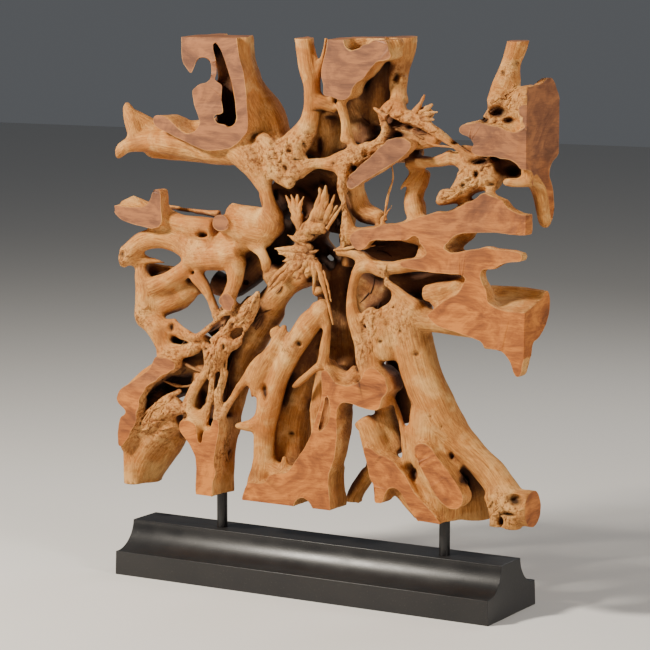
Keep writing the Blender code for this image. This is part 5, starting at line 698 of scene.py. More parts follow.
# Splinters at the middle of the root: x, z, depth, thickness in cm.
TWIGS = {
    "tuft_1": [(-4.3, 92.9, 3, 0.12), (-3.2, 91.2, 2.9, 0.5), (-2.1, 89.4, 2.8, 0.75),
               (-1, 87, 2.7, 1), (0.4, 84.6, 4.6, 1.0)],
    "tuft_2": [(-2.9, 93.1, 2.7, 0.2), (-2.2, 91.6, 2.7, 0.55), (-1.6, 89.4, 2.7, 0.8),
               (-0.6, 86, 2.6, 1), (0.4, 84.6, 4.6, 1.0)],
    "tuft_3": [(-1.2, 93.2, 2.9, 0.25), (-1.2, 91.4, 2.7, 0.6), (-1, 89, 2.7, 0.8),
               (-0.2, 86, 2.6, 0.9), (0.4, 84.6, 4.6, 1.0)],
    "tuft_4": [(0.5, 92.8, 2.5, 0.1), (-0.3, 91.2, 2.6, 0.4), (-0.8, 89.2, 2.6, 0.6),
               (-0.4, 87, 2.6, 0.7), (0.4, 84.6, 4.6, 1.0)],
    "tuft_5": [(-3.4, 90.4, 3.2, 0.2), (-2.6, 89, 3, 0.5), (-1.8, 87.6, 2.8, 0.8),
               (0.4, 84.6, 4.6, 1.0)],
    "flame_1": [(4.7, 95, 3, 0.25), (4.8, 93, 2.8, 0.65), (4.2, 90.8, 2.7, 0.9),
                (3.4, 88.2, 2.6, 1.1), (3.4, 85.6, 4.8, 1.0)],
    "flame_2": [(6.3, 95.6, 3, 0.2), (6, 93.2, 2.7, 0.75), (5.2, 90.6, 2.6, 1.1),
                (4.4, 87.8, 2.6, 1.3), (3.4, 85.6, 4.8, 1.0)],
    "flame_3": [(7.1, 93.6, 3.2, 0.12), (6.6, 92.2, 2.9, 0.5), (6, 90.2, 2.7, 0.8),
                (5.2, 87.8, 2.6, 1), (3.4, 85.6, 4.8, 1.0)],
    "flame_4": [(8.6, 93.6, 3, 0.15), (7.8, 91.6, 2.8, 0.5), (6.9, 89.4, 2.6, 0.8),
                (5.9, 87.4, 2.6, 1), (3.4, 85.6, 4.8, 1.0)],
    "flame_5": [(9.3, 91.2, 3.2, 0.15), (8.4, 89.8, 3, 0.45), (7.4, 88.4, 2.8, 0.65),
                (6.2, 86.8, 2.8, 0.8), (3.4, 85.6, 4.8, 1.0)],
    "needle": [(11.3, 92.2, 2.4, 0.15), (9.7, 90.1, 2.2, 0.3), (8.2, 88.1, 2, 0.35),
               (6.6, 85.8, 2, 0.4)],
    "lump": [(-0.4, 84.2, 2.4, 1.1), (1.6, 85, 2, 1.5), (4, 85.8, 2.2, 1.4), (6.4, 86, 2.8, 1)],
    "lump_low": [(-0.6, 83.2, 2.6, 0.8), (1.2, 83.6, 2.3, 1), (3, 84.4, 2.6, 0.8)],
    "ray_1": [(-3.8, 83.8, 3, 0.1), (-2, 83.1, 2.8, 0.5), (0, 82.2, 2.8, 0.8),
              (2.4, 81.2, 3, 0.7), (1, 79.6, 4.6, 0.8)],
    "ray_2": [(-7.2, 80.5, 3, 0.15), (-4.6, 80.6, 2.7, 0.6), (-1.6, 80.7, 2.6, 0.9),
              (1.4, 80.4, 2.8, 0.9), (1, 79.6, 4.6, 0.8)],
    "ray_3": [(-6.2, 79.4, 2.9, 0.15), (-4, 79.5, 2.6, 0.6), (-1.4, 79.6, 2.5, 0.9),
              (1.6, 79.4, 2.8, 0.8), (1, 79.6, 4.6, 0.8)],
    "ray_4": [(-5.2, 77.7, 2.9, 0.15), (-3.2, 78.2, 2.6, 0.55), (-0.8, 78.6, 2.5, 0.8),
              (1.8, 78.8, 2.8, 0.8), (1, 79.6, 4.6, 0.8)],
    "ray_5": [(4.4, 80.8, 3.2, 0.12), (3, 80.3, 2.9, 0.45), (1, 79.6, 2.7, 0.6),
               (1, 79.6, 4.6, 0.8)],
    "ray_6": [(4, 78.9, 3.2, 0.12), (2.8, 78.6, 2.9, 0.5), (1, 78.4, 2.7, 0.6),
               (1, 79.6, 4.6, 0.8)],
    "fan_1": [(-9.4, 70.2, 2.6, 0.15), (-6.2, 73.2, 2.4, 0.5), (-3.2, 75.8, 2.4, 0.7),
              (0.4, 78.4, 2.6, 0.8), (1, 79.6, 4.6, 0.8)],
    "fan_2": [(-5.4, 72.2, 2.7, 0.12), (-3.8, 74.3, 2.5, 0.45), (-1.8, 76.4, 2.4, 0.6),
              (0.8, 78.4, 2.6, 0.7), (1, 79.6, 4.6, 0.8)],
    "fan_3": [(-1.6, 73.6, 2.8, 0.12), (-0.6, 75.2, 2.6, 0.5), (0.5, 76.8, 2.5, 0.7),
              (1.6, 78.6, 2.6, 0.7), (1, 79.6, 4.6, 0.8)],
    "fan_5": [(8.2, 64, 3, 0.2), (7, 68.4, 2.8, 0.4), (5.8, 72.6, 2.6, 0.6),
              (4.2, 77.2, 2.6, 0.8), (3, 78.6, 4.6, 0.8)],
    "fan_6": [(3, 70.6, 3, 0.15), (3.2, 73, 2.8, 0.5), (3.4, 75.4, 2.6, 0.8),
              (3.2, 77.8, 2.6, 0.9), (3, 78.6, 4.6, 0.8)],
    "strand_right": [(8.4, 81, 3, 0.3), (11, 81.4, 2.6, 0.45), (14.6, 82.2, 2.4, 0.4),
                     (19, 82.6, 2.6, 0.2)],
    "flake_tip": [(31.4, 116.6, 3.6, 0.2), (30.6, 115, 3.4, 0.7), (29.2, 112.8, 3.4, 1)],
    "flake_side": [(34.6, 112.9, 3.6, 0.2), (32.8, 112.6, 3.4, 0.6), (30.4, 111.6, 3.4, 0.9)],
    "flake_mid": [(33.4, 114.6, 3.4, 0.2), (32, 113.6, 3.2, 0.7), (30.2, 112.4, 3.4, 0.9)],
    "flake_low": [(33.8, 111.2, 3.4, 0.2), (32.2, 111.2, 3.2, 0.6), (30.2, 110.8, 3.4, 0.8)],
    "flake_left": [(18.6, 113.4, 2.8, 0.2), (20, 112.6, 2.6, 0.6), (22, 111.4, 2.6, 0.8)],
    "gully_1": [(-38.6, 55.6, 4.4, 0.12), (-33, 52.4, 4.2, 0.35), (-27.4, 50.4, 4, 0.4),
                (-21.6, 50.6, 4, 0.2)],
    "gully_2": [(-41, 48.6, 4.2, 0.1), (-36, 46.8, 4, 0.35), (-31.4, 46.6, 3.8, 0.4),
                (-27.4, 48.4, 3.6, 0.3)],
    "thread": [(23, 101.6, 3.6, 0.12), (23.6, 98, 4.2, 0.22), (22.4, 94.4, 4.6, 0.22),
               (21.6, 90, 4.6, 0.3),
               (21.8, 88.4, 4.4, 0.4)],
    "thread_top": [(30.6, 106.6, 3, 0.12), (34, 105.6, 2.8, 0.25), (37.4, 105.4, 2.8, 0.25),
                   (41, 104.8, 2.8, 0.15)],
}

# Ragged wood: the line it lies along, how wide it spreads, how many splinters,
# the way they point in degrees, how far that wanders, and their longest length.
RAGGED = [
    ((-30, 58), (-13, 67), 5.0, 46, 38, 20, 5.5), ((-24.5, 57), (-23, 42), 4.0, 30, 80, 14, 7.0),
    ((-46, 41), (-31, 49), 3.4, 34, 30, 16, 6.0), ((-46, 35), (-35, 41), 3.6, 22, 40, 20, 4.5),
    ((-17, 67), (-9, 72), 2.6, 16, 46, 14, 5.5), ((18, 106), (34, 111), 4.0, 30, 8, 40, 3.4),
    ((35, 95), (47, 101), 3.6, 28, 28, 24, 3.8), ((9.6, 84), (12, 93), 1.6, 16, 76, 20, 4.0),
    ((10, 96), (20, 104), 3.0, 18, 42, 36, 2.6), ((-4, 77), (3, 82), 3.4, 12, 30, 36, 3.0),
    ((13, 81), (27, 83.4), 1.2, 12, 4, 10, 5.5), ((31, 84.4), (38, 83), 2.0, 10, 10, 24, 2.8),
    ((44, 111.5), (53, 115), 3.4, 26, 34, 36, 3.2), ((49, 23.5), (54, 27), 3.0, 18, 40, 60, 2.2),
    ((15, 57), (21, 76), 2.6, 14, 70, 24, 4.5), ((-12, 101), (2, 104), 5.0, 12, 30, 80, 2.0),
    ((-20, 35), (-24, 27), 1.6, 8, 82, 8, 6.0), ((-52, 60), (-44, 63), 2.6, 8, 20, 30, 3.0),
]

# Knobbly wood: middle, reach, height of the lumps in mm.
KNOBBLY = [
    ((-6, 101), 8.5, 4.6), ((1, 103), 6, 4.0), ((-2, 97), 5, 4.0), ((14, 101), 7, 3.6),
    ((22, 110), 7, 3.4), ((-20, 60), 9, 3.6), ((-40, 35), 9, 2.6), ((42, 98), 8, 3.2),
    ((52, 27), 5.5, 4.0), ((25, 66), 8, 2.4), ((3, 82), 9, 2.6), ((-49, 76), 4, 3.0),
    ((24.5, 121), 4, 3.4), ((-33, 42), 5, 3.4), ((52, 122), 3.5, 2.8), ((-43, 61), 5, 2.2),
    ((49, 113), 6, 5.0), ((18, 66), 5, 2.6), ((16, 126.5), 4, 2.6), ((-36, 52), 6, 3.4),
    ((14, 50), 4, 3.0), ((-4, 58), 4, 2.4), ((-29, 80), 7, 1.6), ((46, 100), 5, 3.4),
]

# Small holes and knots that go in from the front: place, reach across and up, how far in, cm.
PITS = [
    (-27.2, 82.7, 1.5, 0.8, 2.2), (13.2, 100, 0.9, 0.8, 1.8), (41.5, 31.2, 1.3, 1.3, 2.2),
    (-8.7, 26, 1.3, 0.45, 0.8), (24.3, 120.2, 0.8, 1.2, 1.2), (-10, 46.8, 0.8, 2.0, 1.6),
    (20.6, 34.4, 0.7, 0.6, 1.2), (29, 31.4, 0.9, 1.6, 1.6), (54.4, 28.1, 1.9, 1.3, 2.4),
    (52.7, 24.9, 1.9, 0.45, 1.6), (51, 23.2, 0.7, 1.2, 1.6), (58.2, 29, 1.2, 0.3, 0.5),
    (-35.8, 60.3, 0.9, 1.2, 1.2), (-33, 57, 2.2, 0.6, 1.4), (-27.2, 44.2, 1.1, 2.0, 1.8),
    (-32.4, 39.4, 0.7, 1.0, 1.6), (45, 102.3, 2.4, 0.7, 2.0), (44.2, 99.6, 0.8, 0.9, 1.6),
    (52.8, 100.8, 2.0, 1.1, 2.4), (47.8, 97.6, 1.2, 0.5, 1.0), (39, 106.3, 1.0, 0.5, 1.2),
    (42, 106.8, 1.1, 0.5, 1.2), (2.2, 74, 0.7, 1.1, 1.4), (-1, 59, 0.9, 0.8, 1.2),
    (15, 51.2, 0.7, 0.5, 0.9), (-3.5, 103, 0.7, 0.6, 1.0), (0.4, 104.6, 0.6, 0.7, 1.0),
    (-4.3, 99, 0.6, 1.0, 0.9), (-1.5, 101.2, 1.6, 0.35, 0.9), (-7, 102.2, 0.5, 0.4, 0.7),
    (6.9, 121.9, 0.3, 0.45, 0.6), (33.2, 45.2, 0.4, 0.3, 0.5), (36, 43, 0.35, 0.4, 0.5),
    (20.4, 61, 0.8, 0.6, 0.8), (25.5, 63.8, 0.5, 0.5, 0.7), (23.8, 69, 0.4, 0.4, 0.6),
    (29.5, 58.8, 0.9, 0.7, 0.7), (38.6, 36.6, 0.7, 0.8, 1.1), (-49.5, 76.8, 0.9, 1.0, 1.0),
    (-46.2, 85.8, 0.8, 0.35, 0.6), (-11.6, 104.8, 0.5, 0.4, 0.6), (16.3, 102.6, 0.6, 0.35, 0.8),
    (12.4, 96.6, 0.7, 0.35, 0.7), (56.7, 109.4, 0.5, 0.5, 0.6), (58, 109.8, 0.4, 1.1, 0.7),
    (49.6, 113.4, 2.4, 1.3, 2.4), (46.2, 111.4, 1.3, 0.7, 1.4), (52, 111.6, 1.6, 0.8, 1.8),
    (-41, 33.8, 0.5, 0.4, 0.6), (-44.8, 36.5, 0.4, 0.5, 0.6), (50.6, 121.8, 0.8, 0.7, 0.8),
    (53.8, 124, 0.6, 0.7, 0.8), (-16, 108.2, 0.3, 0.4, 0.4), (4.4, 112.4, 1.8, 0.4, 1.0),
    (7.4, 111, 1.8, 0.45, 1.2), (4.7, 104.4, 0.6, 2.0, 1.4), (24.6, 107.6, 1.6, 0.8, 1.6),
    (20.8, 112.4, 0.9, 0.5, 1.0), (27.6, 109.2, 0.8, 0.5, 1.0), (-23.4, 60.4, 0.8, 0.5, 1.0),
    (-19, 62, 0.6, 0.9, 1.0), (-26.4, 55.8, 0.9, 0.5, 1.0), (-21.4, 56.8, 0.5, 0.8, 1.0),
    (-3, 38, 0.9, 0.4, 0.9), (-30, 63.4, 0.7, 0.5, 0.9), (8.2, 100.6, 0.5, 0.5, 0.8),
    (37.6, 100.6, 0.7, 0.6, 0.9), (41, 97, 0.6, 0.8, 0.9), (34.6, 97.4, 0.5, 0.6, 0.8),
]


def clear_scene():
    for obj in list(bpy.data.objects):
        bpy.data.objects.remove(obj, do_unlink=True)


def sighted(x, z, depth):
    """The point that lines up with x, z on the front plane and lies that far behind it."""
    on_face = Vector((x * CM, FRONT_Y, z * CM))
    run = (FRONT_Y + depth * CM - SIGHT.y) / (FRONT_Y - SIGHT.y)
    return SIGHT + (on_face - SIGHT) * run


def rounded(points, steps=4):
    """A run of points eased into a curve that still passes through each of them."""
    rows = [Vector(p) for p in points]
    rows = [rows[0]] + rows + [rows[-1]]
    eased = []
    for i in range(1, len(rows) - 2):
        a, b, c, d = rows[i - 1], rows[i], rows[i + 1], rows[i + 2]
        for k in range(steps):
            t = k / steps
            eased.append(0.5 * (2 * b + (c - a) * t + (2 * a - 5 * b + 4 * c - d) * t * t
                                + (3 * b - a - 3 * c + d) * t * t * t))
    eased.append(rows[-2])
    return eased


def link(obj):
    bpy.context.scene.collection.objects.link(obj)
    return obj


def mesh_object(name, bm):
    mesh = bpy.data.meshes.new(name)
    bm.to_mesh(mesh)
    bm.free()
    return link(bpy.data.objects.new(name, mesh))


def evaluated_mesh(obj):
    graph = bpy.context.evaluated_depsgraph_get()
    graph.update()
    return bpy.data.meshes.new_from_object(obj.evaluated_get(graph))


def bake(obj):
    """The object with its modifiers made real."""
    mesh = evaluated_mesh(obj)
    old = obj.data
    obj.modifiers.clear()
    obj.data = mesh
    if old.users == 0:
        bpy.data.meshes.remove(old)
    return obj


def boolean(obj, cutter, operation, solver="MANIFOLD"):
    modifier = obj.modifiers.new(operation.lower(), "BOOLEAN")
    modifier.operation = operation
    modifier.solver = solver
    modifier.object = cutter
    bake(obj)
    mesh = cutter.data
    bpy.data.objects.remove(cutter, do_unlink=True)
    bpy.data.meshes.remove(mesh)


def add_mesh(bm, mesh, matrix=None):
    if matrix is not None:
        mesh.transform(matrix)
    bm.from_mesh(mesh)
    bpy.data.meshes.remove(mesh)


def root_runs():
    """Every root as eased spots: place and thickness."""
    runs = []
    for run in (*ROOTS.values(), *WALLS.values()):
        points = [(*sighted(x, z, depth), radius * CM) for x, z, depth, radius in run]
        runs.append(rounded(points))
    return runs


def add_roots(bm, runs, roundness):
    """Every root as a bevelled run in one curve, turned into a mesh."""
    curve = bpy.data.curves.new("roots", "CURVE")
    curve.dimensions = "3D"
    curve.bevel_depth = 1.0
    curve.bevel_resolution = roundness
    curve.use_fill_caps = True
    for spots in runs:
        spline = curve.splines.new("POLY")
        spline.points.add(len(spots) - 1)
        for point, spot in zip(spline.points, spots):
            point.co = (spot[0], spot[1], spot[2], 1.0)
            point.radius = max(spot[3], 0.0006)
    obj = link(bpy.data.objects.new("roots", curve))
    add_mesh(bm, evaluated_mesh(obj))
    bpy.data.objects.remove(obj, do_unlink=True)


def outline_mesh(outline, thickness):
    """A flat outline filled and extruded to both sides."""
    curve = bpy.data.curves.new("outline", "CURVE")
    curve.dimensions = "2D"
    curve.fill_mode = "BOTH"
    curve.extrude = thickness / 2
    spline = curve.splines.new("POLY")
    spline.points.add(len(outline) - 1)
    for point, (u, v) in zip(spline.points, outline):
        point.co = (u, v, 0.0, 1.0)
    spline.use_cyclic_u = True
    obj = link(bpy.data.objects.new("outline", curve))
    mesh = evaluated_mesh(obj)
    bpy.data.objects.remove(obj, do_unlink=True)
    return mesh


def add_faces(bm):
    upright = Matrix.Rotation(radians(90), 4, "X")
    for depth, outline in FACES.values():
        thickness = depth * CM + FACE_PROUD
        mesh = outline_mesh([(x * CM, z * CM) for x, z in outline], thickness)
        middle_y = FRONT_Y - FACE_PROUD + thickness / 2
        add_mesh(bm, mesh, Matrix.Translation((0, middle_y, 0)) @ upright)


def add_side_faces(bm):
    turn = Matrix(((0, 0, 1, 0), (1, 0, 0, 0), (0, 1, 0, 0), (0, 0, 0, 1)))
    for inner_x, outline in SIDE_FACES.values():
        thickness = RIGHT_X + FACE_PROUD - inner_x
        flat = [(FRONT_Y + depth * CM, z * CM) for depth, z in outline]
        add_mesh(bm, outline_mesh(flat, thickness),
                 Matrix.Translation((inner_x + thickness / 2, 0, 0)) @ turn)


def sight_prism(outline, near, far):
    """A prism that narrows along the sight lines, from one depth to another."""
    bm = bmesh.new()
    mouth = bm.faces.new([bm.verts.new(sighted(x, z, near)) for x, z in outline])
    back = bmesh.ops.extrude_face_region(bm, geom=[mouth], use_keep_orig=True)["geom"]
    ratio = (FRONT_Y + far * CM - SIGHT.y) / (FRONT_Y + near * CM - SIGHT.y)
    bmesh.ops.scale(bm, verts=[v for v in back if isinstance(v, bmesh.types.BMVert)],
                    vec=(ratio, ratio, ratio), space=Matrix.Translation(-SIGHT))
    bmesh.ops.triangulate(bm, faces=bm.faces, quad_method="BEAUTY", ngon_method="BEAUTY")
    bmesh.ops.recalc_face_normals(bm, faces=bm.faces)
    return mesh_object("mouth", bm)


def remeshed(obj, voxel, passes):
    remesh = obj.modifiers.new("voxel", "REMESH")
    remesh.mode = "VOXEL"
    remesh.voxel_size = voxel
    smooth = obj.modifiers.new("smooth", "SMOOTH")
    smooth.factor = 0.5
    smooth.iterations = passes
    return bake(obj)


def cut_mouths(obj):
    """Each mouth is cut on its own, so that neighbouring mouths may overlap."""
    for floor, outline in HOLLOWS.values():
        boolean(obj, sight_prism(outline, MOUTH_NEAR, floor), "DIFFERENCE")
    for outline in OPENINGS.values():
        boolean(obj, sight_prism(outline, MOUTH_NEAR, MOUTH_FAR), "DIFFERENCE")


def coordinates(mesh, what="co"):
    values = np.zeros(len(mesh.vertices) * 3, np.float32)
    mesh.vertices.foreach_get(what, values)
    return values.reshape(-1, 3)


def edge_ends(mesh):
    ends = np.zeros(len(mesh.edges) * 2, np.int32)
    mesh.edges.foreach_get("vertices", ends)
    return ends.reshape(-1, 2)


def keep_largest(obj):
    """Loose scraps and closed bubbles left by the cuts are dropped."""
    mesh = obj.data
    ends = edge_ends(mesh)
    label = np.arange(len(mesh.vertices))
    while True:
        low = np.minimum(label[ends[:, 0]], label[ends[:, 1]])
        new = label.copy()
        np.minimum.at(new, ends[:, 0], low)
        np.minimum.at(new, ends[:, 1], low)
        new = new[new]
        if (new == label).all():
            break
        label = new
    names, counts = np.unique(label, return_counts=True)
    loose = label != names[counts.argmax()]
    if not loose.any():
        return
    bm = bmesh.new()
    bm.from_mesh(mesh)
    bm.verts.ensure_lookup_table()
    bmesh.ops.delete(bm, geom=[bm.verts[i] for i in np.flatnonzero(loose)], context="VERTS")
    bm.to_mesh(mesh)
    bm.free()


def thin_to(obj, triangles):
    bm = bmesh.new()
    bm.from_mesh(obj.data)
    bmesh.ops.triangulate(bm, faces=bm.faces)
    bm.to_mesh(obj.data)
    bm.free()
    decimate = obj.modifiers.new("thin", "DECIMATE")
    decimate.ratio = min(1.0, triangles / len(obj.data.polygons))
    bake(obj)


def sawn_block():
    """The block that the saw left: the top falls a little to the front."""
    bm = bmesh.new()
    bmesh.ops.create_cube(bm, size=1.0)
    for vert in bm.verts:
        top = TOP_Z_FRONT if vert.co.y < 0 else TOP_Z_BACK
        vert.co.x = LEFT_X if vert.co.x < 0 else RIGHT_X
        vert.co.z = BOTTOM_Z if vert.co.z < 0 else top
        vert.co.y = FRONT_Y if vert.co.y < 0 else BACK_Y
    return mesh_object("sawn_block", bm)


def rod_hole(x, bottom, top):
    bm = bmesh.new()
    bmesh.ops.create_cone(bm, cap_ends=True, segments=HOLE_SIDES, radius1=ROD_RADIUS + GAP,
                          radius2=ROD_RADIUS + GAP, depth=top - bottom,
                          matrix=Matrix.Translation((x, ROD_Y, (top + bottom) / 2)))
    return mesh_object("rod_hole", bm)


def axis_rows(runs):
    """Close-set rows along every root: place, direction, two cross directions, length so far."""
    rows = []
    for index, spots in enumerate(runs):
        length = 3.7 * index
        side = None
        for a, b in zip(spots, spots[1:]):
            start, end = Vector(a[:3]), Vector(b[:3])
            step = end - start
            if step.length < 1e-6:
                continue
            along = step.normalized()
            if side is None:
                side = along.orthogonal().normalized()
            side = (side - along * side.dot(along)).normalized()
            cross = along.cross(side)
            count = max(1, round(step.length / ROW_STEP))
            for k in range(count):
                t = k / count
                rows.append((*(start + step * t), *along, *side, *cross,
                             length + step.length * t, a[3] + (b[3] - a[3]) * t, index))
            length += step.length
    return np.array(rows, np.float32)


def nearest_rows(points, rows):
    """For each point, the row of the root that it belongs to."""
    tree = KDTree(len(rows))
    for i, row in enumerate(rows):
        tree.insert(row[:3], i)
    tree.balance()
    picked = np.zeros(len(points), np.int64)
    reach = rows[:, 13].tolist()
    for i, point in enumerate(points.tolist()):
        best = 9.0
        for _, index, distance in tree.find_n(point, 10):
            if distance - reach[index] < best:
                best = distance - reach[index]
                picked[i] = index
    return picked


def places_in(points, near):
    """Places in the frames of their rows: along, across, across."""
    away = points - near[:, :3]
    along = (away * near[:, 3:6]).sum(1) + near[:, 12]
    return np.stack([along, (away * near[:, 6:9]).sum(1), (away * near[:, 9:12]).sum(1)], 1)


def spread(mesh, values, passes):
    """Values evened out over the surface."""
    ends = edge_ends(mesh)
    count = np.bincount(ends.ravel(), minlength=len(values)) + 1.0
    for _ in range(passes):
        total = values.copy()
        np.add.at(total, ends[:, 0], values[ends[:, 1]])
        np.add.at(total, ends[:, 1], values[ends[:, 0]])
        values = total / count
    return values


def layout_places(points):
    """Where each point lines up on the front plane, in cm, and how far it lies behind it."""
    run = (FRONT_Y - SIGHT.y) / (points[:, 1] - SIGHT.y)
    x = SIGHT.x + (points[:, 0] - SIGHT.x) * run
    z = SIGHT.z + (points[:, 2] - SIGHT.z) * run
    return x / CM, z / CM, (points[:, 1] - FRONT_Y) / CM


def knobbly_share(points):
    """How strongly each point belongs to the knobbly wood, in mm of lump."""
    x, z, depth = layout_places(points)
    share = np.zeros(len(points))
    for (cx, cz), reach, height in KNOBBLY:
        away = np.hypot(x - cx, z - cz) / reach
        share = np.maximum(share, height * np.clip(1.3 - 1.3 * away, 0, 1))
    return share * np.clip((FRONT_WOOD - depth) / FADE, 0, 1)


def ragged_share(points):
    """How strongly each point belongs to the ragged wood, 0 to 1."""
    x, z, depth = layout_places(points)
    share = np.zeros(len(points))
    for (x0, z0), (x1, z1), wide, *_ in RAGGED:
        length = hypot(x1 - x0, z1 - z0)
        along = ((x - x0) * (x1 - x0) + (z - z0) * (z1 - z0)) / length ** 2
        along = np.clip(along, 0, 1)
        away = np.hypot(x - x0 - along * (x1 - x0), z - z0 - along * (z1 - z0))
        share = np.maximum(share, np.clip(1.4 - away / wide, 0, 1))
    return share * np.clip((FRONT_WOOD - depth) / FADE, 0, 1)


def strand_noise(s, v, w, grain):
    """Noise drawn out along a strand: s runs along it, v and w across."""
    along, across, shift, _ = grain
    return noise.noise((s * along + shift, v * across, w * across))


def even_noise(x, y, z, scale):
    return noise.noise((x * scale, y * scale, z * scale))


def relief(places, points):
    """Height of the weathered fibres and lumps, in metres."""
    heights = np.zeros(len(points))
    knobs = knobbly_share(points)
    torn = ragged_share(points)
    rows = zip(places.tolist(), points.tolist(), knobs.tolist(), torn.tolist())
    for i, ((s, v, w), (x, y, z), knob, rag) in enumerate(rows):
        ridge = strand_noise(s, v, w, RIDGE)
        groove = strand_noise(s, v, w, GROOVE)
        lump = even_noise(x, y, z, LUMP[0])
        grit = even_noise(x, y, z, GRIT[0])
        heights[i] = RIDGE[3] * ridge + GROOVE[3] * groove + LUMP[1] * lump + GRIT[1] * grit
        if knob > 0:
            fine = BURL_SHARE * even_noise(x, y, z, BURL_FINE)
            heights[i] += knob * (even_noise(x, y, z, BURL_COARSE) + fine)
        if rag > 0:
            split = 1 - 2.4 * abs(strand_noise(s, v, w, SPLIT))
            heights[i] += rag * (SPLIT[3] * split + TORN_RIDGE * ridge)
    return heights * MM


def dig_pits(points, normals):
    """How far the small holes and knots go in at each point, in metres."""
    x, z, depth = layout_places(points)
    faces_front = normals @ np.array(SIGHT.normalized(), np.float32) > 0.1
    into = np.zeros(len(points))
    for cx, cz, wide, tall, deep in PITS:
        away = np.hypot((x - cx) / wide, (z - cz) / tall)
        share = np.clip(PIT_WALL - away, 0, 1) * faces_front * (depth < PIT_WOOD)
        share = share * share * (3 - 2 * share)
        into = np.maximum(into, share * deep * CM)
    return into


def pit_shade_marks(points):
    """Painted shade: 1 on the floor of each small hole, fading to its edge, less dark for shallow
    holes.
    """
    x, z, depth = layout_places(points)
    mark = np.zeros(len(points))
    for cx, cz, wide, tall, deep in PITS:
        away = np.hypot((x - cx) / wide, (z - cz) / tall)
        dark = min(1.0, 0.35 + deep * 0.5)
        mark = np.maximum(mark, np.clip(PIT_EDGE - away, 0, 1) * dark * (depth < FRONT_WOOD))
    return mark


def weather(obj, rows):
    """Fibres, grooves, lumps and small holes worked into the voxel surface."""
    mesh = obj.data
    points = coordinates(mesh)
    normals = coordinates(mesh, "normal")
    places = places_in(points, rows[nearest_rows(points, rows)])
    heights = spread(mesh, relief(places, points), 1)
    into = dig_pits(points, normals)
    inward = Vector((0.0, 1.0, 0.0)) * 0.6 - SIGHT.normalized() * 0.4
    moved = points + normals * heights[:, None] + np.array(inward.normalized()) * into[:, None]
    mesh.vertices.foreach_set("co", moved.astype(np.float32).ravel())
    mesh.update()


def saw_distances(points):
    """How far each point lies from each of the planes that the saw left."""
    rise = (TOP_Z_BACK - TOP_Z_FRONT) / (BACK_Y - FRONT_Y)
    x, y, z = points[:, 0], points[:, 1], points[:, 2]
    return np.abs(np.stack([y - FRONT_Y, y - BACK_Y, x - LEFT_X, x - RIGHT_X, z - BOTTOM_Z,
                            z - TOP_Z_FRONT - rise * (y - FRONT_Y)], axis=1))


def flatten(face, plane):
    """Brings a sawn face's corners exactly into its plane: front, back, left, right or bottom."""
    for vert in face.verts:
        if plane < 2:
            vert.co.y = (FRONT_Y, BACK_Y)[plane]
        elif plane < 4:
            vert.co.x = (LEFT_X, RIGHT_X)[plane - 2]
        elif plane == 4:
            vert.co.z = BOTTOM_Z


def rim_sawn_faces(obj):
    """Every sawn face gets a narrow band along its outline, which the material paints paler; marks
    the faces and the band.
    """
    bm = bmesh.new()
    bm.from_mesh(obj.data)
    bmesh.ops.dissolve_degenerate(bm, dist=SLIVER, edges=bm.edges)
    bmesh.ops.triangulate(bm, faces=bm.faces)
    flat = bm.faces.layers.float.new("sawn")
    rim = bm.verts.layers.float.new("rim")
    bm.verts.index_update()
    near = saw_distances(np.array([v.co for v in bm.verts])) < SAW_TOLERANCE
    sawn = []
    for face in bm.faces:
        planes = near[[v.index for v in face.verts]].all(axis=0)
        if planes.any():
            sawn.append(face)
            flatten(face, int(planes.argmax()))
    inner = bmesh.ops.inset_region(bm, faces=sawn, thickness=SAWN_RIM_WIDTH, depth=0.0,
                                   use_boundary=True, use_even_offset=False)
    for face in bm.faces:
        face.smooth = True
    for face in sawn + inner["faces"]:
        face[flat] = 1.0
        face.smooth = False
    outer = {v for f in inner["faces"] for v in f.verts} - {v for f in sawn for v in f.verts}
    for vert in outer:
        vert[rim] = 1.0
    bm.to_mesh(obj.data)
    bm.free()


def sky_rays(count):
    """Directions spread over the upper half of a ball."""
    rays = []
    for i in range(count):
        up = sqrt((i + 0.5) / count)
        turn = i * pi * (3 - sqrt(5))
        flat = sqrt(1 - up * up)
        rays.append(Vector((flat * cos(turn), flat * sin(turn), up)))
    return rays


def enclosure(obj):
    """How walled-in each point of the surface is: 0 in the open, 1 deep in a hollow."""
    mesh = obj.data
    points = coordinates(mesh)
    normals = coordinates(mesh, "normal")
    tree = BVHTree.FromObject(obj, bpy.context.evaluated_depsgraph_get())
    rays = sky_rays(SKY_RAYS)
    shut = np.zeros(len(points))
    for i, (point, normal) in enumerate(zip(points.tolist(), normals.tolist())):
        normal = Vector(normal)
        turn = normal.to_track_quat("Z", "Y")
        start = Vector(point) + normal * 0.002
        met = 0.0
        for ray in rays:
            distance = tree.ray_cast(start, turn @ ray, SKY_REACH)[3]
            if distance is not None:
                met += 1.0 - FAR_WALL * distance / SKY_REACH
        shut[i] = met / SKY_RAYS
    return shut


def dark_wood_and_hollow_shade(shut, points):
    """How much painted shade each point gets, partly standing for darker inner wood: walled in,
    and far behind the front.
    """
    depth = layout_places(points)[2]
    darker = HOLLOW_SHADE_START + HOLLOW_SHADE_GROWTH * np.clip(depth - 1, 0, FRONT_WOOD)
    return np.clip((shut - OPEN_SHARE) * darker, 0, 1)


def keep_point_values(mesh, name, values):
    attribute = mesh.attributes.new(name, "FLOAT", "POINT")
    attribute.data.foreach_set("value", np.asarray(values, np.float32))


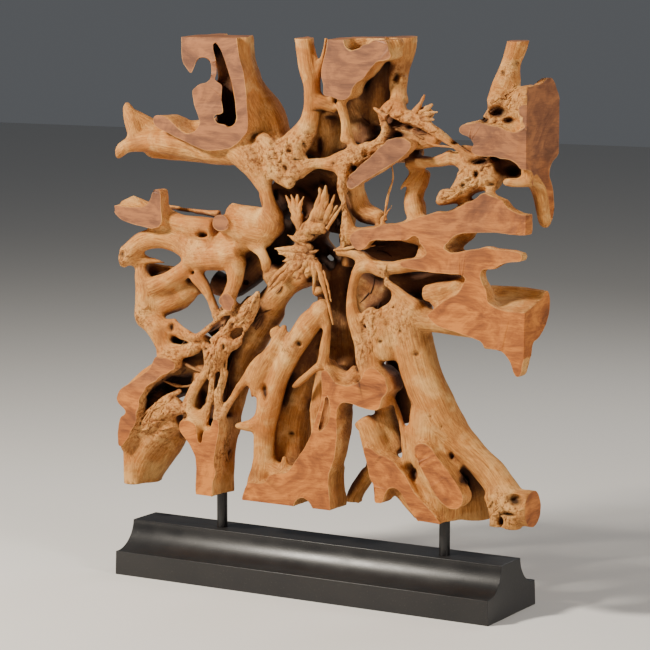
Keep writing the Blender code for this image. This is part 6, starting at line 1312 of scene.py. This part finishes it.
def keep_fibre_places(mesh, rows):
    """Each face takes its places from one root, so the fibres of two roots meet in a line."""
    points = coordinates(mesh)
    picked = nearest_rows(points, rows)
    corners = np.zeros(len(mesh.loops), np.int64)
    mesh.loops.foreach_get("vertex_index", corners)
    starts = np.zeros(len(mesh.polygons), np.int64)
    sizes = np.zeros(len(mesh.polygons), np.int64)
    mesh.polygons.foreach_get("loop_start", starts)
    mesh.polygons.foreach_get("loop_total", sizes)
    lead = np.zeros(len(corners), np.int64)
    for k in range(sizes.max()):
        has = sizes > k
        lead[starts[has] + k] = picked[corners[starts[has]]]
    own = picked[corners]
    rows_used = np.where(rows[own, 14] == rows[lead, 14], own, lead)
    places = places_in(points[corners], rows[rows_used])
    attribute = mesh.attributes.new("fibre", "FLOAT_VECTOR", "CORNER")
    attribute.data.foreach_set("vector", places.astype(np.float32).ravel())


def draw_splinters(root):
    """Short tapering splinters that lie on the wood along each ragged stretch."""
    tree = BVHTree.FromObject(root, bpy.context.evaluated_depsgraph_get())
    random = np.random.default_rng(SPLINTER_SEED)
    runs = []
    for (x0, z0), (x1, z1), wide, count, point, wander, longest in RAGGED:
        for _ in range(count):
            draw = random.random(8)
            x = x0 + (x1 - x0) * draw[0] + wide * (draw[1] - 0.5) * 2
            z = z0 + (z1 - z0) * draw[0] + wide * (draw[2] - 0.5) * 2
            way = radians(point + wander * (draw[3] - 0.5) * 2) + (pi if draw[4] > 0.5 else 0)
            length = longest * (SPLINTER_SHORT + (1 - SPLINTER_SHORT) * draw[5])
            thick = SPLINTER_THICK[0] + SPLINTER_THICK[1] * draw[6]
            bend = (draw[7] - 0.5) * SPLINTER_BEND
            spots = []
            for k in range(SPLINTER_STEPS + 1):
                far = length * k / SPLINTER_STEPS
                turn = way + bend * k / SPLINTER_STEPS
                spots.append((x + far * cos(turn), z + far * sin(turn)))
            runs.append(laid_on(tree, spots, thick))
    return [run for run in runs if run]


def laid_on(tree, spots, thick):
    """The run of one splinter: rooted in the wood where it starts, lifted off it at its tip."""
    run = []
    last = None
    for k, (x, z) in enumerate(spots):
        front = sighted(x, z, 0)
        ray = (front - SIGHT).normalized()
        start = front - ray * 0.03
        distance = tree.ray_cast(start, ray, 0.30)[3]
        if distance is None or (last is not None and abs(distance - last) > GAP_STEP):
            break
        last = distance
        share = k / SPLINTER_STEPS
        size = thick * (0.75 + share - 1.65 * share ** 2)
        lift = (0.8 * share - 0.35) * thick
        place = start + ray * (distance - lift * CM)
        if place.y < FRONT_Y + CLEAR_OF_SAW:
            break
        run.append((place.x, place.y, place.z, size * CM))
    return run if len(run) > 2 else None


def sighted_runs(table):
    """Each run of the table as eased spots in metres, thicker and thinner along its way."""
    runs = []
    for run in table.values():
        points = [(*sighted(x, z, depth), radius * CM) for x, z, depth, radius in run]
        spots = []
        for x, y, z, r in rounded(points, 3):
            r *= 1.0 + TWIG_GNARL[1] * even_noise(x, y, z, TWIG_GNARL[0])
            spots.append((x, max(y, FRONT_Y + r), z, r))
        runs.append(spots)
    return runs


def add_splinters(root):
    """The torn wood: fine splinters added to the root, each a thin tapering run."""
    runs = sighted_runs(TWIGS) + draw_splinters(root)
    bm = bmesh.new()
    bm.from_mesh(root.data)
    add_roots(bm, runs, 1)
    bm.to_mesh(root.data)
    bm.free()
    return runs


def make_root():
    runs = root_runs()
    rows = axis_rows(runs)
    bm = bmesh.new()
    add_roots(bm, runs, 4)
    add_faces(bm)
    add_side_faces(bm)
    bmesh.ops.remove_doubles(bm, verts=bm.verts, dist=MERGE)
    root = mesh_object("root_wood", bm)
    remeshed(root, JOIN_VOXEL, 1)
    cut_mouths(root)
    remeshed(root, FINE_VOXEL, SMOOTH_PASSES)
    keep_largest(root)
    weather(root, rows)
    thin_to(root, ROOT_TRIANGLES)
    boolean(root, sawn_block(), "INTERSECT")
    boolean(root, rod_hole(ROD_LEFT_X, BOTTOM_Z - CUT_OVER, ROD_TOP_LEFT + GAP), "DIFFERENCE")
    boolean(root, rod_hole(ROD_RIGHT_X, BOTTOM_Z - CUT_OVER, ROD_TOP_RIGHT + GAP), "DIFFERENCE")
    keep_largest(root)
    fine = add_splinters(root)
    rim_sawn_faces(root)
    fine_rows = axis_rows(fine)
    fine_rows[:, -1] += len(runs)
    rows = np.concatenate([rows, fine_rows])
    mesh = root.data
    shut = spread(mesh, enclosure(root), 2)
    points = coordinates(mesh)
    # Painted shade for walled-in wood and wood far behind the front, partly also darker inner wood
    keep_point_values(mesh, "inner", dark_wood_and_hollow_shade(shut, points))
    keep_point_values(mesh, "ragged", ragged_share(points))
    # Painted shade on the floors of the small holes
    keep_point_values(mesh, "pit_shade", pit_shade_marks(points))
    keep_point_values(mesh, "knobbly", np.clip(knobbly_share(points) / 3, 0, 1))
    keep_fibre_places(mesh, rows)
    return root


def base_profile():
    """Half of the end outline: plinth, hollow moulding, flat top."""
    half = BASE_WIDTH / 2
    top_half = BASE_TOP_WIDTH / 2
    inner = half - PLINTH_LEDGE
    rows = [(half, 0.0), (half, PLINTH_HEIGHT), (inner, PLINTH_HEIGHT)]
    reach = inner - top_half
    rise = BASE_HEIGHT - PLINTH_HEIGHT
    for i in range(1, COVE_STEPS):
        t = radians(90 * i / COVE_STEPS)
        rows.append((inner - reach * sin(t), PLINTH_HEIGHT + rise * (1 - cos(t))))
    rows.append((top_half, BASE_HEIGHT))
    return rows


def make_base():
    half = base_profile()
    profile = half + [(-y, z) for y, z in reversed(half)]
    bm = bmesh.new()
    end = bm.faces.new([bm.verts.new((-BASE_LENGTH / 2, y, z)) for y, z in profile])
    moved = bmesh.ops.extrude_face_region(bm, geom=[end], use_keep_orig=True)["geom"]
    bmesh.ops.translate(bm, vec=(BASE_LENGTH, 0, 0),
                        verts=[v for v in moved if isinstance(v, bmesh.types.BMVert)])
    lean = (BASE_LENGTH - BASE_TOP_LENGTH) / BASE_LENGTH / BASE_HEIGHT
    for vert in bm.verts:
        vert.co.x *= 1 - lean * vert.co.z
    bmesh.ops.recalc_face_normals(bm, faces=bm.faces)
    base = mesh_object("base_block", bm)
    for x in (ROD_LEFT_X, ROD_RIGHT_X):
        floor = BASE_HEIGHT - ROD_IN_BASE - GAP
        boolean(base, rod_hole(x, floor, BASE_HEIGHT + CUT_OVER), "DIFFERENCE", "EXACT")
    soften_edges(base, BASE_ROUND)
    return base


def soften_edges(obj, width):
    bm = bmesh.new()
    bm.from_mesh(obj.data)
    bmesh.ops.remove_doubles(bm, verts=bm.verts, dist=MERGE)
    sharp = [e for e in bm.edges if len(e.link_faces) == 2 and e.calc_face_angle() > radians(30)]
    bmesh.ops.bevel(bm, geom=sharp, offset=width, affect="EDGES", segments=3, profile=0.5,
                    material=-1, clamp_overlap=True)
    for face in bm.faces:
        face.smooth = face.calc_area() < 0.02
    bm.to_mesh(obj.data)
    bm.free()


def make_rod(name, x, top):
    bottom = BASE_HEIGHT - ROD_IN_BASE
    bm = bmesh.new()
    bmesh.ops.create_cone(bm, cap_ends=True, segments=ROD_SIDES, radius1=ROD_RADIUS,
                          radius2=ROD_RADIUS, depth=top - bottom,
                          matrix=Matrix.Translation((x, ROD_Y, (top + bottom) / 2)))
    rims = [e for e in bm.edges if e.calc_face_angle() > radians(45)]
    bmesh.ops.bevel(bm, geom=rims, offset=ROD_ROUND, affect="EDGES", segments=2, profile=0.5,
                    material=-1)
    for face in bm.faces:
        face.smooth = len(face.verts) == 4
    return mesh_object(name, bm)


def new_material(name):
    made = bpy.data.materials.new(name)
    made.use_nodes = True
    return made, made.node_tree, made.node_tree.nodes["Principled BSDF"]


def node(tree, kind, **values):
    made = tree.nodes.new(kind)
    for key, value in values.items():
        setattr(made, key, value)
    return made


def wire(tree, source, target):
    tree.links.new(source, target)


def noise_of(tree, vector, scale, detail=3.0, rough=0.55, warp=0.0):
    made = node(tree, "ShaderNodeTexNoise")
    made.inputs["Scale"].default_value = scale
    made.inputs["Detail"].default_value = detail
    made.inputs["Roughness"].default_value = rough
    made.inputs["Distortion"].default_value = warp
    wire(tree, vector, made.inputs["Vector"])
    return made.outputs["Fac"]


def ramp_of(tree, value, stops, mode="LINEAR"):
    made = node(tree, "ShaderNodeValToRGB")
    ramp = made.color_ramp
    ramp.interpolation = mode
    while len(ramp.elements) < len(stops):
        ramp.elements.new(0.5)
    for element, (place, colour) in zip(ramp.elements, stops):
        element.position = place
        grey = (colour, colour, colour)
        element.color = (*(colour if isinstance(colour, tuple) else grey), 1.0)
    wire(tree, value, made.inputs["Fac"])
    return made.outputs["Color"]


def span_of(tree, value, low, high, to_low=0.0, to_high=1.0):
    made = node(tree, "ShaderNodeMapRange", clamp=True)
    ends = {"From Min": low, "From Max": high, "To Min": to_low, "To Max": to_high}
    for key, number in ends.items():
        made.inputs[key].default_value = number
    wire(tree, value, made.inputs["Value"])
    return made.outputs["Result"]


def sum_of(tree, operation, a, b):
    made = node(tree, "ShaderNodeMath", operation=operation)
    for socket, value in zip(made.inputs, (a, b)):
        if isinstance(value, (int, float)):
            socket.default_value = value
        else:
            wire(tree, value, socket)
    return made.outputs["Value"]


def blend_of(tree, share, a, b, kind="MIX"):
    made = node(tree, "ShaderNodeMix", data_type="RGBA", blend_type=kind)
    for name, value in (("Factor", share), ("A", a), ("B", b)):
        socket = [s for s in made.inputs if s.name == name and s.enabled][0]
        if isinstance(value, tuple):
            socket.default_value = (*value, 1.0)
        elif isinstance(value, (int, float)):
            socket.default_value = value
        else:
            wire(tree, value, socket)
    return [s for s in made.outputs if s.enabled][0]


def stretched(tree, vector, scale):
    made = node(tree, "ShaderNodeMapping")
    made.inputs["Scale"].default_value = scale
    wire(tree, vector, made.inputs["Vector"])
    return made.outputs["Vector"]


def point_value(tree, name, output="Fac"):
    return node(tree, "ShaderNodeAttribute", attribute_name=name).outputs[output]


def bump_of(tree, height, distance, strength=1.0):
    made = node(tree, "ShaderNodeBump")
    made.inputs["Distance"].default_value = distance
    made.inputs["Strength"].default_value = strength
    wire(tree, height, made.inputs["Height"])
    return made


def weathered_skin(tree, grains, torn):
    """Honey and tan fibres with cream, orange and brown drifts, rougher where the wood is torn."""
    drift, patch, crumb = grains["drift"], grains["patch"], grains["crumb"]
    skin = ramp_of(tree, grains["strands"], SKIN)
    skin = blend_of(tree, span_of(tree, drift, 0.47, 0.66, 0.0, 0.8), skin, SKIN_ORANGE)
    skin = blend_of(tree, span_of(tree, patch, 0.50, 0.72, 0.0, 0.75), skin, SKIN_CREAM)
    skin = blend_of(tree, span_of(tree, patch, 0.46, 0.28, 0.0, 0.75), skin, SKIN_BROWN)
    skin = blend_of(tree, span_of(tree, grains["fine"], 0.30, 0.48, 0.45, 0.0), skin, SKIN_GROOVE)
    lit = sum_of(tree, "MULTIPLY", torn, span_of(tree, crumb, 0.42, 0.66, 0.0, 0.6))
    skin = blend_of(tree, lit, skin, TORN_LIGHT)
    dark = sum_of(tree, "MULTIPLY", torn, span_of(tree, crumb, 0.50, 0.34, 0.0, 0.9))
    return blend_of(tree, dark, skin, TORN_DARK)


def sawn_tone(tree, place):
    """The soft figure of the sawn faces: wide swirls with a fine level grain."""
    swirl = noise_of(tree, stretched(tree, place, (7, 7, 13)), 1.0, 5.0, 0.62, 2.2)
    grain = noise_of(tree, stretched(tree, place, (16, 16, 140)), 1.0, 4.0, 0.6, 1.6)
    return sum_of(tree, "ADD", sum_of(tree, "MULTIPLY", swirl, 0.72),
                  sum_of(tree, "MULTIPLY", grain, 0.28))


def sawn_wood(tree, place, grains, tone):
    """Grey-pink brown above, orange below and to the right, with a paler band at the outline."""
    split = node(tree, "ShaderNodeSeparateXYZ")
    wire(tree, place, split.inputs["Vector"])
    drifting = sum_of(tree, "MULTIPLY", grains["drift"], 0.7)
    height = sum_of(tree, "ADD", split.outputs["Z"], drifting)
    height = sum_of(tree, "SUBTRACT", height, sum_of(tree, "MULTIPLY", split.outputs["X"], 0.45))
    cut = blend_of(tree, span_of(tree, height, 0.92, 1.20), ramp_of(tree, tone, SAWN_ORANGE),
                   ramp_of(tree, tone, SAWN_PINK))
    # A paler band along the outline of each sawn face
    pale_rim = span_of(tree, grains["patch"], 0.38, 0.62, 0.10, 0.85)
    pale_rim = sum_of(tree, "MULTIPLY", point_value(tree, "rim"), pale_rim)
    cut = blend_of(tree, pale_rim, cut, SAWN_RIM_PALE)
    return blend_of(tree, span_of(tree, grains["crumb"], 0.66, 0.76, 0.0, 0.6), cut, SAWN_FLECK)


def hollow_wood_and_shade(tree, colour, crumb, natural):
    """Painted shade, dark red-brown and crumbly, inside the hollows and on the floors of the small
    holes; the red-brown is partly also the darker inner wood.
    """
    grit = sum_of(tree, "MULTIPLY", sum_of(tree, "SUBTRACT", crumb, 0.5), 0.25)
    depth = sum_of(tree, "ADD", point_value(tree, "inner"), grit)
    depth = sum_of(tree, "MULTIPLY", depth, natural)
    colour = blend_of(tree, span_of(tree, depth, 0.22, 0.46, 0.0, 0.93), colour, HOLLOW_BROWN_WOOD_AND_SHADE)
    colour = blend_of(tree, span_of(tree, depth, 0.46, 0.74, 0.0, 0.95), colour, HOLLOW_SHADE_BLACK)
    # Painted shade on the floors of the small holes, darker for deeper holes
    pit_shade = span_of(tree, point_value(tree, "pit_shade"), 0.15, 0.85, 0.0, 0.93)
    return blend_of(tree, pit_shade, colour, PIT_SHADE_BLACK)


def wood_relief(tree, grains, torn, natural, sawn):
    """Height of fibres and crumbs on the skin, and a faint tooth on the sawn faces."""
    raised = sum_of(tree, "ADD", sum_of(tree, "MULTIPLY", grains["strands"], 0.8),
                    sum_of(tree, "MULTIPLY", grains["fine"], 0.3))
    coarse = sum_of(tree, "ADD", sum_of(tree, "MULTIPLY", torn, 1.1), 0.25)
    raised = sum_of(tree, "ADD", raised, sum_of(tree, "MULTIPLY", grains["crumb"], coarse))
    tooth = sum_of(tree, "MULTIPLY", sum_of(tree, "MULTIPLY", grains["crumb"], sawn), 0.10)
    return sum_of(tree, "ADD", sum_of(tree, "MULTIPLY", raised, natural), tooth)


def teak_material():
    made, tree, shader = new_material("teak_root_wood")
    place = node(tree, "ShaderNodeTexCoord").outputs["Object"]
    fibre = point_value(tree, "fibre", "Vector")
    sawn = point_value(tree, "sawn")
    natural = sum_of(tree, "SUBTRACT", 1.0, sawn)
    torn = sum_of(tree, "MAXIMUM", point_value(tree, "knobbly"), point_value(tree, "ragged"))
    grains = {
        "strands": noise_of(tree, stretched(tree, fibre, (16, 260, 260)), 1.0, 5.0, 0.65),
        "fine": noise_of(tree, stretched(tree, fibre, (50, 800, 800)), 1.0, 3.0, 0.6),
        "drift": noise_of(tree, place, 5.0, 3.0, 0.6, 0.6),
        "patch": noise_of(tree, place, 17.0, 4.0, 0.65, 0.5),
        "crumb": noise_of(tree, place, 110.0, 4.0, 0.7),
    }
    tone = sawn_tone(tree, place)
    colour = blend_of(tree, sawn, weathered_skin(tree, grains, torn),
                      sawn_wood(tree, place, grains, tone))
    # Painted shade in the hollows and on the floors of the small holes
    colour = hollow_wood_and_shade(tree, colour, grains["crumb"], natural)
    wire(tree, colour, shader.inputs["Base Color"])
    rough = blend_of(tree, sawn, ramp_of(tree, grains["strands"], [(0.3, 0.82), (0.7, 0.64)]),
                     ramp_of(tree, tone, [(0.3, 0.62), (0.7, 0.50)]))
    wire(tree, rough, shader.inputs["Roughness"])
    shader.inputs["Specular IOR Level"].default_value = 0.28
    bump = bump_of(tree, wood_relief(tree, grains, torn, natural, sawn), 0.0042, 0.85)
    wire(tree, bump.outputs["Normal"], shader.inputs["Normal"])
    return made


def satin_group():
    """Cloud, wear, dust and grain of the black satin paint, shared by base and rods."""
    group = bpy.data.node_groups.new("black_satin_paint", "ShaderNodeTree")
    for name, kind, direction in (("Vector", "NodeSocketVector", "INPUT"),
                                  ("Wear", "NodeSocketFloat", "INPUT"),
                                  ("Sheen Low", "NodeSocketFloat", "INPUT"),
                                  ("Sheen High", "NodeSocketFloat", "INPUT"),
                                  ("Colour", "NodeSocketColor", "OUTPUT"),
                                  ("Roughness", "NodeSocketFloat", "OUTPUT"),
                                  ("Grain", "NodeSocketFloat", "OUTPUT")):
        group.interface.new_socket(name=name, in_out=direction, socket_type=kind)
    given = node(group, "NodeGroupInput").outputs
    result = node(group, "NodeGroupOutput").inputs
    cloud = noise_of(group, given["Vector"], 9.0, 4.0, 0.6)
    dust = noise_of(group, given["Vector"], 260.0, 2.0, 0.5)
    paint = ramp_of(group, cloud, SATIN_PAINT)
    specks = sum_of(group, "MULTIPLY", span_of(group, dust, 0.62, 0.78), given["Wear"])
    wire(group, blend_of(group, specks, paint, SATIN_DUST), result["Colour"])
    rough = node(group, "ShaderNodeMapRange", clamp=True)
    rough.inputs["From Min"].default_value = 0.3
    rough.inputs["From Max"].default_value = 0.7
    wire(group, cloud, rough.inputs["Value"])
    wire(group, given["Sheen Low"], rough.inputs["To Min"])
    wire(group, given["Sheen High"], rough.inputs["To Max"])
    wire(group, rough.outputs["Result"], result["Roughness"])
    wire(group, dust, result["Grain"])
    return group


def black_material(name, satin, roughness, wear):
    made, tree, shader = new_material(name)
    paint = node(tree, "ShaderNodeGroup", node_tree=satin)
    wire(tree, node(tree, "ShaderNodeTexCoord").outputs["Object"], paint.inputs["Vector"])
    paint.inputs["Wear"].default_value = wear
    paint.inputs["Sheen Low"].default_value = roughness + SATIN_SPREAD[0]
    paint.inputs["Sheen High"].default_value = roughness + SATIN_SPREAD[1]
    wire(tree, paint.outputs["Colour"], shader.inputs["Base Color"])
    wire(tree, paint.outputs["Roughness"], shader.inputs["Roughness"])
    bump = bump_of(tree, paint.outputs["Grain"], 0.0004, 0.4)
    wire(tree, bump.outputs["Normal"], shader.inputs["Normal"])
    return made


def dress(obj, made, slot, *replaced):
    obj.data.materials.clear()
    obj.data.materials.append(made)
    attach(obj, "root")
    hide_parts(*replaced)


def make_camera():
    data = bpy.data.cameras.new("viewpoint")
    data.lens = CAMERA_LENS
    data.sensor_width = 36.0
    data.sensor_fit = "HORIZONTAL"
    data.clip_end = 50.0
    camera = link(bpy.data.objects.new("viewpoint", data))
    camera.location = SIGHT
    camera.rotation_euler = (radians(90) - CAMERA_PITCH, 0, -CAMERA_HEADING)
    bpy.context.scene.camera = camera


def area_light(name, place, target, size, power, colour):
    data = bpy.data.lights.new(name, "AREA")
    data.shape = "DISK"
    data.size = size
    data.energy = power
    data.color = colour
    lamp = link(bpy.data.objects.new(name, data))
    lamp.location = place
    aim = Vector(target) - Vector(place)
    lamp.rotation_euler = aim.to_track_quat("-Z", "Y").to_euler()


def make_studio():
    bm = bmesh.new()
    bmesh.ops.create_grid(bm, x_segments=1, y_segments=1, size=FLOOR_SIZE)
    floor = mesh_object("studio_floor", bm)
    made, _, shader = new_material("studio_floor_paint")
    shader.inputs["Base Color"].default_value = FLOOR_PAINT
    shader.inputs["Roughness"].default_value = 0.9
    floor.data.materials.append(made)
    world = bpy.data.worlds.new("studio_air")
    world.use_nodes = True
    air = world.node_tree.nodes["Background"].inputs
    air["Color"].default_value = AIR
    air["Strength"].default_value = AIR_STRENGTH
    bpy.context.scene.world = world
    for lamp in LAMPS:
        area_light(*lamp)


clear_scene()
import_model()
make_camera()
make_studio()
root = make_root()
base = make_base()
rod_left = make_rod("rod_left_bar", ROD_LEFT_X, ROD_TOP_LEFT)
rod_right = make_rod("rod_right_bar", ROD_RIGHT_X, ROD_TOP_RIGHT)
dress(root, teak_material(), "teak", "teak_root")
satin = satin_group()
dress(base, black_material("black_satin_base", satin, 0.36, 0.5), "base_paint", "base")
dress(rod_left, black_material("black_satin_rod_left", satin, 0.40, 0.3),
      "rod_left_paint", "rod_left")
dress(rod_right, black_material("black_satin_rod_right", satin, 0.40, 0.3),
      "rod_right_paint", "rod_right")
